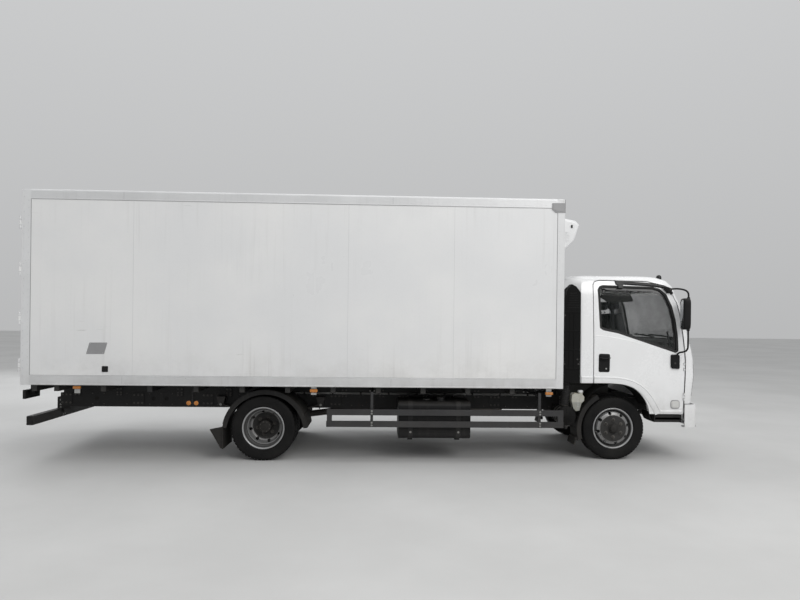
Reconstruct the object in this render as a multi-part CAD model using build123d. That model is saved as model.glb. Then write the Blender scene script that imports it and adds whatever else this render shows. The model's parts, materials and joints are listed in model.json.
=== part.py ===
from build123d import *
import math
import os

# Box truck, millimetres.  X forward, Y to the truck's left, Z up, ground at Z = 0.
# The tables and functions below measure X from the front axle; save() moves
# everything so that the origin is under the middle of the overall box.

# ---------------------------------------------------------------- driving sizes
WHEELBASE = 4475.0
TYRE_R = 405.5            # 225/70 R19.5
TYRE_W = 226.0
HUB_Z = 405.5
FRONT_S = 832.5           # middle of a front tyre from the truck's middle plane
REAR_S = 825.0            # middle of the twin rear wheels
DUAL_HALF = 131.0         # half the twin spacing
KINGPIN_S = 700.0

BOX_REAR, BOX_FRONT = -7366.0, -743.0
BOX_HALF = 1200.0
BOX_Z0, BOX_Z1 = 941.0, 3306.0
WALL = 60.0
FLOOR_TOP = 1060.0
ROOF_T = 90.0
POST = 104.0              # depth of the rear portal along X

RAIL_OUT = 425.5          # frame rails: outer faces
RAIL_Z0, RAIL_Z1 = 576.0, 790.0
RAIL_FRONT_Z1 = 740.0
RAIL_T = 8.0
RAIL_FLANGE = 70.0
RAIL_REAR, RAIL_FRONT = -7230.0, 985.0

CAB_T = 50.0              # thickness of cab walls and doors
DOOR_GAP = 11.0
TILT_X, TILT_Z = 978.0, 765.0       # cab tilt axis
DOOR_AX, DOOR_AS = 880.0, 1030.0    # cab door hinge axis
RD_AX, RD_AS = -7385.0, 1200.0      # rear door hinge axis

OVERALL_REAR, OVERALL_FRONT = -7440.0, 1130.0
SHIFT_X = -(OVERALL_REAR + OVERALL_FRONT) / 2.0

os.makedirs("parts", exist_ok=True)


# ---------------------------------------------------------------- helpers
def box(x0, x1, y0, y1, z0, z1):
    x0, x1 = min(x0, x1), max(x0, x1)
    y0, y1 = min(y0, y1), max(y0, y1)
    z0, z1 = min(z0, z1), max(z0, z1)
    return Solid.make_box(x1 - x0, y1 - y0, z1 - z0, Plane((x0, y0, z0)))


def cyl_y(x, z, r, y0, y1):
    y0, y1 = min(y0, y1), max(y0, y1)
    return Solid.make_cylinder(r, y1 - y0, Plane(origin=(x, y0, z), x_dir=(1, 0, 0), z_dir=(0, 1, 0)))


def cyl_z(x, y, r, z0, z1):
    return Solid.make_cylinder(r, z1 - z0, Plane((x, y, z0)))


def cyl_x(y, z, r, x0, x1):
    return Solid.make_cylinder(r, x1 - x0, Plane(origin=(x0, y, z), x_dir=(0, 1, 0), z_dir=(1, 0, 0)))


def rod(a, b, r):
    a, b = Vector(*a), Vector(*b)
    d = b - a
    side = (0, 0, 1) if abs(d.normalized().Z) < 0.9 else (1, 0, 0)
    return Solid.make_cylinder(r, d.length, Plane(origin=a, x_dir=d.cross(Vector(*side)).normalized(), z_dir=d.normalized()))


def plate_xz(points, y0, y1):
    """Polygon of (x, z) points, from y0 to y1."""
    y0, y1 = min(y0, y1), max(y0, y1)
    wire = Wire.make_polygon([(x, y0, z) for x, z in points], close=True)
    return Solid.extrude(Face(wire), Vector(0, y1 - y0, 0))


def plate_yz(points, x0, x1):
    wire = Wire.make_polygon([(x0, y, z) for y, z in points], close=True)
    return Solid.extrude(Face(wire), Vector(x1 - x0, 0, 0))


def plate_xy(points, z0, z1):
    wire = Wire.make_polygon([(x, y, z0) for x, y in points], close=True)
    return Solid.extrude(Face(wire), Vector(0, 0, z1 - z0))


def spun(profile, x, z, side):
    """Solid of revolution about the line along Y through (x, z).
    profile: (radius, s) points, s measured outward from the middle plane."""
    wire = Wire.make_polygon([(x + r, side * s, z) for r, s in profile], close=True)
    return Solid.revolve(Face(wire), 360, Axis((x, 0, z), (0, 1, 0)))


def joined(first, *rest):
    out = first
    for other in rest:
        out = out + other
    return out


def solids_of(shape):
    if isinstance(shape, (list, tuple)):
        found = []
        for one in shape:
            found += solids_of(one)
        return found
    return list(shape.solids())


def mirrored(shape):
    return shape.mirror(Plane.XZ)


def save(name, shape):
    parts = [s.moved(Location((SHIFT_X, 0, 0))) for s in solids_of(shape)]
    whole = parts[0] if len(parts) == 1 else Compound(children=parts)
    export_step(whole, "parts/" + name + ".step")
    print(name, len(parts), round(sum(p.volume for p in parts) / 1e6, 2))


def both(make):
    """make(side) for side -1 (right) and +1 (left)."""
    return [make(-1), make(1)]


# ---------------------------------------------------------------- wheels
# half section of a rim barrel, (radius, offset from the tyre's middle)
BARREL_OUT = [(260.5, 97), (260.5, 86), (249, 84), (247, 50), (229, 40), (229, -30), (247, -58), (249, -84), (260.5, -86), (260.5, -97)]
BARREL_IN = [(250, -97), (238, -86), (236, -56), (218, -28), (218, 34), (236, 47), (238, 86), (250, 97)]
# tyre section: outside then cavity, which the rim closes
TYRE_OUT = [(249, 84), (260.5, 86), (263, 88), (266, 100), (300, 111), (340, 113), (378, 109), (398, 98), (405.5, 84), (405.5, -84), (398, -98), (378, -109), (340, -113), (300, -111), (266, -100), (263, -88), (260.5, -86), (249, -84)]
TYRE_IN = [(247.8235, -64), (270, -80), (330, -97), (378, -88), (386, -60), (386, 60), (378, 88), (330, 97), (270, 80), (247.8235, 64)]


def rim_barrel(x, centre, side, flip=1):
    prof = [(r, centre + flip * o) for r, o in BARREL_OUT + BARREL_IN]
    return spun(prof, x, HUB_Z, side)


def tyre(x, centre, side):
    prof = [(r, centre + o) for r, o in TYRE_OUT + TYRE_IN]
    return spun(prof, x, HUB_Z, side)


def around(x, radius, count, start=0.0):
    for k in range(count):
        a = math.radians(start + 360.0 * k / count)
        yield x + radius * math.cos(a), HUB_Z + radius * math.sin(a)


def disc_cuts(shape, x, side, s0, s1, holes, hole_r, hole_at):
    for hx, hz in around(x, hole_at, holes, 12.0):
        shape = shape - cyl_y(hx, hz, hole_r, side * s0, side * s1)
    return shape


def front_rim(side):
    face = 940.0
    disc = spun([(62, face), (160, face), (172, face - 4), (203, face - 20), (215, face - 44), (219.5, face - 70), (219.5, face - 96), (208, face - 96),
                 (206, face - 62), (196, face - 32), (166, face - 16), (156, face - 12), (62, face - 12)], 0, HUB_Z, side)
    disc = disc_cuts(disc, 0, side, face - 76, face + 10, 8, 21, 195)
    hub = spun([(31, 766), (62, 766), (62, face - 34), (118, face - 30), (118, face - 12), (56, face - 12), (56, face + 8), (44, face + 34), (0, face + 40), (0, face - 10), (31, face - 10)], 0, HUB_Z, side)
    drum = spun([(62, 858), (160, 858), (160, 766), (175, 766), (175, 872), (62, 872)], 0, HUB_Z, side)
    return joined(rim_barrel(0, FRONT_S, side), disc, hub, drum)


def rear_rims(side):
    xr = -WHEELBASE
    outer, inner = REAR_S + DUAL_HALF, REAR_S - DUAL_HALF
    mid = REAR_S

    def dish(sign):
        # from the barrel at the far side of the mounting face, down to the face
        p = [(84, 0), (158, 0), (198, 16), (213, 42), (219.5, 70), (219.5, 125), (208, 125), (203, 54), (190, 28), (154, 12), (84, 12)]
        return spun([(r, mid + sign * (o if o else 0.0)) for r, o in p], xr, HUB_Z, side)

    out_disc = disc_cuts(dish(1), xr, side, mid - 5, mid + 78, 8, 21, 193)
    in_disc = disc_cuts(dish(-1), xr, side, mid - 78, mid + 5, 8, 21, 193)
    hub = spun([(48, 660), (84, 660), (84, 793), (125, 793), (125, 813), (84, 813), (84, 900), (74, 930), (0, 934), (0, 792), (48, 792)], xr, HUB_Z, side)
    drum = spun([(84, 772), (160, 772), (160, 660), (175, 660), (175, 786), (84, 786)], xr, HUB_Z, side)
    return joined(rim_barrel(xr, outer, side), rim_barrel(xr, inner, side, -1), out_disc, in_disc, hub, drum)


for side, word in ((-1, "right"), (1, "left")):
    save("front_tyre_" + word, tyre(0, FRONT_S, side))
    save("front_rim_" + word, front_rim(side))
    save("rear_tyres_" + word, [tyre(-WHEELBASE, REAR_S + DUAL_HALF, side), tyre(-WHEELBASE, REAR_S - DUAL_HALF, side)])
    save("rear_rims_" + word, rear_rims(side))

# ---------------------------------------------------------------- front axle, knuckles, tie rod
ARM_X, ARM_S, ARM_Z = -170.0, 700.0, 330.0      # ball joint of the steering arm


def knuckle(side):
    s = KINGPIN_S
    back = cyl_y(0, HUB_Z, 165, side * 742, side * 756)
    boss = cyl_y(0, HUB_Z, 90, side * 756, side * 762)
    spindle = cyl_y(0, HUB_Z, 30, side * 762, side * 915)
    upper = joined(cyl_z(0, side * s, 38, 458, 496), box(-38, 38, side * s, side * 745, 458, 496))
    lower = joined(cyl_z(0, side * s, 38, 315, 353), box(-38, 38, side * s, side * 745, 315, 353))
    pin = cyl_z(0, side * s, 18.6, 300, 520)
    arm = plate_xy([(-20, side * (s + 24)), (-20, side * (s - 24)), (ARM_X, side * (ARM_S - 20)), (ARM_X, side * (ARM_S + 20))], 331, 351)
    eye = cyl_z(ARM_X, side * ARM_S, 28, 331, 351)
    hole = cyl_z(ARM_X, side * ARM_S, 13, 320, 360)
    return joined(back, boss, spindle, upper, lower, arm, eye) - pin - hole


for side, word in ((-1, "right"), (1, "left")):
    save("knuckle_" + word, knuckle(side))

beam = plate_yz([(-664, 365), (-560, 365), (-430, 320), (430, 320), (560, 365), (664, 365), (664, 445), (540, 445), (430, 412), (-430, 412), (-540, 445), (-664, 445)], -42, 42)
for sx in (-1, 1):
    beam = beam - plate_yz([(-620, 380), (-560, 380), (-430, 336), (430, 336), (560, 380), (620, 380), (620, 430), (540, 430), (430, 396), (-430, 396), (-540, 430), (-620, 430)], sx * 14, sx * 60) if sx > 0 else \
        beam - plate_yz([(-620, 380), (-560, 380), (-430, 336), (430, 336), (560, 380), (620, 380), (620, 430), (540, 430), (430, 396), (-430, 396), (-540, 430), (-620, 430)], -60, -14)
front_axle = beam
for side in (-1, 1):
    y = side * KINGPIN_S
    front_axle = joined(front_axle, cyl_z(0, y, 38, 357, 454), cyl_z(0, y, 18, 305, 506), box(-38, 38, side * 355, side * 425, 405, 458))
save("front_axle", front_axle)

tie = rod((ARM_X, -ARM_S, 310), (ARM_X, ARM_S, 310), 15)
for side in (-1, 1):
    tie = joined(tie, cyl_z(ARM_X, side * ARM_S, 26, 294, 326), cyl_z(ARM_X, side * ARM_S, 12, 300, 358))
save("tie_rod", tie)

# ---------------------------------------------------------------- rear axle
XR = -WHEELBASE
rear_axle = cyl_y(XR, HUB_Z, 58, -642, 642)
rear_axle = joined(rear_axle, Solid.make_sphere(165, Plane((XR, 0, HUB_Z))), cyl_x(0, HUB_Z, 70, XR + 120, XR + 245))
for side in (-1, 1):
    rear_axle = joined(rear_axle, cyl_y(XR, HUB_Z, 45, side * 640, side * 784), cyl_y(XR, HUB_Z, 172, side * 632, side * 646),
                       box(XR - 55, XR + 55, side * 448, side * 512, HUB_Z + 30, 486))
save("rear_axle", rear_axle)


# ---------------------------------------------------------------- leaf springs with their hangers
def spring(xc, s0, s1, side, half, z_mid, z_eye, leaves, leaf_t):
    """A stack of arched leaves, longest on top, each a band between two arcs."""
    out = None
    for n in range(leaves):
        h = half * (1.0 - 0.2 * n)
        rise = (z_eye - z_mid) * (h / half) ** 2
        top = z_mid + (leaves - n) * leaf_t
        a = Edge.make_three_point_arc((xc - h, side * s0, top + rise), (xc, side * s0, top), (xc + h, side * s0, top + rise))
        b = Edge.make_three_point_arc((xc - h, side * s0, top + rise - leaf_t - 1), (xc, side * s0, top - leaf_t - 1), (xc + h, side * s0, top + rise - leaf_t - 1))
        left = Edge.make_line((xc - h, side * s0, top + rise), (xc - h, side * s0, top + rise - leaf_t - 1))
        right = Edge.make_line((xc + h, side * s0, top + rise), (xc + h, side * s0, top + rise - leaf_t - 1))
        leaf = Solid.extrude(Face(Wire([a, right, b, left])), Vector(0, side * (s1 - s0), 0))
        out = leaf if out is None else out + leaf
    return out


# name of place, middle x, inner s, outer s, half length, seat z, eye z, leaves, leaf thickness
SPRINGS = [("front", 0.0, 357.0, 423.0, 600.0, 458.0, 514.0, 3, 12.0),
           ("rear", XR, 448.0, 512.0, 660.0, 486.0, 590.0, 4, 12.0)]
springs = []
for side in (-1, 1):
    for place, xc, s0, s1, half, z_mid, z_eye, leaves, leaf_t in SPRINGS:
        one = spring(xc, s0, s1, side, half, z_mid, z_eye, leaves, leaf_t)
        z_top = z_mid + leaves * leaf_t
        one = joined(one, box(xc - 60, xc + 60, side * s0, side * s1, z_top - 2, z_top + 14))
        for end in (-1, 1):
            ex = xc + end * half
            ez = z_eye + leaves * leaf_t - 10
            one = joined(one, cyl_y(ex, ez, 27, side * s0, side * s1))
            if place == "front":
                one = joined(one, plate_xz([(ex - 34, RAIL_Z0), (ex + 34, RAIL_Z0), (ex + 26, ez), (ex - 26, ez)], side * (s0 + 6), side * (s1 - 6)) if RAIL_Z0 > ez else box(ex - 1, ex + 1, side * s0, side * s1, ez, ez + 1))
            else:
                one = joined(one, plate_xz([(ex - 60, RAIL_Z1 - 60), (ex + 60, RAIL_Z1 - 60), (ex + 30, ez - 10), (ex - 30, ez - 10)], side * RAIL_OUT, side * (s1 + 2)))
        springs.append(one)
rail_keepout = []

# ---------------------------------------------------------------- ladder frame
rails = []
for side in (-1, 1):
    web_out, web_in, lip = side * RAIL_OUT, side * (RAIL_OUT - RAIL_T), side * (RAIL_OUT - RAIL_FLANGE)
    outline = [(RAIL_REAR, RAIL_Z0), (RAIL_FRONT, RAIL_Z0), (RAIL_FRONT, 705), (945, RAIL_FRONT_Z1), (420, RAIL_FRONT_Z1), (250, RAIL_Z1), (RAIL_REAR, RAIL_Z1)]
    t = RAIL_T
    hollow = [(RAIL_REAR - 10, RAIL_Z0 + t), (RAIL_FRONT + 10, RAIL_Z0 + t), (RAIL_FRONT + 10, 705 - t - 9), (942, RAIL_FRONT_Z1 - t), (420 - 1, RAIL_FRONT_Z1 - t), (250 - 1, RAIL_Z1 - t), (RAIL_REAR - 10, RAIL_Z1 - t)]
    rail = plate_xz(outline, web_out, lip) - plate_xz(hollow, web_in, side * (RAIL_OUT - RAIL_FLANGE - 10))
    # bracket and pin that carry the cab's tilt lugs
    horn = plate_xz([(890, 700), (940, 700), (966, 748), (978, 747), (990, 751), (996, 762), (994, 774), (984, 782), (970, 781), (950, 770), (890, 738)], web_in, web_out)
    rails.append(joined(rail, horn, cyl_y(TILT_X, TILT_Z, 10, side * (RAIL_OUT - 6), side * 455)))
# sub-rails under the box stand a hair above the rails
subs = [box(BOX_REAR + POST, -900, side * (RAIL_OUT - 70), side * RAIL_OUT, RAIL_Z1 + 0.5, 860) for side in (-1, 1)]

# crossmembers: x, half length in x, z0, z1
CROSS = [(880.0, 30.0, 590.0, 690.0), (-1450.0, 35.0, 690.0, 770.0), (-2700.0, 35.0, 660.0, 760.0),
         (-3620.0, 35.0, 600.0, 760.0), (-5330.0, 35.0, 600.0, 760.0), (-6250.0, 35.0, 600.0, 760.0), (-7190.0, 40.0, 590.0, 780.0)]
web_in = RAIL_OUT - RAIL_T - 0.5
cross = [box(x - h, x + h, -web_in, web_in, z0, z1) for x, h, z0, z1 in CROSS]
# hoop that carries the back of the cab
hoop = joined(box(-600, -530, -(RAIL_OUT), -(RAIL_OUT - 70), RAIL_Z1 + 0.5, 1074), box(-600, -530, RAIL_OUT - 70, RAIL_OUT, RAIL_Z1 + 0.5, 1074),
              box(-600, -530, -(RAIL_OUT), RAIL_OUT, 1030, 1074))
# tow eye under the left front, and four bolt holes in the rear crossmember
tow = box(915, RAIL_FRONT, 282, web_in, 590, 620) - cyl_z(955, 318, 15, 580, 640)
for y in (-80, 80):
    for z in (635, 735):
        cross[-1] = cross[-1] - cyl_x(y, z, 8.5, -7240, -7140)
frame = rails + subs + cross + [hoop, tow]
save("frame", frame)


def clear_of_frame(shape):
    for piece in frame:
        shape = shape - piece
    return shape


save("leaf_springs", [clear_of_frame(s) - front_axle - rear_axle for s in springs])

# ---------------------------------------------------------------- engine block, drive shaft, exhaust
engine = joined(box(-640, 180, -270, 270, 560, 1010), box(-640, 180, -150, 150, 500, 560), box(-1330, -640, -190, 190, 540, 800),
                box(-120, -40, -(RAIL_OUT - RAIL_T), RAIL_OUT - RAIL_T, RAIL_Z0 + RAIL_T, RAIL_Z0 + 60))
save("engine", engine)

shaft_mid = (-2700.0, 0.0, 600.0)
shaft = joined(rod((-1330, 0, 640), shaft_mid, 44), rod(shaft_mid, (XR + 245, 0, HUB_Z), 44), cyl_x(0, 600, 62, -2735, -2665),
               box(-2722, -2678, -110, 110, 600, 660))
save("drive_shaft", clear_of_frame(shaft - engine - rear_axle))

exhaust = joined(cyl_x(640, 520, 112, -1900, -1150), rod((-1150, 640, 520), (-780, 560, 525), 32), rod((-780, 560, 525), (-780, 330, 535), 32), rod((-780, 330, 535), (-625, 262, 610), 32),
                 Solid.make_sphere(33, Plane((-780, 560, 525))), Solid.make_sphere(33, Plane((-780, 330, 535))), rod((-1900, 640, 480), (-2500, 760, 460), 28), rod((-2500, 760, 460), (-2560, 1080, 400), 28), Solid.make_sphere(29, Plane((-2500, 760, 460))),
                 box(-1800, -1770, RAIL_OUT, 640, 600, 700), box(-1260, -1230, RAIL_OUT, 640, 600, 700))
save("exhaust", clear_of_frame(exhaust - engine))

# ---------------------------------------------------------------- fuel tank and battery box
tank = box(-2790, -1887, -1130, -600, 295, 755)
tank = tank.fillet(60, [e for e in tank.edges() if abs(e.tangent_at(0.5).X) > 0.9])
tank = joined(tank, cyl_z(-2255, -1020, 48, 750, 790))
for x in (-2640, -2040):
    tank = joined(tank, box(x - 30, x + 30, -600, -RAIL_OUT, 560, 740), box(x - 30, x + 30, -1000, -640, 262, 300))
save("fuel_tank", clear_of_frame(tank))
battery = joined(box(-3350, -2750, 520, 960, 420, 740), box(-3320, -3260, RAIL_OUT, 530, 600, 720), box(-2840, -2780, RAIL_OUT, 530, 600, 720))
save("battery_box", clear_of_frame(battery))

# ---------------------------------------------------------------- air intake (right, behind the cab) and coolant bottle
duct = plate_xy([(-715, -850), (-715, -1042), (-476, -1042), (-660, -858)], 1000, 2266) & plate_xz([(-715, 1158), (-690, 1000), (-470, 1000), (-466, 2100), (-478, 2155), (-534, 2227), (-592, 2259), (-648, 2193), (-690, 2030), (-715, 1900)], -1100, -800)
cleaner = cyl_y(-633, 571, 121, -1000, -690)
pipe = joined(rod((-625, -950, 1170), (-640, -900, 670), 52))
air_intake = joined(duct, cleaner, pipe, box(-655, -605, -700, -RAIL_OUT, 600, 650))
save("air_intake", clear_of_frame(air_intake))
bottle = plate_xz([(-538, 667), (-504, 632), (-462, 640), (-434, 731), (-401, 767), (-398, 817), (-420, 842), (-448, 850), (-524, 862), (-557, 840), (-564, 766)], -985, -870)
bottle = joined(bottle, cyl_z(-434, -930, 31, 830, 890), box(-559, -530, -870, -RAIL_OUT, 720, 760))
save("coolant_bottle", clear_of_frame(bottle - air_intake))


# ---------------------------------------------------------------- mudguards
def ring_arc(x, z, r0, r1, a0, a1, y0, y1):
    """Band between two radii, from a0 to a1 degrees (0 is forward, 90 is up)."""
    def at(r, a):
        return (x + r * math.cos(math.radians(a)), y0, z + r * math.sin(math.radians(a)))
    m = (a0 + a1) / 2
    wire = Wire([Edge.make_three_point_arc(at(r1, a0), at(r1, m), at(r1, a1)), Edge.make_line(at(r1, a1), at(r0, a1)),
                 Edge.make_three_point_arc(at(r0, a1), at(r0, m), at(r0, a0)), Edge.make_line(at(r0, a0), at(r1, a0))])
    return Solid.extrude(Face(wire), Vector(0, y1 - y0, 0))


guards_rear = []
for side in (-1, 1):
    g = joined(ring_arc(-4446, 355, 519, 529, 7, 173, side * 570, side * 1100), ring_arc(-4446, 355, 479, 529, 7, 173, side * 1082, side * 1100))
    for x in (-4862, -4030):
        g = joined(g, cyl_y(x, 640, 16, side * RAIL_OUT, side * 1090))
    flap = plate_xz([(-4975, 430), (-4963, 430), (-4963, 150), (-4975, 150)], side * 600, side * 1090)
    stay = plate_xz([(-5133, 391), (-4970, 425), (-4970, 155), (-4995, 155)], side * 1060, side * 1072)
    guards_rear.append(joined(g, flap, stay))
save("rear_mudguards", [clear_of_frame(g) for g in guards_rear])

guards_front = []
for side in (-1, 1):
    g = joined(ring_arc(0, HUB_Z, 485, 495, 118, 196, side * 712, side * 1000), ring_arc(0, HUB_Z, 440, 495, 118, 196, side * 988, side * 1000))
    flap = plate_xz([(-506, 290), (-494, 290), (-520, 200), (-532, 200)], side * 720, side * 990)
    g = joined(g, flap, plate_xz([(-482, 250), (-470, 262), (-494, 300), (-506, 292)], side * 720, side * 990), box(-508, -486, side * RAIL_OUT, side * 720, 600, 622))
    g = joined(g, box(-508, -440, side * 712, side * 730, 596, 626))
    guards_front.append(g)
save("front_mudguards", [clear_of_frame(g) for g in guards_front])

# ---------------------------------------------------------------- side guards, underrun bar, bumper
guards = []
for side in (-1, 1):
    a, b = side * 1165, side * 1195
    outer = box(-3675, -731, a, b, 449, 668) - box(-3613, -801, a - side * 5, b + side * 5, 523, 594)
    g = outer
    for x in (-3123, -1025):
        g = joined(g, box(x - 17, x + 17, side * 1135, side * 1165, 460, 880))
        g = joined(g, box(x - 17, x + 17, side * RAIL_OUT, side * 1165, 828, 860))
    guards.append(g)
save("side_guards", [clear_of_frame(g) for g in guards])

under = box(-7330, -7250, -1120, 1120, 440, 550)
for side in (-1, 1):
    under = joined(under, box(-7320, -7230, side * 330, side * 410, 500, 700), box(-7235, -7150, side * (RAIL_OUT - 70), side * (RAIL_OUT - 20), 540, RAIL_Z0))
save("underrun_bar", clear_of_frame(under))

# ---------------------------------------------------------------- cargo box
floor = box(BOX_REAR + POST, BOX_FRONT - WALL, -(BOX_HALF - WALL), BOX_HALF - WALL, 960, FLOOR_TOP)
bearers = []
x = -6966.0
while x < BOX_FRONT - 200:
    bearers.append(box(x - 30, x + 30, -(BOX_HALF - WALL) , BOX_HALF - WALL, 860, 960))
    x += 560.0
for b in bearers:
    floor = joined(floor, b)
tail_beam = box(BOX_REAR + POST, BOX_REAR + POST + 60, -(BOX_HALF - WALL), BOX_HALF - WALL, 860, 960)
floor = joined(floor, tail_beam)
save("box_floor", floor)

walls = []
for side in (-1, 1):
    w = box(BOX_REAR + POST, BOX_FRONT, side * (BOX_HALF - WALL), side * BOX_HALF, BOX_Z0, BOX_Z1 - ROOF_T)
    walls.append(w)
save("box_side_walls", walls)
save("box_front_wall", box(BOX_FRONT - WALL, BOX_FRONT, -(BOX_HALF - WALL), BOX_HALF - WALL, BOX_Z0, BOX_Z1 - ROOF_T))
roof = box(BOX_REAR + POST, BOX_FRONT, -BOX_HALF, BOX_HALF, BOX_Z1 - ROOF_T, BOX_Z1)
roof = roof.fillet(18, [e for e in roof.edges() if abs(e.tangent_at(0.5).X) > 0.9 and e.center().Z > BOX_Z1 - 1])
save("box_roof", roof)

SILL = (BOX_Z0, FLOOR_TOP)
HEAD = (3200.0, BOX_Z1)
portal = box(BOX_REAR, BOX_REAR + POST, -BOX_HALF, BOX_HALF, SILL[0], HEAD[1]) - box(BOX_REAR - 5, BOX_REAR + 80, -1130, 1130, SILL[1], HEAD[0]) \
    - box(BOX_REAR + 70, BOX_REAR + POST + 5, -1092, 1092, SILL[1], HEAD[0] - 38)
HINGE_Z = (1180.0, 1745.0, 2340.0, 2904.0)
for side in (-1, 1):
    for hz in HINGE_Z:
        portal = joined(portal, box(RD_AX - 4, BOX_REAR, side * 1150, side * 1200, hz - 75, hz - 35), box(RD_AX - 4, BOX_REAR, side * 1150, side * 1200, hz + 35, hz + 75),
                        cyl_z(RD_AX, side * RD_AS, 13, hz - 75, hz - 35), cyl_z(RD_AX, side * RD_AS, 13, hz + 35, hz + 75))
save("box_rear_frame", portal)


def rear_door(side):
    slab = box(-7362, -7292, side * 8, side * 1124, SILL[1] + 6, HEAD[0] - 6)
    for hz in HINGE_Z:
        slab = joined(slab, box(-7374, -7362, side * 930, side * 1124, hz - 28, hz + 28), box(-7383, -7366, side * 1110, side * RD_AS, hz - 28, hz + 28), cyl_z(RD_AX, side * RD_AS, 13, hz - 28, hz + 28))
    for bar_s in (250.0, 760.0):
        slab = joined(slab, cyl_z(-7390, side * bar_s, 14, SILL[0] + 30, HEAD[1] - 40))
        for bz in (1250.0, 1900.0, 2500.0, 3100.0):
            slab = joined(slab, box(-7400, -7362, side * (bar_s - 32), side * (bar_s + 32), bz - 22, bz + 22))
        slab = joined(slab, box(-7440, -7396, side * (bar_s - 12), side * (bar_s + 14), 1380, 1440), box(-7440, -7424, side * (bar_s - 12), side * (bar_s + 250 if bar_s < 500 else bar_s - 240), 1392, 1428))
    return slab


save("rear_door_left", rear_door(1))
save("rear_door_right", rear_door(-1))

lamps = []
for side in (-1, 1):
    lamps.append(joined(box(-7376, -7340, side * 800, side * 1130, 760, 870), box(-7340, -7290, side * 900, side * 1020, 800, BOX_Z0), box(-7300, -7262, side * 900, side * 1020, 905, BOX_Z0)))
save("tail_lamps", lamps)

unit = plate_xz([(BOX_FRONT, 2721), (-616, 2721), (-484, 2854), (-420, 3056), (-470, 3110), (-620, 3141), (BOX_FRONT, 3141)], -800, 800)
unit = unit.fillet(40, [e for e in unit.edges() if abs(e.tangent_at(0.5).Y) < 0.1 and e.center().X > BOX_FRONT + 5])
save("refrigeration_unit", unit)

# ---------------------------------------------------------------- cab
# sections from bottom to roof: z, x of the front corner's centre, front radius in
# plan, corner radius, half width, rear x, rear corner cut
CAB = [(600.0, 893.0, 7000.0, 100.0, 1024.0, -640.0, 180.0),
       (1110.0, 942.0, 7000.0, 100.0, 1033.0, -640.0, 180.0),
       (1300.0, 931.0, 7000.0, 100.0, 1033.0, -640.0, 180.0),
       (1430.0, 908.0, 6600.0, 100.0, 1032.0, -640.0, 180.0),
       (1530.0, 878.0, 6000.0, 102.0, 1030.0, -640.0, 180.0),
       (2017.0, 756.0, 4500.0, 112.0, 1000.0, -640.0, 180.0),
       (2140.0, 694.0, 4200.0, 120.0, 990.0, -638.0, 180.0),
       (2250.0, 654.0, 4200.0, 130.0, 970.0, -630.0, 180.0),
       (2325.0, 590.0, 4200.0, 130.0, 936.0, -610.0, 180.0),
       (2368.0, 490.0, 4200.0, 130.0, 880.0, -575.0, 180.0),
       (2387.0, 375.0, 4200.0, 130.0, 800.0, -520.0, 180.0)]


def cab_wire(row, t):
    z, cx, rb, rc, hw, xr, cut = row
    bx = cx - math.sqrt((rb - rc) ** 2 - (hw - rc) ** 2)      # centre of the front bow
    xf = bx + rb - t
    rb, rc, hw, xr = rb - t, rc - t, hw - t, xr + t
    cut = cut - t * (2 - math.sqrt(2))
    cy = hw - rc
    a = math.atan2(cy, cx - bx)                      # where bow and corner meet
    tx, ty = bx + rb * math.cos(a), rb * math.sin(a)
    m = (a + math.pi / 2) / 2
    mx, my = cx + rc * math.cos(m), cy + rc * math.sin(m)

    def p(x, y):
        return (x, y, z)
    return Wire([Edge.make_three_point_arc(p(tx, -ty), p(xf, 0), p(tx, ty)),
                 Edge.make_three_point_arc(p(tx, ty), p(mx, my), p(cx, hw)),
                 Edge.make_line(p(cx, hw), p(xr + cut, hw)),
                 Edge.make_line(p(xr + cut, hw), p(xr, hw - cut)),
                 Edge.make_line(p(xr, hw - cut), p(xr, -(hw - cut))),
                 Edge.make_line(p(xr, -(hw - cut)), p(xr + cut, -hw)),
                 Edge.make_line(p(xr + cut, -hw), p(cx, -hw)),
                 Edge.make_three_point_arc(p(cx, -hw), p(mx, -my), p(tx, -ty))])


def cab_solid(t, lower=0.0):
    """The cab's outside, inset by t all round; lower moves the roof down."""
    rows = []
    for row in CAB:
        z = row[0]
        if z > 2100:
            z = z - lower
        rows.append((z,) + row[1:])
    return Solid.make_loft([cab_wire(r, t) for r in rows], ruled=True)


outer = cab_solid(0.0)
inner = cab_solid(CAB_T, CAB_T)

ARCH_Z, ARCH_R = 560.0, 440.0
FRONT_X = 850.0           # the front panel takes the wall ahead of this
FLOOR = [(-700, 1130), (450, 1130), (450, 850), (1200, 850), (1200, 800), (400, 800), (400, 1080), (-700, 1080)]
shell = outer - inner
floor_plate = plate_xz(FLOOR, -1100, 1100)
floor_solid = joined(cab_solid(CAB_T + 8, CAB_T) & floor_plate & box(-700, FRONT_X, -1100, 1100, 700, 1200), inner & floor_plate & box(800, 1200, -820, 820, 700, 1200), outer & floor_plate & box(-700, -560, -900, 900, 700, 1200))
# underside: back wall stops at the seat platform, front stops above the bumper
shell = shell - box(-700, 438, -(1033 - CAB_T - 8), 1033 - CAB_T - 8, 500, 1080) - box(-700, 0, -1100, 1100, 500, 1000)
arch = cyl_y(0, ARCH_Z, ARCH_R, -1100, 1100)
shell = shell - arch - box(-ARCH_R - 300, ARCH_R, -1100, 1100, 500, ARCH_Z)

# side outline of a door (x, z)
DOOR = [(-293, 990), (-293, 2256), (-264, 2300), (-205, 2314), (430, 2302), (560, 2272), (660, 2222), (728, 2150), (778, 2050), (818, 1900), (849, 1649), (874, 1420), (885, 1300), (885, 1110), (870, 608), (380, 608), (100, 800), (-100, 990)]


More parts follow.
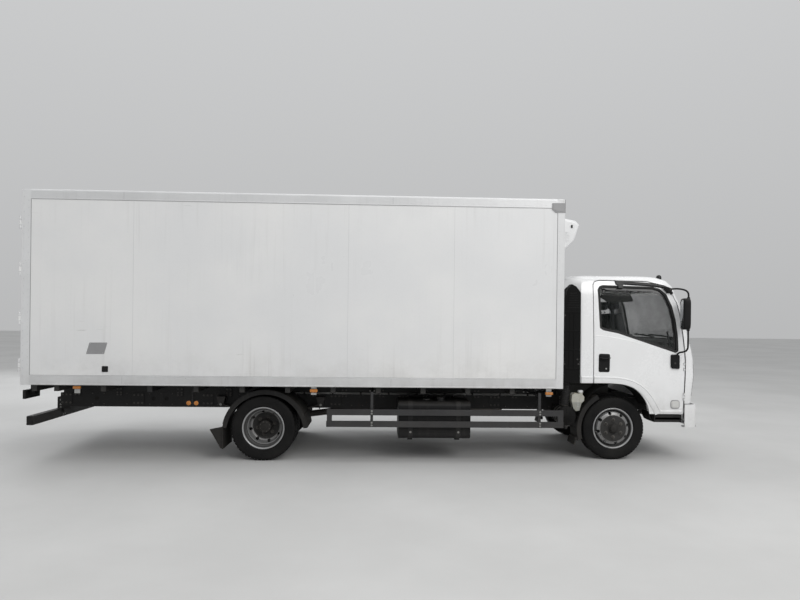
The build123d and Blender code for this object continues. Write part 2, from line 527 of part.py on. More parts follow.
def grown(points, d):
    """Polygon offset outward by d."""
    face = Face(Wire.make_polygon([(x, 0, z) for x, z in points], close=True))
    out = []
    n = len(points)
    area = sum(points[i][0] * points[(i + 1) % n][1] - points[(i + 1) % n][0] * points[i][1] for i in range(n))
    sgn = 1 if area > 0 else -1
    for i in range(n):
        (x0, z0), (x1, z1), (x2, z2) = points[i - 1], points[i], points[(i + 1) % n]
        a = (x1 - x0, z1 - z0)
        b = (x2 - x1, z2 - z1)
        la, lb = math.hypot(*a), math.hypot(*b)
        n1 = (sgn * a[1] / la, -sgn * a[0] / la)
        n2 = (sgn * b[1] / lb, -sgn * b[0] / lb)
        k = 1 + n1[0] * n2[0] + n1[1] * n2[1]
        out.append((x1 + d * (n1[0] + n2[0]) / k, z1 + d * (n1[1] + n2[1]) / k))
    return out


WINDOW = [(-222, 2195), (-200, 2228), (-170, 2238), (480, 2224), (565, 2200), (640, 2135), (709, 1986), (752, 1811), (776, 1620), (784, 1425), (765, 1414), (24, 1655), (-165, 1692), (-200, 1712)]
door_wall = (outer - inner) & box(-700, 1100, -1200, 1200, 608, 2400)
door_wall = door_wall - arch - box(-700, 0, -1200, 1200, 500, 1002)
band = outer - cab_solid(26.0, 26.0)
glass_band = cab_solid(18.0, 18.0) - cab_solid(24.0, 24.0)

# the doors leave the shell with a gap all round; below the arch line the whole
# side belongs to them
DOOR_HOLE = grown(DOOR, DOOR_GAP)
DOOR_HOLE_CUT = [(x, z if z > 1100 else z - 200) for x, z in DOOR_HOLE]


def steps(side):
    tray = box(505, 865, side * 760, side * 1004, 500, 596)
    tray = tray - box(520, 850, side * 790, side * 1100, 530, 566)
    return joined(tray, box(505, 865, side * 760, side * 775, 590, 800))


CAB_HINGE_Z = (830.0, 1215.0)
doors = {}
windows = {}
for side, word in ((-1, "right"), (1, "left")):
    d = door_wall & plate_xz(DOOR, side * 700, side * 1200)
    w = plate_xz(WINDOW, side * 700, side * 1200)
    pane = glass_band & w
    d = d - w
    doors[word] = max(solids_of(d), key=lambda q: q.volume)
    windows[word] = max(solids_of(pane), key=lambda q: q.volume)
    shell = shell - plate_xz(DOOR_HOLE_CUT, side * 700, side * 1200)

# windscreen and rear window
SCREEN = [(-925, 1548), (925, 1548), (885, 2017), (862, 2140), (835, 2200), (785, 2232), (-785, 2232), (-835, 2200), (-862, 2140), (-885, 2017)]
REAR_WIN = [(-480, 1760), (480, 1760), (480, 2130), (-480, 2130)]
screen_cut = plate_yz(SCREEN, 560, 1200)
rear_cut = plate_yz(REAR_WIN, -700, -520)
shell = shell - screen_cut - rear_cut
panes = [max(solids_of(glass_band & screen_cut), key=lambda q: q.volume), max(solids_of(glass_band & rear_cut), key=lambda q: q.volume)]
save("windshield", panes)

# front panel, from the bumper to the foot of the windscreen, with lamp pockets
panel_zone = box(FRONT_X, 1200, -1100, 1100, 742, 1530)
front_panel = (outer - inner) & panel_zone
for side, word in ((-1, "right"), (1, "left")):
    front_panel = front_panel - plate_xz(DOOR_HOLE_CUT, side * 700, side * 1200)
    # hinge barrels: the middle one is the door's, the ones above and below are
    # the panel's, and each is let into its neighbour with room to turn
    for hz in CAB_HINGE_Z:
        front_panel = front_panel - cyl_z(DOOR_AX, side * DOOR_AS, 15, hz - 26, hz + 26)
        for a, b in ((hz - 46, hz - 26), (hz + 26, hz + 46)):
            doors[word] = doors[word] - cyl_z(DOOR_AX, side * DOOR_AS, 15, a - 6, b + 6) - box(DOOR_AX, DOOR_AX + 40, side * 1016, side * 1060, a - 6, b + 6)
            front_panel = joined(front_panel, cyl_z(DOOR_AX, side * DOOR_AS, 9, a, b), box(DOOR_AX, 912, side * 1021, side * 1033, a, b))
        doors[word] = joined(doors[word], cyl_z(DOOR_AX, side * DOOR_AS, 9, hz - 20, hz + 20), box(860, DOOR_AX, side * 1020, side * 1034, hz - 20, hz + 20))
shell = shell - box(FRONT_X, 1200, -1100, 1100, 500, 1530)
shell = joined(shell, floor_solid)
LAMP = [(690, 850), (975, 840), (990, 1240), (930, 1250), (820, 1110), (640, 960)]
lamp_solids = []
for side in (-1, 1):
    cut = plate_yz([(side * y, z) for y, z in LAMP], 800, 1200)
    lamp_solids.append(max(solids_of(band & cut), key=lambda q: q.volume))
    front_panel = front_panel - (band & cut)
save("headlamps", lamp_solids)
# tilt lugs under the floor
for side in (-1, 1):
    lug = plate_xz([(958, 805), (958, 762), (966, 748), (978, 743), (990, 748), (998, 760), (998, 805)], side * 431, side * 449) - cyl_y(TILT_X, TILT_Z, 10.5, side * 420, side * 460)
    shell = joined(shell, lug)
save("cab_shell", max(solids_of(shell), key=lambda q: q.volume))
print("shell solids", [(round(s.volume / 1e3), s.bounding_box().min, s.bounding_box().max) for s in solids_of(shell)])
save("cab_front_panel", max(solids_of(front_panel), key=lambda q: q.volume))
print("panel solids", [round(s.volume / 1e3) for s in solids_of(front_panel)])
save("cab_steps", both(steps))


# mirrors: head, arms and brackets, on the doors
def mirror(side):
    # head x, s, z
    head = box(752, 890, side * 1070, side * 1268, 1694, 2092)
    head = head.fillet(30, head.edges())
    s_arm = 1165.0
    upper = [(655, 1000, 2208), (753, 1075, 2217), (827, s_arm - 15, 2194), (858, s_arm, 2150), (858, s_arm, 2040)]
    lower = [(858, s_arm, 1760), (858, s_arm, 1466), (836, s_arm - 15, 1418), (787, 1085, 1404), (768, 1046, 1340)]
    arm = None
    for pts in (upper, lower):
        for a, b in zip(pts[:-1], pts[1:]):
            seg = rod((a[0], side * a[1], a[2]), (b[0], side * b[1], b[2]), 11)
            arm = seg if arm is None else arm + seg
        for q in pts[1:-1]:
            arm = arm + Solid.make_sphere(11.5, Plane((q[0], side * q[1], q[2])))
    low = box(700, 812, side * 1022, side * 1064, 1195, 1372)
    high = plate_xz([(598, 2247), (668, 2238), (722, 2216), (700, 2168), (662, 2162), (628, 2200)], side * 945, side * 1035)
    return joined(head, arm, low, high)


for side, word in ((-1, "right"), (1, "left")):
    m = mirror(side) - doors[word]
    keep = [q for q in solids_of(m) if q.volume > 5e4]
    save("mirror_" + word, keep)
    save("door_" + word, doors[word])
    save("window_" + word, windows[word])

# ---------------------------------------------------------------- cab inside
dash = (plate_xz([(800, 1120), (800, 1340), (870, 1440), (960, 1500), (1150, 1520), (1150, 1000), (930, 1060)], -925, 925) & inner)
dash = dash - plate_yz([(-900, 900), (900, 900), (900, 1010), (-900, 1010)], 500, 1200)
save("dashboard", joined(max(solids_of(dash), key=lambda q: q.volume), rod((800, 480, 1230), (700, 480, 1385), 42)))

COL = Vector(-0.5446, 0, 0.8387)        # steering column direction, up towards the driver
WH = Vector(640.0, 480.0, 1478.0)       # middle of the steering wheel
wheel = Solid.make_torus(200, 15, Plane.XY) + Solid.make_cylinder(52, 60, Plane((0, 0, -45)))
for a in (80, 200, 320):
    c, n = math.cos(math.radians(a)), math.sin(math.radians(a))
    wheel = joined(wheel, Solid.make_box(195, 24, 12, Plane(origin=(12 * n, -12 * c, -6), x_dir=(c, n, 0), z_dir=(0, 0, 1))))
wheel = joined(wheel, Solid.make_cylinder(14, 70, Plane((0, 0, -105))))
wheel = wheel.moved(Plane(origin=WH, x_dir=(0.8387, 0, 0.5446), z_dir=COL).location)
save("steering_wheel", wheel)

seats = []
# y middle, width
for y, w in ((480.0, 500.0), (-440.0, 820.0)):
    base = box(200, 560, y - w / 2 + 40, y + w / 2 - 40, 1130, 1200)
    cushion = plate_xz([(200, 1200), (660, 1210), (680, 1270), (660, 1330), (240, 1300), (200, 1280)], y - w / 2, y + w / 2)
    back = plate_xz([(196, 1290), (290, 1310), (160, 1960), (130, 2080), (50, 2070), (60, 1940)], y - w / 2, y + w / 2)
    seats.append(joined(base, cushion, back))
save("seats", seats)

# ---------------------------------------------------------------- bumper, open at the top so that the cab can tilt into it
BUMP = (4200.0, 170.0)


def bump_solid(t, z0, z1, front, hw):
    cx = front - 6500.0 + math.sqrt((6500.0 - 60.0) ** 2 - (hw - 60.0) ** 2)
    rows = [(z0, cx, 6500.0, 60.0, hw, 500.0, 40.0), (z1, cx, 6500.0, 60.0, hw, 500.0, 40.0)]
    return Solid.make_loft([cab_wire(r, t) for r in rows], ruled=True)


bumper = bump_solid(0, 438, 733, 1130, 1034) - bump_solid(18, 400, 800, 1130, 1034)
bumper = bumper & box(893, 1200, -1100, 1100, 400, 800)
bumper = joined(bumper, (bump_solid(0, 438, 452, 1130, 1034) - box(400, 1030, -940, 940, 400, 500)) & box(893, 1200, -1100, 1100, 400, 800))
for side in (-1, 1):
    bumper = joined(bumper, box(RAIL_FRONT, 1114, side * 362, side * 408, 580, 620))
save("front_bumper", clear_of_frame(bumper))
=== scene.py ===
import bpy
import bmesh
import json
import math
import random
from mathutils import Matrix, Vector, noise


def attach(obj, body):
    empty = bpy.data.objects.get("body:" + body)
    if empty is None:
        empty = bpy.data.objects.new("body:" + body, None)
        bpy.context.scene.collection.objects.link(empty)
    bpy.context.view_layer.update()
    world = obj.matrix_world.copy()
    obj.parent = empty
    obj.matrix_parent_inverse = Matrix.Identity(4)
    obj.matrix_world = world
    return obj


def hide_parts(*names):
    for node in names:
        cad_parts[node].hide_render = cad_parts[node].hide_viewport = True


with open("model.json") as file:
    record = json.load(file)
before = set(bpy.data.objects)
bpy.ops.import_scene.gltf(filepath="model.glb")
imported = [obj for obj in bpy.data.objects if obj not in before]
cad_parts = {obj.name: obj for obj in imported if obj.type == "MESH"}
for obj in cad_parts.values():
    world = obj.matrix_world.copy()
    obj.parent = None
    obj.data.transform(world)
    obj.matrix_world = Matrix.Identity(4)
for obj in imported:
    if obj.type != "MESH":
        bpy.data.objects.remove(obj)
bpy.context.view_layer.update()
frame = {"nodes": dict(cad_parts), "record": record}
NODES = frame["nodes"]
SX = 3.155            # the front axle stands at this X in the row frame
random.seed(11)

# Numbers below are in millimetres from the front axle (X forward, Y left, Z up),
# as in the CAD source. P() turns them into metres in the row frame.


def P(x, y, z):
    return Vector((x / 1000.0 + SX, y / 1000.0, z / 1000.0))


# ------------------------------------------------------------------ mesh building
class Mesh:
    """Collects plain geometry in millimetres, then becomes one object."""

    def __init__(self):
        self.v, self.f, self.m = [], [], []

    def add(self, verts, faces, mat=0):
        o = len(self.v)
        self.v += [tuple(p) for p in verts]
        self.f += [tuple(i + o for i in f) for f in faces]
        self.m += [mat] * len(faces)

    def box(self, x0, x1, y0, y1, z0, z1, r=2.0, mat=0):
        """A box whose twelve edges are chamfered by r."""
        x0, x1 = min(x0, x1), max(x0, x1)
        y0, y1 = min(y0, y1), max(y0, y1)
        z0, z1 = min(z0, z1), max(z0, z1)
        self.rbox((x0 + x1) / 2, (y0 + y1) / 2, (z0 + z1) / 2, (x1 - x0) / 2, (y1 - y0) / 2, (z1 - z0) / 2, r, mat)

    def rbox(self, cx, cy, cz, a, b, c, r=2.0, mat=0, turn=None, tilt=None):
        r = min(r, 0.49 * min(a, b, c) * 2)
        pts, index = [], {}
        for sx in (-1, 1):
            for sy in (-1, 1):
                for sz in (-1, 1):
                    for k in range(3):
                        q = [sx * a, sy * b, sz * c]
                        for j in range(3):
                            if j != k:
                                q[j] -= (sx, sy, sz)[j] * r
                        index[(sx, sy, sz, k)] = len(pts)
                        pts.append(q)
        I = index
        faces = []
        for k in range(3):
            i, j = (k + 1) % 3, (k + 2) % 3
            for s in (-1, 1):
                loop = []
                for u, w in ((-1, -1), (1, -1), (1, 1), (-1, 1)):
                    key = [0, 0, 0]
                    key[k], key[i], key[j] = s, u, w
                    loop.append(I[(key[0], key[1], key[2], k)])
                faces.append(loop if s > 0 else loop[::-1])
        for k in range(3):
            i, j = (k + 1) % 3, (k + 2) % 3
            for u in (-1, 1):
                for w in (-1, 1):
                    a0, a1 = [0, 0, 0], [0, 0, 0]
                    a0[k], a0[i], a0[j] = -1, u, w
                    a1[k], a1[i], a1[j] = 1, u, w
                    loop = [I[(*a0, i)], I[(*a1, i)], I[(*a1, j)], I[(*a0, j)]]
                    faces.append(loop if u * w < 0 else loop[::-1])
        for sx in (-1, 1):
            for sy in (-1, 1):
                for sz in (-1, 1):
                    loop = [I[(sx, sy, sz, 0)], I[(sx, sy, sz, 1)], I[(sx, sy, sz, 2)]]
                    faces.append(loop if sx * sy * sz > 0 else loop[::-1])
        m = Matrix.Identity(3)
        if turn is not None:
            m = turn
        out = []
        for q in pts:
            w = m @ Vector(q)
            out.append((w.x + cx, w.y + cy, w.z + cz))
        self.add(out, faces, mat)

    def lathe(self, profile, x, z, side=1, seg=48, mat=0, close=False, start=0.0, sweep=360.0):
        """Revolves (radius, s) points about the line along Y through (x, z)."""
        n = len(profile)
        full = sweep >= 359.9
        steps = seg if full else seg + 1
        verts = []
        for k in range(steps):
            a = math.radians(start + sweep * k / seg)
            for r, s in profile:
                verts.append((x + r * math.cos(a), side * s, z + r * math.sin(a)))
        faces = []
        rows = n if close else n - 1
        for k in range(seg):
            k2 = (k + 1) % seg if full else k + 1
            for i in range(rows):
                j = (i + 1) % n
                loop = (k * n + i, k * n + j, k2 * n + j, k2 * n + i)
                faces.append(loop if side > 0 else loop[::-1])
        self.add(verts, faces, mat)

    def spin(self, profile, origin, axis, seg=24, mat=0):
        """Revolves (radius, height) points about axis through origin; ends on the axis are closed."""
        o, ax = Vector(origin), Vector(axis).normalized()
        u = ax.orthogonal().normalized()
        w = ax.cross(u)
        verts, rings = [], []
        for r, h in profile:
            if r < 1e-6:
                rings.append([len(verts)])
                verts.append(o + ax * h)
            else:
                rings.append(list(range(len(verts), len(verts) + seg)))
                for k in range(seg):
                    a = 2 * math.pi * k / seg
                    verts.append(o + ax * h + (u * math.cos(a) + w * math.sin(a)) * r)
        faces = []
        for p, q in zip(rings, rings[1:]):
            for k in range(seg):
                k2 = (k + 1) % seg
                if len(p) == 1 and len(q) == 1:
                    continue
                if len(p) == 1:
                    faces.append((p[0], q[k], q[k2]))
                elif len(q) == 1:
                    faces.append((p[k], q[0], p[k2]))
                else:
                    faces.append((p[k], q[k], q[k2], p[k2]))
        self.add(verts, [f[::-1] for f in faces], mat)

    def rivet(self, at, normal, r=6.0, h=2.5, seg=8, mat=0):
        self.spin([(r, 0), (r * 0.86, h * 0.55), (r * 0.5, h * 0.92), (0, h)], at, normal, seg, mat)

    def bolt(self, at, normal, r=9.0, h=7.0, washer=True, mat=0, turn=0.0):
        """A hexagon head on a washer."""
        o, ax = Vector(at), Vector(normal).normalized()
        if washer:
            self.spin([(r * 1.55, -0.5), (r * 1.55, h * 0.22), (r * 1.35, h * 0.3), (0, h * 0.3)], at, normal, 18, mat)
        u = ax.orthogonal().normalized()
        w = ax.cross(u)
        rings = [(1.0, h * 0.2), (1.0, h * 0.88), (0.86, h)]
        verts = []
        for k, hh in rings:
            for i in range(6):
                a = math.radians(60 * i) + turn
                verts.append(o + ax * hh + (u * math.cos(a) + w * math.sin(a)) * r * k)
        faces = []
        for q in range(2):
            for i in range(6):
                j = (i + 1) % 6
                faces.append((q * 6 + i, q * 6 + j, q * 6 + 6 + j, q * 6 + 6 + i))
        faces.append(tuple(range(12, 18)))
        self.add(verts, faces, mat)

    def prism(self, poly, axis, a, b, mat=0, chamfer=0.0):
        """Polygon of 2-D points; axis 'x' takes (y, z), 'y' takes (x, z), 'z' takes (x, y).
        chamfer takes the edges of both ends down by that much."""
        area = sum(p[0] * q[1] - q[0] * p[1] for p, q in zip(poly, poly[1:] + poly[:1]))
        if area < 0:
            poly = poly[::-1]
        n = len(poly)
        a, b = min(a, b), max(a, b)

        def at(p, t):
            if axis == "x":
                return (t, p[0], p[1])
            if axis == "y":
                return (p[0], t, p[1])
            return (p[0], p[1], t)

        flip = axis == "y"
        if chamfer > 0:
            inner = inset(poly, chamfer)
            layers = [(inner, a), (poly, a + chamfer), (poly, b - chamfer), (inner, b)]
        else:
            layers = [(poly, a), (poly, b)]
        verts = [at(p, t) for pts, t in layers for p in pts]
        faces = []
        for k in range(len(layers) - 1):
            for i in range(n):
                j = (i + 1) % n
                faces.append((k * n + i, k * n + j, (k + 1) * n + j, (k + 1) * n + i))
        faces.append(tuple(range(n))[::-1])
        faces.append(tuple(range((len(layers) - 1) * n, len(layers) * n)))
        if flip:
            faces = [f[::-1] for f in faces]
        self.add(verts, faces, mat)

    def tube(self, points, r, seg=12, mat=0, cap=True, smooth=0, flat=None):
        """A round (or flat=(half width, half height)) bar along points."""
        pts = [Vector(p) for p in points]
        if smooth:
            pts = soft_path(pts, smooth)
        n = len(pts)
        tang = []
        for i in range(n):
            d = pts[min(i + 1, n - 1)] - pts[max(i - 1, 0)]
            tang.append(d.normalized())
        up = tang[0].orthogonal().normalized()
        if abs(tang[0].z) < 0.95:
            up = (Vector((0, 0, 1)) - tang[0] * tang[0].z).normalized()
        verts, faces = [], []
        for i in range(n):
            if i:
                up = (up - tang[i] * up.dot(tang[i])).normalized()
            side = tang[i].cross(up)
            rr = r[i] if isinstance(r, (list, tuple)) else r
            for k in range(seg):
                a = 2 * math.pi * k / seg
                if flat:
                    c, s = math.cos(a), math.sin(a)
                    q = 0.35
                    verts.append(pts[i] + side * (flat[0] * math.copysign(abs(c) ** q, c)) + up * (flat[1] * math.copysign(abs(s) ** q, s)))
                else:
                    verts.append(pts[i] + (side * math.cos(a) + up * math.sin(a)) * rr)
        for i in range(n - 1):
            for k in range(seg):
                k2 = (k + 1) % seg
                faces.append((i * seg + k, i * seg + k2, (i + 1) * seg + k2, (i + 1) * seg + k))
        if cap:
            faces.append(tuple(range(seg))[::-1])
            faces.append(tuple(range((n - 1) * seg, n * seg)))
        self.add(verts, [f[::-1] for f in faces], mat)

    def grid(self, rows, mat=0, loop_u=False, loop_v=False, flip=False):
        """rows: list of equal rows of points."""
        nu, nv = len(rows), len(rows[0])
        verts = [p for row in rows for p in row]
        faces = []
        for i in range(nu if loop_u else nu - 1):
            for j in range(nv if loop_v else nv - 1):
                i2, j2 = (i + 1) % nu, (j + 1) % nv
                f = (i * nv + j, i * nv + j2, i2 * nv + j2, i2 * nv + j)
                faces.append(f[::-1] if flip else f)
        self.add(verts, faces, mat)

    def mirror(self):
        """Adds the same geometry on the other side of the middle plane."""
        n = len(self.v)
        self.v += [(x, -y, z) for x, y, z in [tuple(p) for p in self.v]]
        self.f += [tuple(i + n for i in f)[::-1] for f in list(self.f)]
        self.m += list(self.m)


def inset(poly, d):
    """The polygon (counter-clockwise) moved inwards by d."""
    out = []
    n = len(poly)
    for i in range(n):
        p0, p1, p2 = Vector(poly[i - 1]), Vector(poly[i]), Vector(poly[(i + 1) % n])
        e0, e1 = (p1 - p0), (p2 - p1)
        if e0.length < 1e-9 or e1.length < 1e-9:
            out.append(tuple(p1))
            continue
        e0.normalize()
        e1.normalize()
        n0, n1 = Vector((-e0.y, e0.x)), Vector((-e1.y, e1.x))
        m = n0 + n1
        if m.length < 1e-6:
            m = n0
        m.normalize()
        k = max(0.35, m.dot(n0))
        out.append(tuple(p1 + m * (d / k)))
    return out


def soft_path(pts, per):
    """Catmull-Rom through the points, with per steps in each run."""
    out = []
    n = len(pts)
    for i in range(n - 1):
        p0 = pts[max(i - 1, 0)]
        p1, p2 = pts[i], pts[i + 1]
        p3 = pts[min(i + 2, n - 1)]
        for k in range(per):
            t = k / per
            out.append(0.5 * ((2 * p1) + (p2 - p0) * t + (2 * p0 - 5 * p1 + 4 * p2 - p3) * t * t + (3 * p1 - p0 - 3 * p2 + p3) * t ** 3))
    out.append(pts[-1])
    return out


def round_poly(poly, r, seg=4):
    """Rounds each corner of a closed 2-D polygon by radius r (a number or one per corner)."""
    out = []
    n = len(poly)
    for i in range(n):
        p0, p1, p2 = Vector(poly[i - 1]), Vector(poly[i]), Vector(poly[(i + 1) % n])
        rr = r[i] if isinstance(r, (list, tuple)) else r
        a, b = (p0 - p1), (p2 - p1)
        la, lb = a.length, b.length
        if rr <= 0 or la < 1e-6 or lb < 1e-6:
            out.append(tuple(p1))
            continue
        a.normalize()
        b.normalize()
        ang = a.angle(b)
        if ang > math.pi - 0.05:
            out.append(tuple(p1))
            continue
        t = min(rr / math.tan(ang / 2), 0.48 * la, 0.48 * lb)
        q0, q2 = p1 + a * t, p1 + b * t
        for k in range(seg + 1):
            u = k / seg
            q = q0 * (1 - u) ** 2 + p1 * 2 * u * (1 - u) + q2 * u * u
            out.append(tuple(q))
    return out


def put(name, mesh, body, mats, angle=32.0, weld=0.0, bevel=None, subdiv=0, shade=True):
    """Makes the object, in metres in the row frame, and lets it ride on a body."""
    me = bpy.data.meshes.new(name)
    if not isinstance(mats, (list, tuple)):
        mats = [mats]
    me.from_pydata([((x / 1000.0) + SX, y / 1000.0, z / 1000.0) for x, y, z in mesh.v], [], mesh.f)
    for m in mats:
        me.materials.append(m)
    me.polygons.foreach_set("material_index", mesh.m)
    bm = bmesh.new()
    bm.from_mesh(me)
    if weld:
        bmesh.ops.remove_doubles(bm, verts=bm.verts, dist=weld / 1000.0)
    bmesh.ops.dissolve_degenerate(bm, edges=bm.edges, dist=1e-6)
    lim = math.radians(angle)
    for f in bm.faces:
        f.smooth = shade
    for e in bm.edges:
        e.smooth = len(e.link_faces) == 2 and e.calc_face_angle(0.0) < lim
    bm.to_mesh(me)
    bm.free()
    me.update()
    o = bpy.data.objects.new(name, me)
    bpy.context.scene.collection.objects.link(o)
    if subdiv:
        m = o.modifiers.new("subdiv", "SUBSURF")
        m.levels = m.render_levels = subdiv
    if bevel:
        b = o.modifiers.new("bevel", "BEVEL")
        b.width = bevel / 1000.0
        b.segments = 2
        b.limit_method = "ANGLE"
        b.angle_limit = math.radians(30)
        w = o.modifiers.new("normals", "WEIGHTED_NORMAL")
        w.keep_sharp = False
    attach(o, body)
    return o


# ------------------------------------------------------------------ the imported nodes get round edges
def edge_group():
    g = bpy.data.node_groups.new("even_shading", "GeometryNodeTree")
    g.interface.new_socket("Geometry", in_out="INPUT", socket_type="NodeSocketGeometry")
    g.interface.new_socket("Geometry", in_out="OUTPUT", socket_type="NodeSocketGeometry")
    i, o = g.nodes.new("NodeGroupInput"), g.nodes.new("NodeGroupOutput")
    merge = g.nodes.new("GeometryNodeMergeByDistance")
    merge.inputs["Distance"].default_value = 0.00002
    rem = g.nodes.new("GeometryNodeRemoveAttribute")
    rem.inputs["Name"].default_value = "custom_normal"
    rem2 = g.nodes.new("GeometryNodeRemoveAttribute")
    rem2.inputs["Name"].default_value = "sharp_edge"
    sm = g.nodes.new("GeometryNodeSetShadeSmooth")
    sm.domain = "FACE"
    sm.inputs["Shade Smooth"].default_value = True
    g.links.new(i.outputs[0], merge.inputs["Geometry"])
    g.links.new(merge.outputs[0], rem.inputs["Geometry"])
    g.links.new(rem.outputs[0], rem2.inputs["Geometry"])
    g.links.new(rem2.outputs[0], sm.inputs["Geometry"])
    g.links.new(sm.outputs[0], o.inputs[0])
    return g


def angle_group(limit):
    g = bpy.data.node_groups.new("sharp_from_angle", "GeometryNodeTree")
    g.interface.new_socket("Geometry", in_out="INPUT", socket_type="NodeSocketGeometry")
    g.interface.new_socket("Geometry", in_out="OUTPUT", socket_type="NodeSocketGeometry")
    i, o = g.nodes.new("NodeGroupInput"), g.nodes.new("NodeGroupOutput")
    ang = g.nodes.new("GeometryNodeInputMeshEdgeAngle")
    cmp = g.nodes.new("FunctionNodeCompare")
    cmp.data_type = "FLOAT"
    cmp.operation = "GREATER_THAN"
    cmp.inputs[1].default_value = math.radians(limit)
    sm = g.nodes.new("GeometryNodeSetShadeSmooth")
    sm.domain = "EDGE"
    sm.inputs["Shade Smooth"].default_value = False
    g.links.new(ang.outputs["Unsigned Angle"], cmp.inputs[0])
    g.links.new(cmp.outputs[0], sm.inputs["Selection"])
    g.links.new(i.outputs[0], sm.inputs["Geometry"])
    g.links.new(sm.outputs[0], o.inputs[0])
    return g


EVEN = edge_group()
ANGLES = {}


def soften(node, width=0.0, planar=0.4, sharp=35.0, limit=28.0, segments=2):
    """Modifiers only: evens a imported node's shading and rounds its edges by width mm."""
    o = NODES[node]
    m = o.modifiers.new("even", "NODES")
    m.node_group = EVEN
    if width:
        d = o.modifiers.new("planar", "DECIMATE")
        d.decimate_type = "DISSOLVE"
        d.angle_limit = math.radians(planar)
        b = o.modifiers.new("bevel", "BEVEL")
        b.width = width / 1000.0
        b.segments = segments
        b.limit_method = "ANGLE"
        b.angle_limit = math.radians(limit)
        b.use_clamp_overlap = True
        w = o.modifiers.new("normals", "WEIGHTED_NORMAL")
        w.keep_sharp = False
        w.weight = 60
    else:
        if sharp not in ANGLES:
            ANGLES[sharp] = angle_group(sharp)
        a = o.modifiers.new("sharp", "NODES")
        a.node_group = ANGLES[sharp]
    return o


def paint_node(material, *nodes):
    for n in nodes:
        o = NODES[n]
        for k in range(len(o.material_slots)):
            o.material_slots[k].material = material


# ------------------------------------------------------------------ materials
class Mat:
    """A Principled material built from nodes in object coordinates (metres at rest)."""

    def __init__(self, name):
        self.m = bpy.data.materials.new(name)
        self.m.use_nodes = True
        self.t = self.m.node_tree
        self.t.nodes.clear()
        self.out = self.t.nodes.new("ShaderNodeOutputMaterial")
        self.b = self.t.nodes.new("ShaderNodeBsdfPrincipled")
        self.t.links.new(self.b.outputs[0], self.out.inputs[0])
        self.tc = self.t.nodes.new("ShaderNodeTexCoord")

    def new(self, kind, **kw):
        n = self.t.nodes.new(kind)
        for k, v in kw.items():
            setattr(n, k, v)
        return n

    def put(self, socket, value):
        if isinstance(value, bpy.types.NodeSocket):
            self.t.links.new(value, socket)
        elif isinstance(value, (tuple, list)) and len(value) == 3 and socket.type == "RGBA":
            socket.default_value = (*value, 1.0)
        else:
            socket.default_value = value

    def set(self, **kw):
        for k, v in kw.items():
            self.put(self.b.inputs[k.replace("_", " ")], v)
        return self

    def vec(self, scale=(1, 1, 1), loc=(0, 0, 0)):
        n = self.new("ShaderNodeMapping")
        self.t.links.new(self.tc.outputs["Object"], n.inputs[0])
        n.inputs["Scale"].default_value = scale
        n.inputs["Location"].default_value = loc
        return n.outputs[0]

    def noise(self, scale=5.0, detail=4.0, rough=0.55, vec=None, distort=0.0):
        n = self.new("ShaderNodeTexNoise")
        self.t.links.new(vec if vec is not None else self.vec(), n.inputs["Vector"])
        n.inputs["Scale"].default_value = scale
        n.inputs["Detail"].default_value = detail
        n.inputs["Roughness"].default_value = rough
        n.inputs["Distortion"].default_value = distort
        return n.outputs[0]

    def voronoi(self, scale=50.0, vec=None, feature="F1", out="Distance"):
        n = self.new("ShaderNodeTexVoronoi", feature=feature)
        self.t.links.new(vec if vec is not None else self.vec(), n.inputs["Vector"])
        n.inputs["Scale"].default_value = scale
        return n.outputs[out]

    def span(self, value, a, b, c=0.0, d=1.0, smooth=True):
        n = self.new("ShaderNodeMapRange")
        n.interpolation_type = "SMOOTHSTEP" if smooth else "LINEAR"
        self.put(n.inputs["Value"], value)
        n.inputs["From Min"].default_value = a
        n.inputs["From Max"].default_value = b
        n.inputs["To Min"].default_value = c
        n.inputs["To Max"].default_value = d
        return n.outputs[0]

    def math(self, op, a, b=0.0, clamp=False):
        n = self.new("ShaderNodeMath", operation=op, use_clamp=clamp)
        self.put(n.inputs[0], a)
        self.put(n.inputs[1], b)
        return n.outputs[0]

    def mix(self, fac, a, b, kind="MIX"):
        n = self.new("ShaderNodeMix", data_type="RGBA", blend_type=kind)
        self.put(n.inputs["Factor"], fac)
        self.put(n.inputs[6], a)
        self.put(n.inputs[7], b)
        return n.outputs[2]

    def blend(self, fac, a, b):
        n = self.new("ShaderNodeMix", data_type="FLOAT")
        self.put(n.inputs[0], fac)
        self.put(n.inputs[2], a)
        self.put(n.inputs[3], b)
        return n.outputs[0]

    def z(self):
        n = self.new("ShaderNodeSeparateXYZ")
        self.t.links.new(self.tc.outputs["Object"], n.inputs[0])
        return n.outputs[2]

    def xyz(self, k):
        n = self.new("ShaderNodeSeparateXYZ")
        self.t.links.new(self.tc.outputs["Object"], n.inputs[0])
        return n.outputs[k]

    def up(self):
        """1 on surfaces that face up, 0 on walls and below."""
        g = self.new("ShaderNodeNewGeometry")
        s = self.new("ShaderNodeSeparateXYZ")
        self.t.links.new(g.outputs["Normal"], s.inputs[0])
        return self.span(s.outputs[2], 0.15, 0.9)

    def bump(self, height, strength=0.2, distance=0.001, chain=None):
        n = self.new("ShaderNodeBump")
        n.inputs["Strength"].default_value = strength
        n.inputs["Distance"].default_value = distance
        self.put(n.inputs["Height"], height)
        if chain is not None:
            self.t.links.new(chain, n.inputs["Normal"])
        return n.outputs[0]


DUST = (0.20, 0.185, 0.165)


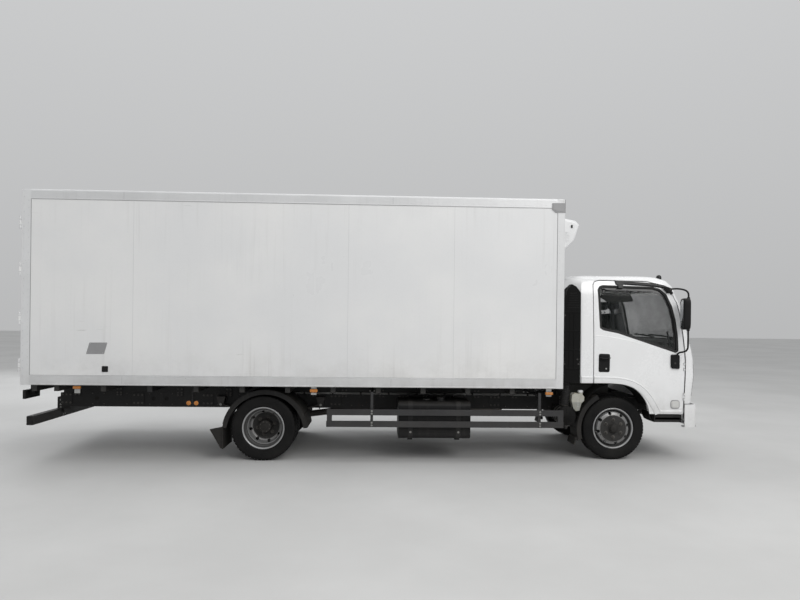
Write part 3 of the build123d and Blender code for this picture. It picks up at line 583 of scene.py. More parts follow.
def painted(name, base, rough=0.35, vary=0.04, dust=0.25, dust_top=1.2, dust_low=0.3, streak=0.05, metal=0.0, coat=0.0, peel=0.06, peel_scale=240.0,
            dirt=DUST, spot=0.0, spot_colour=(0.12, 0.06, 0.03), rough_vary=0.12, up_dust=0.0, brush=None, spec=0.5):
    """Paint, plastic or bare metal with soft colour variation, dust that thickens towards the ground,
    rain streaks, spots of rust or chips, and an uneven gloss."""
    g = Mat(name)
    cloud = g.noise(1.7, 5, 0.6)
    fine = g.noise(38.0, 4, 0.6)
    col = g.mix(g.span(cloud, 0.3, 0.7), tuple(c * (1 - vary) for c in base), tuple(min(1, c * (1 + vary * 0.6)) for c in base))
    col = g.mix(g.span(fine, 0.35, 0.75, 0, vary), col, tuple(c * 0.7 for c in base))
    rgh = g.math("ADD", g.span(cloud, 0.3, 0.7, rough - rough_vary / 2, rough + rough_vary / 2), g.span(fine, 0.3, 0.7, -0.03, 0.03))
    mask = None
    if dust:
        low = g.span(g.z(), dust_low, dust_top, 1.0, 0.0)
        patch = g.span(g.noise(4.0, 7, 0.65), 0.32, 0.68, 0.35, 1.0)
        mask = g.math("MULTIPLY", g.math("MULTIPLY", low, patch), dust)
    if streak:
        lines = g.span(g.noise(1.0, 6, 0.6, g.vec((26, 26, 0.9))), 0.5, 0.78)
        lines = g.math("MULTIPLY", g.math("MULTIPLY", lines, g.span(g.noise(0.9, 3), 0.4, 0.65)), streak)
        mask = lines if mask is None else g.math("ADD", mask, lines, True)
    if up_dust:
        top = g.math("MULTIPLY", g.math("MULTIPLY", g.up(), g.span(g.noise(9.0, 6, 0.7), 0.3, 0.65, 0.4, 1.0)), up_dust)
        mask = top if mask is None else g.math("ADD", mask, top, True)
    if mask is not None:
        col = g.mix(mask, col, dirt)
        rgh = g.math("ADD", rgh, g.math("MULTIPLY", mask, 0.45), True)
    if spot:
        sp = g.span(g.math("MULTIPLY", g.noise(55.0, 6, 0.7), g.noise(3.1, 4, 0.6)), 0.36, 0.46, 0, spot)
        col = g.mix(sp, col, spot_colour)
        rgh = g.math("ADD", rgh, g.math("MULTIPLY", sp, 0.3), True)
    n = None
    if brush:
        n = g.bump(g.noise(1.0, 5, 0.6, g.vec(brush)), 0.35, 0.0004)
    if peel:
        n = g.bump(g.noise(peel_scale, 3, 0.5), peel, 0.0012, n)
    g.set(Base_Color=col, Roughness=rgh, Metallic=metal, Specular_IOR_Level=spec)
    if n is not None:
        g.set(Normal=n)
    if coat:
        g.set(Coat_Weight=coat, Coat_Roughness=0.07)
    return g.m


def grained(name, base, rough=0.55, scale=620.0, depth=0.35, dust=0.25, dust_top=1.2, up_dust=0.25, vary=0.12, spec=0.5, lift=0.01):
    """Moulded plastic with a leather-like grain."""
    g = Mat(name)
    cells = g.voronoi(scale, feature="SMOOTH_F1")
    cloud = g.noise(2.3, 5, 0.6)
    col = g.mix(g.span(cloud, 0.3, 0.7), tuple(c * (1 - vary) for c in base), tuple(c * (1 + vary) for c in base))
    col = g.mix(g.span(cells, 0.2, 0.7, 0.0, 0.25), col, tuple(min(1, c * 1.6 + lift) for c in base))
    mask = g.math("MULTIPLY", g.math("MULTIPLY", g.span(g.z(), 0.3, dust_top, 1.0, 0.12), g.span(g.noise(6.0, 7, 0.65), 0.35, 0.7, 0.25, 1.0)), dust)
    if up_dust:
        mask = g.math("ADD", mask, g.math("MULTIPLY", g.up(), g.span(g.noise(11.0, 6, 0.7), 0.35, 0.7, 0.2 * up_dust, up_dust)), True)
    col = g.mix(mask, col, (0.17, 0.16, 0.15))
    rgh = g.math("ADD", g.span(cloud, 0.3, 0.7, rough - 0.06, rough + 0.08), g.math("MULTIPLY", mask, 0.3), True)
    n = g.bump(cells, depth, 0.0006)
    n = g.bump(g.noise(14.0, 3), 0.05, 0.003, n)
    g.set(Base_Color=col, Roughness=rgh, Normal=n, Specular_IOR_Level=spec)
    return g.m


# white cab paint under clear coat
M_CAB = painted("cab_white", (0.82, 0.825, 0.83), 0.26, 0.02, 0.30, 1.15, 0.55, 0.05, coat=0.6, peel=0.035, peel_scale=160, spot=0.10, rough_vary=0.08)
M_INNER = painted("cab_white_inside", (0.62, 0.625, 0.63), 0.42, 0.05, 0.2, 1.4, 0.8, 0.0, peel=0.05)
# insulated panel: gelcoat, a little wavy
g = Mat("box_panel_white")
cloud = g.noise(0.55, 5, 0.55)
fine = g.noise(30.0, 5, 0.6)
col = g.mix(g.span(cloud, 0.35, 0.65), (0.735, 0.74, 0.745), (0.79, 0.79, 0.785))
col = g.mix(g.span(fine, 0.45, 0.8, 0.0, 0.10), col, (0.62, 0.62, 0.61))
lines = g.math("MULTIPLY", g.span(g.noise(1.0, 6, 0.62, g.vec((18, 18, 0.55))), 0.5, 0.8), g.span(g.noise(0.7, 3), 0.38, 0.62, 0.0, 0.20))
low = g.math("MULTIPLY", g.span(g.z(), 0.95, 1.5, 1.0, 0.0), g.span(g.noise(3.0, 7, 0.7), 0.35, 0.7, 0.05, 0.30))
scuff = g.math("MULTIPLY", g.span(g.noise(1.0, 7, 0.7, g.vec((3.0, 3.0, 40.0))), 0.62, 0.72), g.span(g.noise(1.3, 3), 0.55, 0.68, 0.0, 0.5))
mask = g.math("ADD", g.math("ADD", lines, low, True), scuff, True)
col = g.mix(mask, col, (0.36, 0.35, 0.33))
n = g.bump(g.noise(1.6, 2, 0.4), 0.22, 0.02)
n = g.bump(g.noise(420.0, 3), 0.06, 0.0008, n)
g.set(Base_Color=col, Roughness=g.math("ADD", g.span(cloud, 0.3, 0.7, 0.27, 0.40), g.math("MULTIPLY", mask, 0.4), True), Normal=n, Coat_Weight=0.15, Coat_Roughness=0.15)
M_BOX = g.m
M_LINER = painted("box_lining", (0.70, 0.705, 0.70), 0.38, 0.04, 0.35, 1.6, 1.05, 0.12, peel=0.12, peel_scale=300)
M_RAIL = painted("rail_aluminium", (0.67, 0.675, 0.68), 0.40, 0.05, 0.32, 1.15, 0.9, 0.14, metal=0.28, brush=(2.0, 500, 500), peel=0.03, spot=0.05, spot_colour=(0.2, 0.18, 0.16))
M_ALU = painted("plain_aluminium", (0.62, 0.63, 0.64), 0.34, 0.06, 0.35, 1.2, 0.3, 0.15, metal=0.85, brush=(2.0, 420, 420), peel=0.03)
M_PORTAL = painted("portal_paint", (0.70, 0.705, 0.71), 0.34, 0.04, 0.35, 1.3, 0.8, 0.15, coat=0.2, peel=0.05, spot=0.22)
M_ZINC = painted("zinc_steel", (0.50, 0.50, 0.49), 0.36, 0.14, 0.25, 1.6, 0.3, 0.10, metal=0.85, peel=0.10, peel_scale=420, spot=0.35, spot_colour=(0.20, 0.11, 0.06))
M_BOLT = painted("bolt_steel", (0.30, 0.30, 0.29), 0.40, 0.15, 0.35, 1.2, 0.2, 0.0, metal=0.8, peel=0.1, spot=0.4)
M_DARKBOLT = painted("bolt_black", (0.045, 0.043, 0.04), 0.45, 0.2, 0.40, 1.2, 0.2, 0.0, metal=0.4, peel=0.1, spot=0.35)
M_CHASSIS = painted("chassis_black", (0.008, 0.008, 0.0085), 0.50, 0.2, 0.28, 1.1, 0.1, 0.22, peel=0.10, peel_scale=180, dirt=(0.08, 0.074, 0.067), spot=0.22, up_dust=0.40, spec=0.3)
M_GUARDMETAL = painted("guard_aluminium", (0.052, 0.052, 0.054), 0.50, 0.22, 0.40, 1.0, 0.3, 0.24, metal=0.50, brush=(2.5, 380, 380), peel=0.05, spot=0.12, dirt=(0.090, 0.085, 0.078), spec=0.3)
M_AXLE = painted("axle_iron", (0.055, 0.052, 0.05), 0.60, 0.3, 0.60, 0.9, 0.1, 0.0, metal=0.3, peel=0.45, peel_scale=120, dirt=(0.13, 0.115, 0.10), spot=0.6, spot_colour=(0.14, 0.065, 0.03), up_dust=0.4)
M_ENGINE = painted("engine_iron", (0.115, 0.115, 0.11), 0.52, 0.3, 0.35, 1.1, 0.4, 0.35, metal=0.55, peel=0.5, peel_scale=90, dirt=(0.06, 0.05, 0.04), spot=0.25)
M_EXHAUST = painted("exhaust_steel", (0.30, 0.27, 0.24), 0.46, 0.3, 0.35, 0.8, 0.2, 0.2, metal=0.8, peel=0.2, peel_scale=150, spot=0.8, spot_colour=(0.20, 0.085, 0.035))
M_TANK = painted("tank_paint", (0.008, 0.008, 0.0085), 0.46, 0.2, 0.18, 0.8, 0.2, 0.14, peel=0.08, dirt=(0.060, 0.056, 0.051), spot=0.2, up_dust=0.35, spec=0.2)
M_BATTERY = grained("battery_cover", (0.014, 0.014, 0.0145), 0.5, 380, 0.5, 0.40, 0.9, 0.4, 0.12, 0.25, 0.005)
M_PLASTIC = grained("black_plastic", (0.0075, 0.0075, 0.0080), 0.46, 700, 0.35, 0.14, 1.1, 0.16, 0.12, 0.16, 0.003)
M_SATIN = painted("satin_black", (0.009, 0.009, 0.0095), 0.30, 0.2, 0.12, 1.0, 0.3, 0.0, peel=0.05, up_dust=0.14, spec=0.28)
M_SEAL = painted("rubber_seal", (0.016, 0.016, 0.016), 0.62, 0.2, 0.30, 1.2, 0.3, 0.0, peel=0.25, peel_scale=500, dirt=(0.11, 0.105, 0.10), spec=0.35)
M_FLAP = painted("mudguard_plastic", (0.009, 0.009, 0.009), 0.62, 0.25, 0.32, 1.0, 0.1, 0.25, peel=0.3, peel_scale=160, dirt=(0.095, 0.087, 0.078), spec=0.22, up_dust=0.35)
M_UNIT = painted("unit_plastic_white", (0.77, 0.775, 0.78), 0.36, 0.03, 0.0, 1.0, 0.0, 0.22, peel=0.10, peel_scale=330, coat=0.15, up_dust=0.12)
M_JOINT = painted("joint_filler", (0.60, 0.605, 0.61), 0.50, 0.04, 0.25, 1.3, 0.8, 0.12, peel=0.06, spec=0.3)
M_GREY = painted("grey_trim", (0.30, 0.30, 0.305), 0.45, 0.1, 0.1, 1.2, 0.5, 0.12, peel=0.15)
M_WHITEPLASTIC = painted("white_plastic", (0.72, 0.725, 0.73), 0.34, 0.04, 0.2, 1.1, 0.4, 0.1, peel=0.06)
# painted shade: a near-black colour put in slots, holes, recessed pans, grille backings and shut lines, where shade
# falls
M_RECESS_SHADE = painted("recess_shade", (0.010, 0.010, 0.010), 0.75, 0.2, 0.15, 1.1, 0.3, 0.0, peel=0.2, spec=0.2)
M_PLATE = painted("blank_plate", (0.66, 0.66, 0.65), 0.35, 0.04, 0.35, 1.0, 0.4, 0.1, peel=0.03)
M_FIN = painted("fin_aluminium", (0.20, 0.20, 0.20), 0.45, 0.2, 0.2, 3.5, 2.0, 0.1, metal=0.8, brush=(2, 900, 2), peel=0.1)

# tyre rubber: speckled dust, heavier towards the ground
g = Mat("tyre_rubber")
cloud = g.noise(7.0, 6, 0.6)
grit = g.noise(120.0, 5, 0.65)
col = g.mix(g.span(cloud, 0.35, 0.65), (0.0050, 0.0050, 0.0052), (0.009, 0.0088, 0.0086))
mask = g.math("ADD", g.span(grit, 0.48, 0.75, 0.0, 0.17), g.span(g.noise(2.5, 5), 0.45, 0.7, 0.0, 0.17), True)
mask = g.math("MULTIPLY", mask, g.span(g.z(), 0.0, 0.9, 0.50, 0.18))
col = g.mix(mask, col, (0.085, 0.079, 0.072))
n = g.bump(g.noise(260.0, 4, 0.6), 0.25, 0.0012)
g.set(Base_Color=col, Roughness=g.span(g.math("ADD", cloud, mask), 0.3, 1.2, 0.62, 0.92), Normal=n, Specular_IOR_Level=0.15)
M_TYRE = g.m

# silver wheel paint with speckled brake dust; the dish darkens towards a dark centre plate that is partly dirt and
# partly painted shade, and a band of painted shade lies in the barrel's trough
g = Mat("rim_silver")
cloud = g.noise(9.0, 6, 0.65)
grit = g.noise(150.0, 5, 0.7)
col = g.mix(g.span(cloud, 0.35, 0.7), (0.34, 0.343, 0.346), (0.44, 0.443, 0.446))
mask = g.math("ADD", g.span(grit, 0.5, 0.72, 0.0, 0.35), g.span(cloud, 0.45, 0.75, 0.0, 0.40), True)
col = g.mix(mask, col, (0.10, 0.085, 0.07))
rust = g.span(g.math("MULTIPLY", g.noise(42.0, 6, 0.7), g.noise(5.0, 3)), 0.34, 0.42, 0.0, 0.7)
col = g.mix(rust, col, (0.17, 0.08, 0.04))
n = g.bump(g.noise(180.0, 3), 0.12, 0.0008)
def radius_from(g, cx):
    dx = g.math("SUBTRACT", g.xyz(0), cx)
    dz = g.math("SUBTRACT", g.z(), 0.4055)
    return g.math("SQRT", g.math("ADD", g.math("MULTIPLY", dx, dx), g.math("MULTIPLY", dz, dz)))
rad = g.math("MINIMUM", radius_from(g, SX), radius_from(g, SX - 4.475))
# dark centre plate inside 170 mm: partly dirt, partly painted shade
plate = g.span(g.math("ADD", rad, g.span(cloud, 0.3, 0.7, -0.002, 0.002)), 0.168, 0.172, 1.0, 0.0)
# painted shade: a dark band in the barrel's trough, between 216 and 246 mm
trough_shade = g.math("MULTIPLY", g.span(rad, 0.2145, 0.2185), g.span(rad, 0.243, 0.2465, 1.0, 0.0))
dark = g.math("MAXIMUM", plate, g.math("MULTIPLY", trough_shade, 0.9))
# the dish darkens towards the centre plate
col = g.mix(g.math("MULTIPLY", g.span(rad, 0.172, 0.216, 1.0, 0.25), g.span(rad, 0.216, 0.222, 0.55, 0.0)), col, (0.085, 0.078, 0.070))
col = g.mix(dark, col, g.mix(g.span(grit, 0.4, 0.7), (0.014, 0.0135, 0.013), (0.032, 0.029, 0.026)))
g.set(Base_Color=col, Roughness=g.math("ADD", g.span(cloud, 0.3, 0.7, 0.34, 0.5), g.math("MULTIPLY", g.math("MAXIMUM", mask, dark), 0.3), True), Metallic=g.math("MULTIPLY", g.math("SUBTRACT", 1.0, dark), 0.5), Normal=n)
M_RIM = g.m
M_HUB = painted("hub_black", (0.020, 0.019, 0.018), 0.52, 0.25, 0.28, 0.9, 0.1, 0.0, metal=0.35, peel=0.2, peel_scale=150, dirt=(0.075, 0.068, 0.060), spot=0.45, spec=0.3)
M_DRUM = painted("brake_iron", (0.085, 0.07, 0.06), 0.62, 0.3, 0.4, 0.9, 0.1, 0.0, metal=0.5, peel=0.3, peel_scale=120, spot=0.9, spot_colour=(0.16, 0.07, 0.03))

# tinted glass: mostly see-through, less so at a grazing angle, with dust low down
g = Mat("cab_glass")
lw = g.new("ShaderNodeLayerWeight")
lw.inputs["Blend"].default_value = 0.25
film = g.span(g.noise(3.0, 6, 0.7), 0.35, 0.75, 0.0, 0.10)
wipe = g.math("MULTIPLY", g.span(g.z(), 1.45, 1.75, 1.0, 0.0), g.span(g.noise(12.0, 6, 0.7), 0.4, 0.7, 0.02, 0.14))
alpha = g.math("ADD", g.span(lw.outputs["Facing"], 0.0, 1.0, 0.13, 0.92), g.math("ADD", film, wipe), True)
col = g.mix(g.math("ADD", film, wipe, True), (0.012, 0.017, 0.016), (0.34, 0.34, 0.33))
g.set(Base_Color=col, Roughness=g.span(g.noise(4.0, 5), 0.3, 0.7, 0.02, 0.06), Alpha=alpha, Specular_IOR_Level=0.36, IOR=1.5,
      Normal=g.bump(g.noise(2.2, 2), 0.05, 0.004))
M_GLASS = g.m


def lens(name, colour, alpha, ribs=(0, 260, 0), rough=0.06):
    g = Mat(name)
    wave = g.noise(1.0, 2, 0.4, g.vec(ribs))
    film = g.span(g.noise(20.0, 6, 0.7), 0.4, 0.75, 0.0, 0.12)
    lwn = g.new("ShaderNodeLayerWeight")
    lwn.inputs["Blend"].default_value = 0.3
    g.set(Base_Color=g.mix(film, colour, (0.35, 0.34, 0.32)), Roughness=g.span(g.noise(6.0, 4), 0.3, 0.7, rough, rough + 0.08),
          Alpha=g.math("ADD", g.span(lwn.outputs["Facing"], 0.0, 1.0, alpha, 0.95), film, True), Normal=g.bump(wave, 0.18, 0.001), Coat_Weight=0.5, Coat_Roughness=0.05)
    return g.m


M_CLEAR = lens("lens_clear", (0.55, 0.56, 0.57), 0.16)
M_AMBER = lens("lens_amber", (0.62, 0.22, 0.03), 0.75, (300, 300, 300))
M_RED = lens("lens_red", (0.42, 0.018, 0.014), 0.80, (300, 300, 300))
M_WHITELENS = lens("lens_white", (0.70, 0.70, 0.68), 0.75, (300, 300, 300))
g = Mat("reflector_chrome")
g.set(Base_Color=g.mix(g.span(g.noise(8.0, 4), 0.3, 0.7), (0.72, 0.73, 0.74), (0.82, 0.83, 0.84)), Metallic=1.0, Roughness=g.span(g.noise(30.0, 4), 0.3, 0.7, 0.08, 0.20),
      Normal=g.bump(g.noise(90.0, 2), 0.1, 0.001))
M_CHROME = g.m
g = Mat("mirror_glass")
g.set(Base_Color=g.mix(g.span(g.noise(5.0, 6, 0.7), 0.35, 0.7, 0.0, 0.2), (0.46, 0.475, 0.49), (0.24, 0.24, 0.24)), Metallic=1.0, Roughness=g.span(g.noise(7.0, 5), 0.35, 0.7, 0.03, 0.16))
M_MIRROR = g.m

# milky bottle plastic with liquid in its lower part
g = Mat("bottle_milky")
level = g.span(g.z(), 0.742, 0.752)
stain = g.span(g.noise(16.0, 6, 0.7), 0.4, 0.72, 0.0, 0.35)
col = g.mix(level, (0.27, 0.275, 0.25), (0.42, 0.415, 0.37))
col = g.mix(stain, col, (0.30, 0.27, 0.21))
g.set(Base_Color=col, Roughness=g.span(g.noise(9.0, 4), 0.3, 0.7, 0.32, 0.5), Subsurface_Weight=0.25, Subsurface_Radius=(0.02, 0.018, 0.012), Subsurface_Scale=0.5,
      Normal=g.bump(g.noise(140.0, 3), 0.12, 0.001))
M_BOTTLE = g.m

# seat fabric: a fine woven cloth with a small raised dot pattern
g = Mat("seat_weave")
wx = g.new("ShaderNodeTexWave", wave_type="BANDS", bands_direction="Y")
g.t.links.new(g.vec(), wx.inputs["Vector"])
wx.inputs["Scale"].default_value = 210.0
wx.inputs["Distortion"].default_value = 0.6
wz = g.new("ShaderNodeTexWave", wave_type="BANDS", bands_direction="DIAGONAL")
g.t.links.new(g.vec((1, 0.0, 1)), wz.inputs["Vector"])
wz.inputs["Scale"].default_value = 210.0
wz.inputs["Distortion"].default_value = 0.6
weave = g.math("MULTIPLY", wx.outputs["Fac"], wz.outputs["Fac"])
dots = g.span(g.voronoi(36.0), 0.10, 0.22, 1.0, 0.0)
cloud = g.noise(6.0, 5, 0.6)
col = g.mix(g.span(cloud, 0.3, 0.7), (0.050, 0.052, 0.056), (0.075, 0.077, 0.082))
col = g.mix(g.span(weave, 0.2, 0.9, 0.0, 0.55), col, (0.12, 0.122, 0.128))
col = g.mix(g.math("MULTIPLY", dots, 0.4), col, (0.26, 0.26, 0.27))
n = g.bump(weave, 0.45, 0.0010)
n = g.bump(g.noise(300.0, 4, 0.7), 0.25, 0.0010, n)
g.set(Base_Color=col, Roughness=g.span(cloud, 0.3, 0.7, 0.82, 0.95), Normal=n, Sheen_Weight=0.35, Sheen_Roughness=0.4)
M_SEAT = g.m
M_VINYL = grained("seat_bolster", (0.030, 0.031, 0.033), 0.58, 420, 0.4, 0.0, 1.0, 0.06)
M_DASH = grained("dash_plastic", (0.050, 0.051, 0.053), 0.60, 520, 0.4, 0.0, 1.0, 0.28)
M_LIGHTPLASTIC = grained("inner_trim", (0.26, 0.26, 0.255), 0.60, 520, 0.35, 0.05, 1.4, 0.10)
M_CARPET = painted("floor_mat", (0.030, 0.030, 0.030), 0.88, 0.2, 0.6, 1.4, 1.0, 0.0, peel=0.9, peel_scale=260, dirt=(0.16, 0.15, 0.13), spec=0.2, up_dust=0.3)
M_LEATHER = grained("wheel_grip", (0.022, 0.022, 0.023), 0.48, 900, 0.45, 0.0, 1.0, 0.05)
# phenolic floor with a mesh print, and the steel bearers under it
g = Mat("box_floor_ply")
cells = g.voronoi(240.0)
cloud = g.noise(2.0, 6, 0.65)
wear = g.math("MULTIPLY", g.span(g.noise(1.0, 6, 0.6, g.vec((1.2, 7.0, 1.0))), 0.42, 0.7), 0.55)
col = g.mix(g.span(cloud, 0.3, 0.7), (0.085, 0.055, 0.038), (0.125, 0.085, 0.06))
col = g.mix(wear, col, (0.24, 0.22, 0.20))
under = g.span(g.z(), 1.040, 1.046)
col = g.mix(under, g.mix(g.span(cloud, 0.3, 0.7), (0.010, 0.010, 0.0105), (0.030, 0.028, 0.025)), col)
g.set(Base_Color=col, Roughness=g.span(cloud, 0.3, 0.7, 0.48, 0.7), Normal=g.bump(cells, 0.5, 0.001))
M_FLOOR = g.m
M_FRIT = painted("glass_print", (0.010, 0.010, 0.011), 0.22, 0.15, 0.05, 2.4, 1.4, 0.0, peel=0.02)
M_BLIND = painted("blind_cloth", (0.012, 0.012, 0.012), 0.85, 0.2, 0.1, 2.4, 1.9, 0.0, peel=0.9, peel_scale=900, spec=0.2)
M_BELT = painted("belt_web", (0.030, 0.031, 0.033), 0.75, 0.2, 0.1, 2.2, 1.0, 0.0, peel=0.9, peel_scale=1200, spec=0.25)
M_LINING = painted("cab_headliner", (0.40, 0.39, 0.375), 0.80, 0.05, 0.05, 2.4, 1.2, 0.0, peel=0.8, peel_scale=700, spec=0.2)
M_DIAL = painted("dial_face", (0.012, 0.012, 0.013), 0.35, 0.15, 0.05, 2.0, 1.2, 0.0, peel=0.02)
M_MARK = painted("dial_marks", (0.62, 0.62, 0.60), 0.5, 0.05, 0.0, 2.0, 1.2, 0.0, peel=0.02)
M_DUCT = painted("duct_plastic", (0.0045, 0.0045, 0.0045), 0.58, 0.2, 0.22, 1.1, 0.3, 0.12, peel=0.2, peel_scale=200, dirt=(0.05, 0.047, 0.043), spec=0.12, up_dust=0.2)


# ------------------------------------------------------------------ camera, floor and light
def camera():
    yaw, roll = 0.038, 0.0116
    f = Vector((math.sin(yaw), math.cos(yaw), 0.0))
    r = Vector((math.cos(yaw), -math.sin(yaw), 0.0))
    u = Vector((0.0, 0.0, 1.0))
    x = r * math.cos(roll) + u * math.sin(roll)
    y = u * math.cos(roll) - r * math.sin(roll)
    z = -f
    cam = bpy.data.cameras.new("camera")
    cam.lens = 27.9
    cam.sensor_width = 36.0
    cam.shift_y = 0.02625
    cam.clip_end = 400.0
    cam.dof.use_dof = False
    o = bpy.data.objects.new("camera", cam)
    m = Matrix.Identity(4)
    for i in range(3):
        m[i][0], m[i][1], m[i][2] = x[i], y[i], z[i]
    m[0][3], m[1][3], m[2][3] = 0.0768, -8.8527, 1.7634
    o.matrix_world = m
    bpy.context.scene.collection.objects.link(o)
    bpy.context.scene.camera = o


camera()
bpy.context.scene.view_settings.view_transform = "Standard"
bpy.context.scene.view_settings.look = "None"

g = Mat("pale_floor")
cloud = g.noise(0.35, 5, 0.6)
grit = g.noise(90.0, 5, 0.7)
col = g.mix(g.span(cloud, 0.3, 0.7), (0.50, 0.50, 0.495), (0.56, 0.56, 0.555))
col = g.mix(g.span(grit, 0.4, 0.75, 0.0, 0.10), col, (0.40, 0.40, 0.39))
g.set(Base_Color=col, Roughness=g.span(grit, 0.3, 0.7, 0.72, 0.88), Normal=g.bump(g.noise(200.0, 4, 0.7), 0.2, 0.001), Specular_IOR_Level=0.3)
M_GROUND = g.m


def stage():
    me = bpy.data.meshes.new("floor")
    s = 70.0
    n = 8
    verts = [(-s + 2 * s * i / n, -s + 2 * s * j / n, 0.0) for j in range(n + 1) for i in range(n + 1)]
    faces = [(j * (n + 1) + i, j * (n + 1) + i + 1, (j + 1) * (n + 1) + i + 1, (j + 1) * (n + 1) + i) for j in range(n) for i in range(n)]
    me.from_pydata(verts, [], faces)
    me.materials.append(M_GROUND)
    o = bpy.data.objects.new("floor", me)
    bpy.context.scene.collection.objects.link(o)
    w = bpy.data.worlds.new("soft_sky")
    w.use_nodes = True
    t = w.node_tree
    t.nodes.clear()
    out = t.nodes.new("ShaderNodeOutputWorld")
    bg = t.nodes.new("ShaderNodeBackground")
    tc = t.nodes.new("ShaderNodeTexCoord")
    sep = t.nodes.new("ShaderNodeSeparateXYZ")
    mr = t.nodes.new("ShaderNodeMapRange")
    mr.inputs["From Min"].default_value = -0.05
    mr.inputs["From Max"].default_value = 0.8
    mix = t.nodes.new("ShaderNodeMix")
    mix.data_type = "RGBA"
    mix.inputs[6].default_value = (0.66, 0.665, 0.67, 1.0)
    mix.inputs[7].default_value = (0.95, 0.96, 0.97, 1.0)
    t.links.new(tc.outputs["Generated"], sep.inputs[0])
    t.links.new(sep.outputs[2], mr.inputs["Value"])
    t.links.new(mr.outputs[0], mix.inputs["Factor"])
    t.links.new(mix.outputs[2], bg.inputs["Color"])
    bg.inputs["Strength"].default_value = 0.72
    t.links.new(bg.outputs[0], out.inputs[0])
    bpy.context.scene.world = w

    def area(name, at, look, size, power, colour=(1, 1, 1), size_y=None):
        li = bpy.data.lights.new(name, "AREA")
        li.shape = "RECTANGLE"
        li.size = size
        li.size_y = size_y or size
        li.energy = power
        li.color = colour
        ob = bpy.data.objects.new(name, li)
        ob.location = at
        ob.rotation_euler = (Vector(look) - Vector(at)).to_track_quat("-Z", "Y").to_euler()
        bpy.context.scene.collection.objects.link(ob)

    area("key", (7.0, -12.0, 10.5), (0.5, 0.0, 1.4), 9.0, 1050.0, (1.0, 0.99, 0.975))
    area("top", (-1.0, 1.0, 12.0), (-0.5, 0.0, 0.0), 12.0, 520.0)
    area("back", (-9.0, 11.0, 8.0), (0.0, 0.0, 1.5), 7.0, 420.0, (0.97, 0.985, 1.0))


stage()


# ------------------------------------------------------------------ tyres and wheels
HUB = 405.5
XR = -4475.0


def tyre_mesh(mesh, x, centre, side, drive=False, turn=0.0):
    """A tyre with four zigzag grooves, shoulder slots and rings on its sides. Closed all round."""
    pitches = 54 if drive else 60
    steps = [0.0, 0.03, 0.20, 0.23, 0.5, 0.76]
    wall = [(88, 262.5), (97.5, 264), (101.5, 269), (103.5, 275), (108, 280), (108.8, 286), (107.6, 289), (110.2, 306), (112, 326), (112.9, 342), (112.3, 356), (113.2, 358), (113.2, 361), (111.7, 363),
            (110.5, 372), (107.5, 383)]
    # stations across the tread: (place, depth class) 0 = land, 1 = groove floor
    lands = [(-92, 0), (-80, 0), (-63, 0), (-57, 0), (-54, 1), (-47, 1), (-44, 0), (-30, 0), (-22, 0), (-19, 1), (-13, 1), (-10, 0), (0, 0),
             (10, 0), (13, 1), (19, 1), (22, 0), (30, 0), (44, 0), (47, 1), (54, 1), (57, 0), (63, 0), (80, 0), (92, 0)]
    rows = []
    for k in range(pitches):
        for f in steps:
            a = turn + 2 * math.pi * (k + f) / pitches
            tri = abs(((f + 0.25) % 1.0) - 0.5) * 4 - 1        # -1..1
            slot = 0.02 < f < 0.22
            prof = []
            for s, r in wall:
                prof.append((s, r))
            # shoulder
            cut = 9.0 if slot else 0.0
            prof.append((104.0 - (2.5 if slot else 0), 392.5 - cut * 0.5))
            prof.append((98.5 - (2.0 if slot else 0), 399.5 - cut))
            for s, kind in reversed(lands):
                r = 405.4 - 3.0 * (s / 92.0) ** 2
                ss = s
                if 9 < abs(s) < 60:
                    ss = s + tri * (3.2 if abs(s) > 40 else -3.2)
                if kind:
                    r -= 13.0
                elif slot and abs(s) >= 63:
                    r -= 9.0
                elif drive and slot and (abs(s) >= 57 or 22 <= abs(s) <= 44):
                    r -= 7.0
                elif slot and abs(s) in (30,):
                    r -= 1.6
                prof.append((ss, r))
            prof.append((-98.5 + (2.0 if slot else 0), 399.5 - cut))
            prof.append((-104.0 + (2.5 if slot else 0), 392.5 - cut * 0.5))
            for s, r in reversed(wall):
                prof.append((-s, r))
            prof.append((-84, 249.5))
            prof.append((84, 249.5))
            rows.append([(x + r * math.cos(a), side * (centre + s), HUB + r * math.sin(a)) for s, r in prof])
    mesh.grid(rows, loop_u=True, loop_v=True, flip=side > 0)


def ring_nuts(mesh, x, s, side, count, radius, start, r=15.5, h=22.0, mat=0, stud=14.0, stud_mat=None, washer=True):
    for k in range(count):
        a = math.radians(start + 360.0 * k / count)
        at = (x + radius * math.cos(a), side * s, HUB + radius * math.sin(a))
        n = (0, side, 0)
        mesh.bolt(at, n, r, h, washer, mat, a)
        if stud:
            mesh.spin([(r * 0.56, h - 1), (r * 0.56, h + stud - 2), (r * 0.44, h + stud), (0, h + stud)], at, n, 12, mat if stud_mat is None else stud_mat)


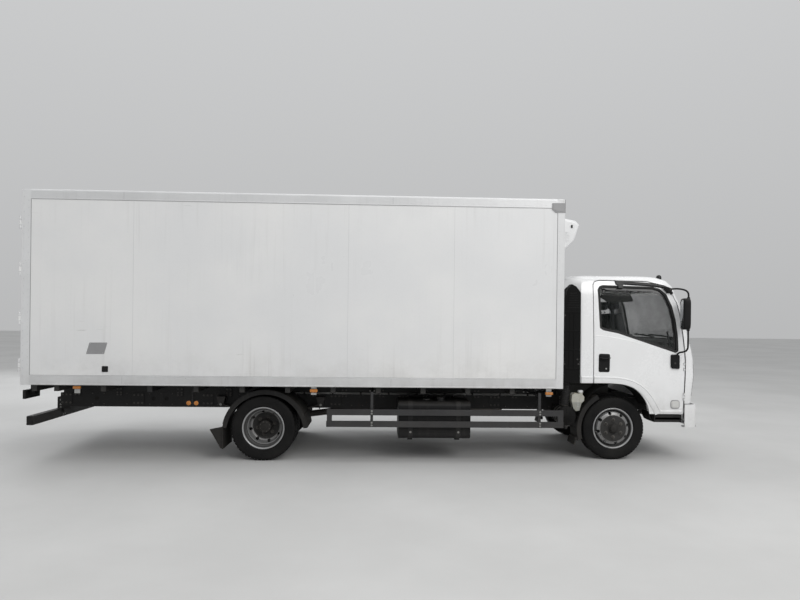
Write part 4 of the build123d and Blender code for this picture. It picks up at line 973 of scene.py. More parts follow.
def wheel(side, word):
    m = Mesh()
    tyre_mesh(m, 0, 832.5, side)
    o = put("tyre_front_" + word, m, "front_wheel_" + word, M_TYRE, angle=26)
    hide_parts("front_tyre_" + word)
    m = Mesh()
    tyre_mesh(m, XR, 956.0, side, True)
    tyre_mesh(m, XR, 694.0, side, True, 0.03)
    o = put("tyres_rear_" + word, m, "rear_wheels_" + word, M_TYRE, angle=26)
    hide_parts("rear_tyres_" + word)
    # front: nuts, hub cap rings, valve, balance weight
    m = Mesh()
    ring_nuts(m, 0, 940.0, side, 6, 111.0, 30.0)
    m.lathe([(64, 939.5), (64, 946), (61, 949), (52, 950), (50, 954), (50, 975), (46, 979), (38, 982.5), (14, 984.5), (12, 987), (0, 987.5)], 0, HUB, side, 64, 1)
    for k in range(5):
        a = math.radians(72 * k + 10)
        m.bolt((53.5 * math.cos(a), side * 949.5, HUB + 53.5 * math.sin(a)), (0, side, 0), 5.0, 5.0, False, 0)
    put("front_hub_" + word, m, "front_wheel_" + word, [M_DARKBOLT, M_HUB])
    m = Mesh()
    a = math.radians(205)
    c, s_ = math.cos(a), math.sin(a)
    m.tube([(222 * c, side * 872, HUB + 222 * s_), (214 * c, side * 892, HUB + 214 * s_), (197 * c, side * 925, HUB + 197 * s_), (188 * c, side * 948, HUB + 188 * s_)], 4.0, 10, 0, smooth=4)
    m.spin([(5.5, 0), (5.5, 13), (3.5, 15), (0, 15)], (188 * c, side * 947, HUB + 188 * s_), (-0.3 * c, side, -0.3 * s_), 12, 1)
    for a0 in (62, 250):
        pts = []
        for k in range(7):
            b = math.radians(a0 + k * 1.9)
            pts.append((252 * math.cos(b), side * 930.5, HUB + 252 * math.sin(b)))
        m.tube(pts, 4, 10, 2, flat=(4.5, 2.8))
    put("front_valve_" + word, m, "front_wheel_" + word, [M_ZINC, M_SATIN, M_GREY])
    # a rounded lip along the outer flange
    m = Mesh()

    def lip(x, s):
        prof = [(r, s + o) for r, o in [(247.5, -3), (250, 0.5), (254.5, 3.2), (259, 3.6), (262.2, 1.6), (263.0, -2.0), (261.8, -6.0), (259.8, -8.0), (257, -3.5), (252, -1)]]
        m.lathe(prof, x, HUB, side, 96, 0, close=True)

    lip(0, 929.5)
    put("front_rim_lip_" + word, m, "front_wheel_" + word, M_RIM, angle=40)
    m = Mesh()
    prof = [(r, 1053.0 + o) for r, o in [(247.5, -3), (250, 0.5), (254.5, 3.2), (259, 3.6), (262.2, 1.6), (263.0, -2.0), (261.8, -6.0), (259.8, -8.0), (257, -3.5), (252, -1)]]
    m.lathe(prof, XR, HUB, side, 96, 0, close=True)
    # the weld bead where the dish meets the barrel
    prof = [(219.0 + 3.0 * math.cos(t), 953.0 + 3.0 * math.sin(t)) for t in [i * math.pi / 4 for i in range(8)]]
    m.lathe(prof, XR, HUB, side, 96, 0, close=True)
    put("rear_rim_lip_" + word, m, "rear_wheels_" + word, M_RIM, angle=40)
    # rear: nuts on the dish, flange bolts on the hub
    m = Mesh()
    ring_nuts(m, XR, 837.0, side, 6, 111.0, 15.0, 16.0, 24.0, 0, 22.0)
    for k in range(8):
        a = math.radians(45 * k + 20)
        m.bolt((XR + 62 * math.cos(a), side * 931.5, HUB + 62 * math.sin(a)), (0, side, 0), 7.0, 8.0, True, 0)
    m.lathe([(86, 896), (86, 905), (83, 908), (79, 925), (76, 934), (70, 936), (40, 937), (36, 941), (24, 943), (0, 943)], XR, HUB, side, 64, 1)
    put("rear_hub_" + word, m, "rear_wheels_" + word, [M_DARKBOLT, M_HUB])
    m = Mesh()
    for a0, s1 in ((140, 1040.0), (320, 1008.0)):
        a = math.radians(a0)
        c, s_ = math.cos(a), math.sin(a)
        m.tube([(XR + 226 * c, side * 950, HUB + 226 * s_), (XR + 205 * c, side * 962, HUB + 205 * s_), (XR + 196 * c, side * 985, HUB + 196 * s_), (XR + 200 * c, side * s1, HUB + 200 * s_)], 4.0, 10, 0, smooth=4)
        m.spin([(5.5, 0), (5.5, 13), (3.5, 15), (0, 15)], (XR + 200 * c, side * s1, HUB + 200 * s_), (0, side, 0), 12, 1)
    put("rear_valves_" + word, m, "rear_wheels_" + word, [M_ZINC, M_SATIN])
    for n in ("front_rim_" + word, "rear_rims_" + word):
        soften(n, 1.2, planar=0.2, limit=30.0)
        paint_node(M_RIM, n)


wheel(-1, "right")
wheel(1, "left")


# ------------------------------------------------------------------ the cargo box
class Frame3:
    """A flat place in space: u and v lie in it, n stands out of it. All in millimetres."""

    def __init__(self, o, u, v):
        self.o, self.u = Vector(o), Vector(u).normalized()
        v = Vector(v)
        self.n = self.u.cross(v).normalized()
        self.v = self.n.cross(self.u)
        self.turn = Matrix((self.u, self.v, self.n)).transposed()

    def at(self, u, v, h=0.0):
        return self.o + self.u * u + self.v * v + self.n * h

    def box(self, mesh, u0, u1, v0, v1, h0, h1, r=1.0, mat=0):
        c = self.at((u0 + u1) / 2, (v0 + v1) / 2, (h0 + h1) / 2)
        mesh.rbox(c.x, c.y, c.z, abs(u1 - u0) / 2, abs(v1 - v0) / 2, abs(h1 - h0) / 2, r, mat, self.turn)

    def plate(self, mesh, poly, h0, h1, chamfer=0.8, mat=0):
        """A flat plate with the outline poly (u, v)."""
        area = sum(p[0] * q[1] - q[0] * p[1] for p, q in zip(poly, poly[1:] + poly[:1]))
        if area < 0:
            poly = poly[::-1]
        inner = inset(poly, chamfer)
        n = len(poly)
        layers = [(poly, h0), (poly, h1 - chamfer), (inner, h1)]
        verts = [self.at(p[0], p[1], h) for pts, h in layers for p in pts]
        faces = []
        for k in range(2):
            for i in range(n):
                j = (i + 1) % n
                faces.append((k * n + i, k * n + j, (k + 1) * n + j, (k + 1) * n + i))
        faces.append(tuple(range(n))[::-1])
        faces.append(tuple(range(2 * n, 3 * n)))
        mesh.add(verts, faces, mat)

    def ring(self, mesh, cu, cv, r0, r1, h0, h1, seg=40, mat=0):
        prof = [(r0, h0), (r0, h1), (r1, h1), (r1, h0)]
        verts, faces = [], []
        for k in range(seg):
            a = 2 * math.pi * k / seg
            for r, h in prof:
                verts.append(self.at(cu + r * math.cos(a), cv + r * math.sin(a), h))
        for k in range(seg):
            k2 = (k + 1) % seg
            for i in range(4):
                j = (i + 1) % 4
                faces.append((k * 4 + j, k * 4 + i, k2 * 4 + i, k2 * 4 + j))
        mesh.add(verts, faces, mat)


BR, BF, BT, BB = -7366.0, -743.0, 3306.0, 941.0
HALF = 1200.0


def box_sides():
    # bottom rail: a hooked extrusion, with a shadow gap at its top and a bright lower lip
    m = Mesh()
    m.prism([(-1199, 944), (-1204.5, 941), (-1207.5, 945), (-1207.5, 955), (-1203.6, 960), (-1203.6, 1046), (-1205.4, 1049), (-1205.4, 1056), (-1203, 1059), (-1199, 1059)], "x", BR + 104, BF - 88, 0, 0.0)
    # top rail: wraps over the roof edge
    m.prism([(-1199, 3191), (-1203, 3191), (-1205, 3194), (-1205, 3200), (-1203.4, 3203), (-1203.4, 3288), (-1198, 3302), (-1186, 3308.5), (-1150, 3308.5), (-1148, 3305), (-1184, 3303), (-1199, 3290)], "x", BR + 104, BF - 88, 0, 0.0)
    m.mirror()
    put("box_rails", m, "chassis", M_RAIL, angle=20)
    # front edge rail over the roof, and front posts
    m = Mesh()
    m.prism([(-740.5, 3150), (-738.5, 3156), (-738.5, 3290), (-744, 3304), (-757, 3309), (-800, 3309), (-802, 3305), (-757, 3303), (-742, 3292)], "y", -1188, 1188, 0)
    # posts down the front corners, wrapped round them
    for s in (-1, 1):
        m.prism([(-831, s * 1199), (-831, s * 1203.4), (-748, s * 1203.4), (-739.6, s * 1195), (-739.6, s * 1128), (-743.5, s * 1128), (-743.5, s * 1192), (-750, s * 1199)], "z", 941, 3300, 0)
        m.prism([(-7262, s * 1199), (-7262, s * 1203.4), (-7366, s * 1203.4), (-7366, s * 1199)], "z", 941, 3300, 0, 0.8)
    put("box_posts", m, "chassis", M_PORTAL, angle=25)
    # seams of sealant between panels, rail joints, and rivet lines
    m = Mesh()
    for x in (-6038, -3431, -2121):
        m.box(x - 1.8, x + 1.8, -1201.0, -1199.4, 1059, 3191, 0.5, 1)
    for x in (-6158, -2890):
        m.box(x - 1.2, x + 1.2, -1204.2, -1203.0, 942, 1058, 0.3)
        m.box(x - 1.2, x + 1.2, -1204.2, -1203.0, 3192, 3290, 0.3)
    m.box(-7262, -831, -1203.8, -1199.2, 3187.5, 3191, 0.8)
    m.box(-7262, -831, -1203.8, -1199.2, 1059, 1062, 0.8)
    for x in (-7258.5, -834.5):
        m.box(x - 2.6, x + 2.6, -1202.4, -1199.2, 1059, 3191, 0.8)
    m.mirror()
    for x in (-6038, -3431, -2121):
        m.box(x - 1.8, x + 1.8, -1146, 1146, 3305.4, 3307.2, 0.4)
    put("box_sealant", m, "chassis", [M_GREY, M_JOINT])
    m = Mesh()
    x = BR + 150
    while x < BF - 120:
        m.rivet((x, -1203.6, 1033), (0, -1, 0), 4.6, 2.0, 8)
        m.rivet((x, -1203.4, 3222), (0, -1, 0), 4.6, 2.0, 8)
        x += 130.0
    z = 1010.0
    while z < 3240:
        m.rivet((-7286, -1203.4, z), (0, -1, 0), 5.4, 2.4, 8)
        m.rivet((-7340, -1203.4, z + 45), (0, -1, 0), 5.4, 2.4, 8)
        m.rivet((-806, -1203.4, z), (0, -1, 0), 4.6, 2.0, 8)
        z += 90.0
    m.mirror()
    z = 1010.0
    while z < 3100:
        for s in (-1, 1):
            m.rivet((-739.6, s * 1150, z), (1, 0, 0), 4.6, 2.0, 8)
        z += 120.0
    y = -1120.0
    while y < 1121:
        m.rivet((-738.5, y, 3176), (1, 0, 0), 4.6, 2.0, 8)
        y += 112.0
    put("box_rivets", m, "chassis", M_ALU, angle=50)
    # corner caps: a pressed corner with a raised middle, front top, on both sides
    m = Mesh()
    for s in (-1, 1):
        fr = Frame3((-743, s * 1203.0, 3256), (-1, 0, 0) if s > 0 else (1, 0, 0), (0, 0, 1))
        sg = 1 if s > 0 else -1
        outline = [(0 * sg, -122), (166 * sg, -122), (166 * sg, -18), (150 * sg, 0), (0 * sg, 46)]
        outline = [(0, -122), (sg * 118, -122), (sg * 166, -80), (sg * 166, -8), (sg * 158, 0), (0, 0)]
        fr.plate(m, round_poly(outline, 10), 0.0, 4.5, 1.6)
        fr.plate(m, round_poly([(sg * 12, -108), (sg * 108, -108), (sg * 150, -72), (sg * 150, -14), (sg * 12, -14)], 8), 4.0, 7.0, 1.4)
        for u, v in ((22, -26), (140, -26), (22, -98), (96, -98)):
            m.rivet(fr.at(sg * u, v, 6.4), (0, s, 0), 5.5, 2.6)
        m.prism([(-742, 3134), (-735.5, 3138), (-735.5, 3290), (-741, 3303), (-742, 3256)], "y", s * 1096, s * 1203, 0, 1.5)
    put("box_corner_caps", m, "chassis", M_GREY)
    # a blank grey plate on each side, low at the back, and a dark square vent below it
    m = Mesh()
    for s in (-1, 1):
        fr = Frame3((0, s * 1200.0, 0), (1, 0, 0) if s < 0 else (-1, 0, 0), (0, 0, 1))
        k = 1 if s < 0 else -1
        fr.plate(m, round_poly([(k * -6551, 1459), (k * -6336, 1461), (k * -6376, 1321), (k * -6591, 1319)], 8), -0.4, 1.8, 0.6, 0)
        for x, z in ((-6538, 1446), (-6352, 1448), (-6389, 1334), (-6576, 1332)):
            m.rivet(fr.at(k * x, z, 1.8), (0, s, 0), 4.0, 1.6, 8, 1)
        fr.plate(m, round_poly([(k * -6399, 1103), (k * -6326, 1103), (k * -6326, 1175), (k * -6399, 1175)], 9), -0.4, 7.0, 2.0, 2)
        for q in range(5):
            z = 1115 + q * 12
            fr.box(m, k * -6389 if k > 0 else 6336, k * -6336 if k > 0 else 6389, z - 2.6, z + 2.6, 6.0, 9.5, 1.2, 2)
    put("box_side_plates", m, "chassis", [M_GREY, M_ALU, M_SATIN])


def marker(mesh, x0, x1, z0, z1, y, side, lens_mat=1, base_mat=0, depth=22.0):
    """A side marker lamp: a rubber base and a rounded lens."""
    fr = Frame3(((x0 + x1) / 2, side * y, (z0 + z1) / 2), (1, 0, 0) if side < 0 else (-1, 0, 0), (0, 0, 1))
    w, h = (x1 - x0) / 2, (z1 - z0) / 2
    fr.plate(mesh, round_poly([(-w, -h), (w, -h), (w, h), (-w, h)], h * 0.8, 5), -2.0, depth * 0.4, 1.5, base_mat)
    q = 0.86
    outline = round_poly([(-w * q, -h * q), (w * q, -h * q), (w * q, h * q), (-w * q, h * q)], h * 0.7, 5)
    area = sum(p[0] * r[1] - r[0] * p[1] for p, r in zip(outline, outline[1:] + outline[:1]))
    if area < 0:
        outline = outline[::-1]
    rings = [(1.0, depth * 0.38), (0.985, depth * 0.6), (0.93, depth * 0.8), (0.82, depth * 0.92), (0.62, depth * 0.99)]
    n = len(outline)
    verts, faces = [], []
    for k, hgt in rings:
        dx, dz = w * (1 - k), h * (1 - k)
        for p in outline:
            verts.append(fr.at(p[0] * k, p[1] * k, hgt))
    for a in range(len(rings) - 1):
        for i in range(n):
            j = (i + 1) % n
            faces.append((a * n + i, a * n + j, (a + 1) * n + j, (a + 1) * n + i))
    faces.append(tuple(range((len(rings) - 1) * n, len(rings) * n)))
    mesh.add(verts, faces, lens_mat)


def box_lamps():
    m = Mesh()
    for s in (-1, 1):
        for x0, x1, z0, z1, y in ((-3898, -3787, 866, 914, 1160), (-966, -852, 856, 898, 1160), (-6766, -6654, 890, 932, 1160)):
            # a bent bracket under the rail carries each lamp
            m.prism([((x0 + x1) / 2 - 34, 838), ((x0 + x1) / 2 + 34, 838), ((x0 + x1) / 2 + 34, 943), ((x0 + x1) / 2 - 34, 943)], "y", s * 1150, s * 1156, 2, 0.8)
            m.prism([((x0 + x1) / 2 - 34, 938), ((x0 + x1) / 2 + 34, 938), ((x0 + x1) / 2 + 34, 943.5), ((x0 + x1) / 2 - 34, 943.5)], "y", s * 1152, s * 1192, 2, 0.8)
            marker(m, x0, x1, z0, z1, y, s)
    put("side_marker_lamps", m, "chassis", [M_SATIN, M_AMBER, M_ZINC])
    m = Mesh()
    # two round reflectors on a hanger ahead of the rear wheels, and corner lamps high on the box
    for s in (-1, 1):
        fr = Frame3((-5340, s * 1092.0, 719), (1, 0, 0) if s < 0 else (-1, 0, 0), (0, 0, 1))
        for u in (-46, 46):
            fr.ring(m, u, 0, 0.5, 33, -6, 2, 28, 0)
            m.spin([(28, 1), (27, 5), (20, 8), (10, 9.6), (0, 10)], fr.at(u, 0, 0), (0, s, 0), 28, 1)
        m.box(-5420, -5260, s * 1086, s * 1090, 690, 748, 1.5, 0)
        m.box(-5350, -5330, s * 1060, s * 1088, 715, 945, 2.0, 0)
    put("side_reflectors", m, "chassis", [M_SATIN, M_AMBER])
    m = Mesh()
    for s in (-1, 1):
        for x, nx, mt in ((-738, 1, 1), (-7368, -1, 2)):
            fr = Frame3((x, s * 1090, 3236), (0, 1, 0) if nx > 0 else (0, -1, 0), (0, 0, 1))
            fr.plate(m, round_poly([(-46, -17), (46, -17), (46, 17), (-46, 17)], 13, 5), 0, 7, 1.5, 0)
            fr.plate(m, round_poly([(-39, -12), (39, -12), (39, 12), (-39, 12)], 9, 5), 6, 17, 4.5, mt)
    put("outline_lamps", m, "chassis", [M_SATIN, M_WHITELENS, M_RED])


def rear_frame():
    m = Mesh()
    # rivets and bolts of the portal, seen from behind
    z = 1120.0
    while z < 3180:
        for s in (-1, 1):
            m.rivet((-7366.2, s * 1186, z), (-1, 0, 0), 4.5, 2.2)
        z += 95.0
    y = -1100.0
    while y < 1101:
        m.rivet((-7366.2, y, 3284), (-1, 0, 0), 4.5, 2.2)
        m.rivet((-7366.2, y, 968), (-1, 0, 0), 4.5, 2.2)
        y += 100.0
    for s in (-1, 1):
        for hz in (1180, 1745, 2340, 2904):
            for dz in (-55, 55):
                m.bolt((-7389.5, s * 1172, hz + dz), (-1, 0, 0), 7.5, 5.5, True, 1)
    put("portal_fixings", m, "chassis", [M_ALU, M_ZINC], angle=45)
    m = Mesh()
    # rubber buffers on the sill, each with two bolts
    for y in (-900, 900):
        m.prism(round_poly([(y - 75, 946), (y + 75, 946), (y + 75, 1030), (y - 75, 1030)], 14), "x", -7402, -7365, 0, 5)
        for dy in (-40, 40):
            m.bolt((-7402, y + dy, 988), (-1, 0, 0), 8, 4, True, 1)
    put("sill_buffers", m, "chassis", [M_SEAL, M_DARKBOLT])
    m = Mesh()
    # tread plate on the sill, bright ribs along the top of the threshold
    for k in range(9):
        x = -7356 + k * 10.5
        m.box(x - 2.2, x + 2.2, -1118, 1118, 1059.4, 1062.2, 0.9)
    m.box(-7366.8, -7264, -1126, 1126, 1057.8, 1060.3, 0.8)
    put("sill_tread", m, "chassis", M_ALU)


def rear_door(side, word):
    body = "rear_door_" + word
    XO = -7362.0
    m = Mesh()
    # black gasket round the leaf: two soft lips
    def rim(s0, s1, z0, z1, w, x0, x1, r, mat=0):
        m.box(x0, x1, side * s0, side * (s0 + w), z0, z1, r, mat)
        m.box(x0, x1, side * (s1 - w), side * s1, z0, z1, r, mat)
        m.box(x0, x1, side * (s0 + w), side * (s1 - w), z0, z0 + w, r, mat)
        m.box(x0, x1, side * (s0 + w), side * (s1 - w), z1 - w, z1, r, mat)
    rim(3, 1127, 1062.5, 3197.5, 6, -7366, -7354, 2.0)
    rim(5, 1125, 1064, 3196, 5, -7310, -7296, 2.0)
    put("rear_door_gasket_" + word, m, body, M_SEAL)
    m = Mesh()
    # aluminium edge profile round the leaf on the outside
    for s0, s1, z0, z1 in ((9, 34, 1068, 3192), (1098, 1123, 1068, 3192)):
        m.box(XO - 3.5, XO + 0.5, side * s0, side * s1, z0, z1, 1.4)
    for z0, z1 in ((1068, 1094), (3166, 3192)):
        m.box(XO - 3.5, XO + 0.5, side * 34, side * 1098, z0, z1, 1.4)
    put("rear_door_edges_" + word, m, body, M_RAIL)
    m = Mesh()
    z = 1110.0
    while z < 3160:
        for s in (21, 1110):
            m.rivet((XO - 3.5, side * s, z), (-1, 0, 0), 3.8, 1.8)
        z += 85.0
    s = 90.0
    while s < 1080:
        for z in (1081, 3179):
            m.rivet((XO - 3.5, side * s, z), (-1, 0, 0), 3.8, 1.8)
        s += 85.0
    put("rear_door_rivets_" + word, m, body, M_ALU, angle=50)
    # hinge straps with bolts, lock-bar guides and cams, handle plates
    m = Mesh()
    for hz in (1180, 1745, 2340, 2904):
        fr = Frame3((XO, side * 1110, hz), (0, -side, 0), (0, 0, 1 if side > 0 else 1))
        k = 1 if fr.n.x < 0 else -1
        fr = Frame3((XO, side * 1110, hz), (0, -side * 1, 0) if k > 0 else (0, side, 0), (0, 0, 1))
        sg = 1 if (fr.u.y * -side) > 0 else -1
        fr.plate(m, round_poly([(sg * -2, -27), (sg * 150, -24), (sg * 190, -12), (sg * 190, 12), (sg * 150, 24), (sg * -2, 27)], 8), 0, 6.5, 1.6, 0)
        for u in (30, 85, 160):
            m.bolt(fr.at(sg * u, 0, 6.5), fr.n, 7.5, 6.0, True, 1)
    for s0 in (250, 760):
        for z in (1250, 1900, 2500, 3100):
            # guide: a saddle over the bar with two bolted feet
            m.tube([(XO - 1, side * (s0 - 34), z), (XO - 10, side * (s0 - 27), z), (XO - 34, side * (s0 - 19), z), (XO - 47, side * s0, z), (XO - 34, side * (s0 + 19), z), (XO - 10, side * (s0 + 27), z), (XO - 1, side * (s0 + 34), z)],
                   5, 12, 0, smooth=3, flat=(22, 2.6))
            for d in (-46, 46):
                m.box(XO - 5, XO, side * (s0 + d) - 15, side * (s0 + d) + 15, z - 22, z + 22, 1.5, 0)
                m.bolt((XO - 5, side * (s0 + d), z), (-1, 0, 0), 6.5, 5.0, True, 1)
        # cams at both ends: a forged hook that turns with the bar
        for z, up in ((980, 1), (3252, -1)):
            m.spin([(0, -14), (19, -14), (21, -11), (21, 11), (19, 14), (0, 14)], (-7390, side * s0, z), (0, 0, 1), 22, 0)
            m.prism(round_poly([(-7394, side * s0 - 12), (-7394, side * s0 + 12), (-7371, side * s0 + 16), (-7367.5, side * s0 + 7), (-7367.5, side * s0 - 7), (-7371, side * s0 - 16)], 3), "z", z - 9, z + 9, 0, 1.5)
    # handle plates, each with two bolts
    for s0 in (250, 760):
        z = 1410
        m.box(XO - 4, XO, side * (s0 + 60) - 20, side * (s0 + 120), z - 45, z + 45, 1.5, 0)
        m.bolt((XO - 4, side * (s0 + 72), z + 30), (-1, 0, 0), 6, 5, True, 1)
        m.bolt((XO - 4, side * (s0 + 72), z - 30), (-1, 0, 0), 6, 5, True, 1)
    put("rear_door_hardware_" + word, m, body, [M_ZINC, M_BOLT], angle=30)
    m = Mesh()
    # a plain grab strap low on the leaf, on the inside, with two clips
    m.tube([(-7292, side * 980, 1330), (-7270, side * 980, 1345), (-7262, side * 980, 1400), (-7262, side * 980, 1490), (-7270, side * 980, 1545), (-7292, side * 980, 1560)], 5, 10, 0, smooth=4, flat=(16, 2.2))
    for z in (1330, 1560):
        m.box(-7294, -7289, side * 962, side * 998, z - 14, z + 14, 1.2, 1)
    put("rear_door_strap_" + word, m, body, [M_SEAL, M_ZINC])


def inside_box():
    m = Mesh()
    # kick strips and load rails along the walls, with slots
    for z0, z1, d in ((1062, 1262, 3.0),):
        m.prism([(-1140.5, z0), (-1140.5 + d, z0), (-1140.5 + d, z1 - 6), (-1140.5 + d * 0.4, z1), (-1140.5, z1)], "x", -7262, -804, 0)
    for z in (1700, 2500):
        m.prism([(-1140.5, z - 62), (-1133, z - 56), (-1133, z - 34), (-1138, z - 28), (-1138, z + 28), (-1133, z + 34), (-1133, z + 56), (-1140.5, z + 62)], "x", -7240, -824, 0)
        # the slots are dark boxes of painted shade
        x = -7200.0
        while x < -860:
            m.box(x - 12, x + 12, -1139, -1136.6, z - 22, z + 22, 0.8, 1)
            x += 50.0
    m.mirror()
    m.box(-807, -803, -1136, 1136, 1062, 1262, 1.0)
    put("load_rails", m, "chassis", [M_ALU, M_RECESS_SHADE], angle=25)
    m = Mesh()
    # drain channels: lengthwise ribs of the floor
    y = -1080.0
    while y < 1081:
        m.prism([(y - 9, 1059.6), (y - 7, 1063.2), (y + 7, 1063.2), (y + 9, 1059.6)], "x", -7255, -812, 0)
        y += 90.0
    put("floor_ribs", m, "chassis", M_ALU, angle=20)
    m = Mesh()
    # shallow evaporator under the roof, with three grilles, and two dome lamps
    prof = [(-803.5, 2960), (-960, 2990), (-1050, 3070), (-1075, 3150), (-1075, 3215.5), (-803.5, 3215.5)]
    m.prism(prof, "y", -560, 560, 0, 8)
    fr = Frame3((-1005, 0, 3030), (0, 1, 0), Vector((-1050, 0, 3070)) - Vector((-960, 0, 2990)))
    if fr.n.x > 0:
        fr = Frame3((-1005, 0, 3030), (0, -1, 0), Vector((-1050, 0, 3070)) - Vector((-960, 0, 2990)))
    fr2 = Frame3((-1076, 0, 3150), (0, -1, 0), (0, 0, 1))
    for u in (-360, 0, 360):
        # a disc of painted shade fills each grille behind its rings
        fr.ring(m, u, 0, 0.5, 50, 0.5, 2.0, 36, 2)
        for r in (14, 24, 34, 44, 52):
            fr.ring(m, u, 0, r - 1.3, r + 1.3, 2.0, 5.0, 36, 1)
        for k in range(4):
            a = math.pi * k / 4
            m.tube([fr.at(u + 52 * math.cos(a), 52 * math.sin(a), 5.5), fr.at(u - 52 * math.cos(a), -52 * math.sin(a), 5.5)], 1.4, 6, 1)
    for x in (-2600, -5200):
        m.prism(round_poly([(x - 110, -70), (x + 110, -70), (x + 110, 70), (x - 110, 70)], 30, 6), "z", 3200, 3217, 3, 4)
        m.prism(round_poly([(x - 95, -56), (x + 95, -56), (x + 95, 56), (x - 95, 56)], 24, 6), "z", 3184, 3202, 4, 7)
    put("evaporator", m, "chassis", [M_WHITEPLASTIC, M_SATIN, M_RECESS_SHADE, M_WHITEPLASTIC, M_WHITELENS])
    # corner coving where the lining panels meet
    m = Mesh()
    for s in (-1, 1):
        m.prism([(s * 1140.5, 3216.5), (s * 1140.5, 3190), (s * 1130, 3200), (s * 1122, 3206), (s * 1112, 3216.5)], "x", -7262, -804, 0)
        m.prism([(-803, s * 1140.5), (-803, s * 1112), (-812, s * 1124), (-820, s * 1132), (-832, s * 1140.5)], "z", 1262, 3216, 0)
    for x in (-6038, -4745, -3431, -2121):
        for s in (-1, 1):
            m.box(x - 12, x + 12, s * 1138.4, s * 1140.6, 1262, 1636, 0.6)
            m.box(x - 12, x + 12, s * 1138.4, s * 1140.6, 1764, 2436, 0.6)
            m.box(x - 12, x + 12, s * 1138.4, s * 1140.6, 2564, 3198, 0.6)
        m.box(x - 12, x + 12, -1112, 1112, 3214.4, 3216.6, 0.6)
    put("lining_trims", m, "chassis", M_LINER)


def reefer():
    # outlines: front face between (-484,2854) and (-420,3056)
    a, b = Vector((-484, 0, 2854)), Vector((-420, 0, 3056))
    mid = (a + b) / 2
    fr = Frame3(mid, (0, 1, 0), b - a)
    if fr.n.x < 0:
        fr = Frame3(mid, (0, -1, 0), b - a)
    L = (b - a).length / 2
    m = Mesh()
    # the backing plate behind the slats and the fans is painted shade
    fr.plate(m, round_poly([(-735, -L + 16), (735, -L + 16), (735, L - 18), (-735, L - 18)], 26, 5), -1.0, 1.6, 0.8, 1)
    # raised frame and slats
    for u0, u1 in ((-735, -725), (725, 735)):
        fr.box(m, u0, u1, -L + 22, L - 24, 0, 8, 2.5, 0)
    for v0, v1 in ((-L + 14, -L + 24), (L - 26, L - 16)):
        fr.box(m, -730, 730, v0, v1, 0, 8, 2.5, 0)
    for cu in (-430, 430):
        for r in (18, 34, 50, 66, 80):
            fr.ring(m, cu, 0, r - 1.6, r + 1.6, 3, 7.5, 48, 0)
        for k in range(8):
            t = math.pi * k / 4
            m.tube([fr.at(cu + 16 * math.cos(t), 16 * math.sin(t), 5), fr.at(cu + 81 * math.cos(t), 81 * math.sin(t), 5)], 1.8, 6, 0)
        m.spin([(17, 1), (17, 7), (13, 10), (0, 11)], fr.at(cu, 0, 0), fr.n, 28, 0)
        # fan blades behind the guard
        for k in range(6):
            t = math.pi * k / 3
            c, s = math.cos(t), math.sin(t)
            c2, s2 = math.cos(t + 0.62), math.sin(t + 0.62)
            q = [fr.at(cu + 17 * c, 17 * s, 1.9), fr.at(cu + 74 * c, 74 * s, 1.9), fr.at(cu + 76 * c2, 76 * s2, 2.9), fr.at(cu + 17 * c2, 17 * s2, 2.9)]
            m.add(q + [p + fr.n * 0.7 for p in q], [(0, 3, 2, 1), (4, 5, 6, 7), (0, 1, 5, 4), (1, 2, 6, 5), (2, 3, 7, 6), (3, 0, 4, 7)], 2)
    v = -L + 32
    while v < L - 32:
        fr.box(m, -310, 310, v - 2.2, v + 2.2, 1.0, 8.5, 1.2, 0)
        fr.box(m, -715, -545, v - 2.2, v + 2.2, 1.0, 8.5, 1.2, 0)
        fr.box(m, 545, 715, v - 2.2, v + 2.2, 1.0, 8.5, 1.2, 0)
        v += 11.5
    put("unit_grille", m, "chassis", [M_SATIN, M_RECESS_SHADE, M_GREY])
    m = Mesh()
    # shell seam along the sides, latches, lower pan and mounting feet
    for s in (-1, 1):
        fr = Frame3((-600, s * 800, 2900), (1, 0, 0) if s < 0 else (-1, 0, 0), (0, 0, 1))
        k = 1 if s < 0 else -1
        fr.plate(m, round_poly([(k * -120, -150), (k * -10, -150), (k * 80, -60), (k * 128, 120), (k * 96, 178), (k * -20, 200), (k * -120, 200)], 24, 5), -1.0, 4.5, 1.8, 0)
        for u, v in ((-95, -120), (-95, 170), (70, 130)):
            fr.box(m, k * u - 12, k * u + 12, v - 20, v + 20, 3.5, 12, 2.5, 1)
        # side louvres
        for q in range(7):
            fr.box(m, min(k * -60, k * 40), max(k * -60, k * 40), -70 + q * 20, -62 + q * 20, 3.5, 9.5, 2.0, 0)
    m.box(-735, -640, -760, 760, 2709, 2723, 3, 2)
    for y in (-690, -230, 230, 690):
        m.prism(round_poly([(-742.5, 2690), (-700, 2700), (-690, 2718), (-742.5, 2726)], 3), "y", y - 25, y + 25, 2, 1.5)
        m.bolt((-742.0 + 2, y, 2694), (1, 0, 0), 6.5, 5, False, 2)
    m.tube([(-735, 640, 2712), (-736, 642, 2600), (-737, 644, 2200), (-737, 646, 1500), (-737, 650, 1010)], 9, 12, 3, smooth=4)
    for z in (2560, 2200, 1840, 1480, 1120):
        m.box(-743, -726, 632, 662, z - 7, z + 7, 1.5, 2)
    put("unit_shell_details", m, "chassis", [M_UNIT, M_SATIN, M_ZINC, M_SATIN])


box_sides()
box_lamps()
rear_frame()
rear_door(-1, "right")
rear_door(1, "left")
inside_box()
reefer()


# ------------------------------------------------------------------ the cab's outside
# sections of the cab: z, x of the corner's centre, front radius, corner radius, half width
CABROWS = [(600, 893, 7000, 100, 1024), (1110, 942, 7000, 100, 1033), (1300, 931, 7000, 100, 1033), (1430, 908, 6600, 100, 1032), (1530, 878, 6000, 102, 1030), (2017, 756, 4500, 112, 1000),
           (2140, 694, 4200, 120, 990), (2250, 654, 4200, 130, 970), (2325, 590, 4200, 130, 936), (2368, 490, 4200, 130, 880), (2387, 375, 4200, 130, 800)]


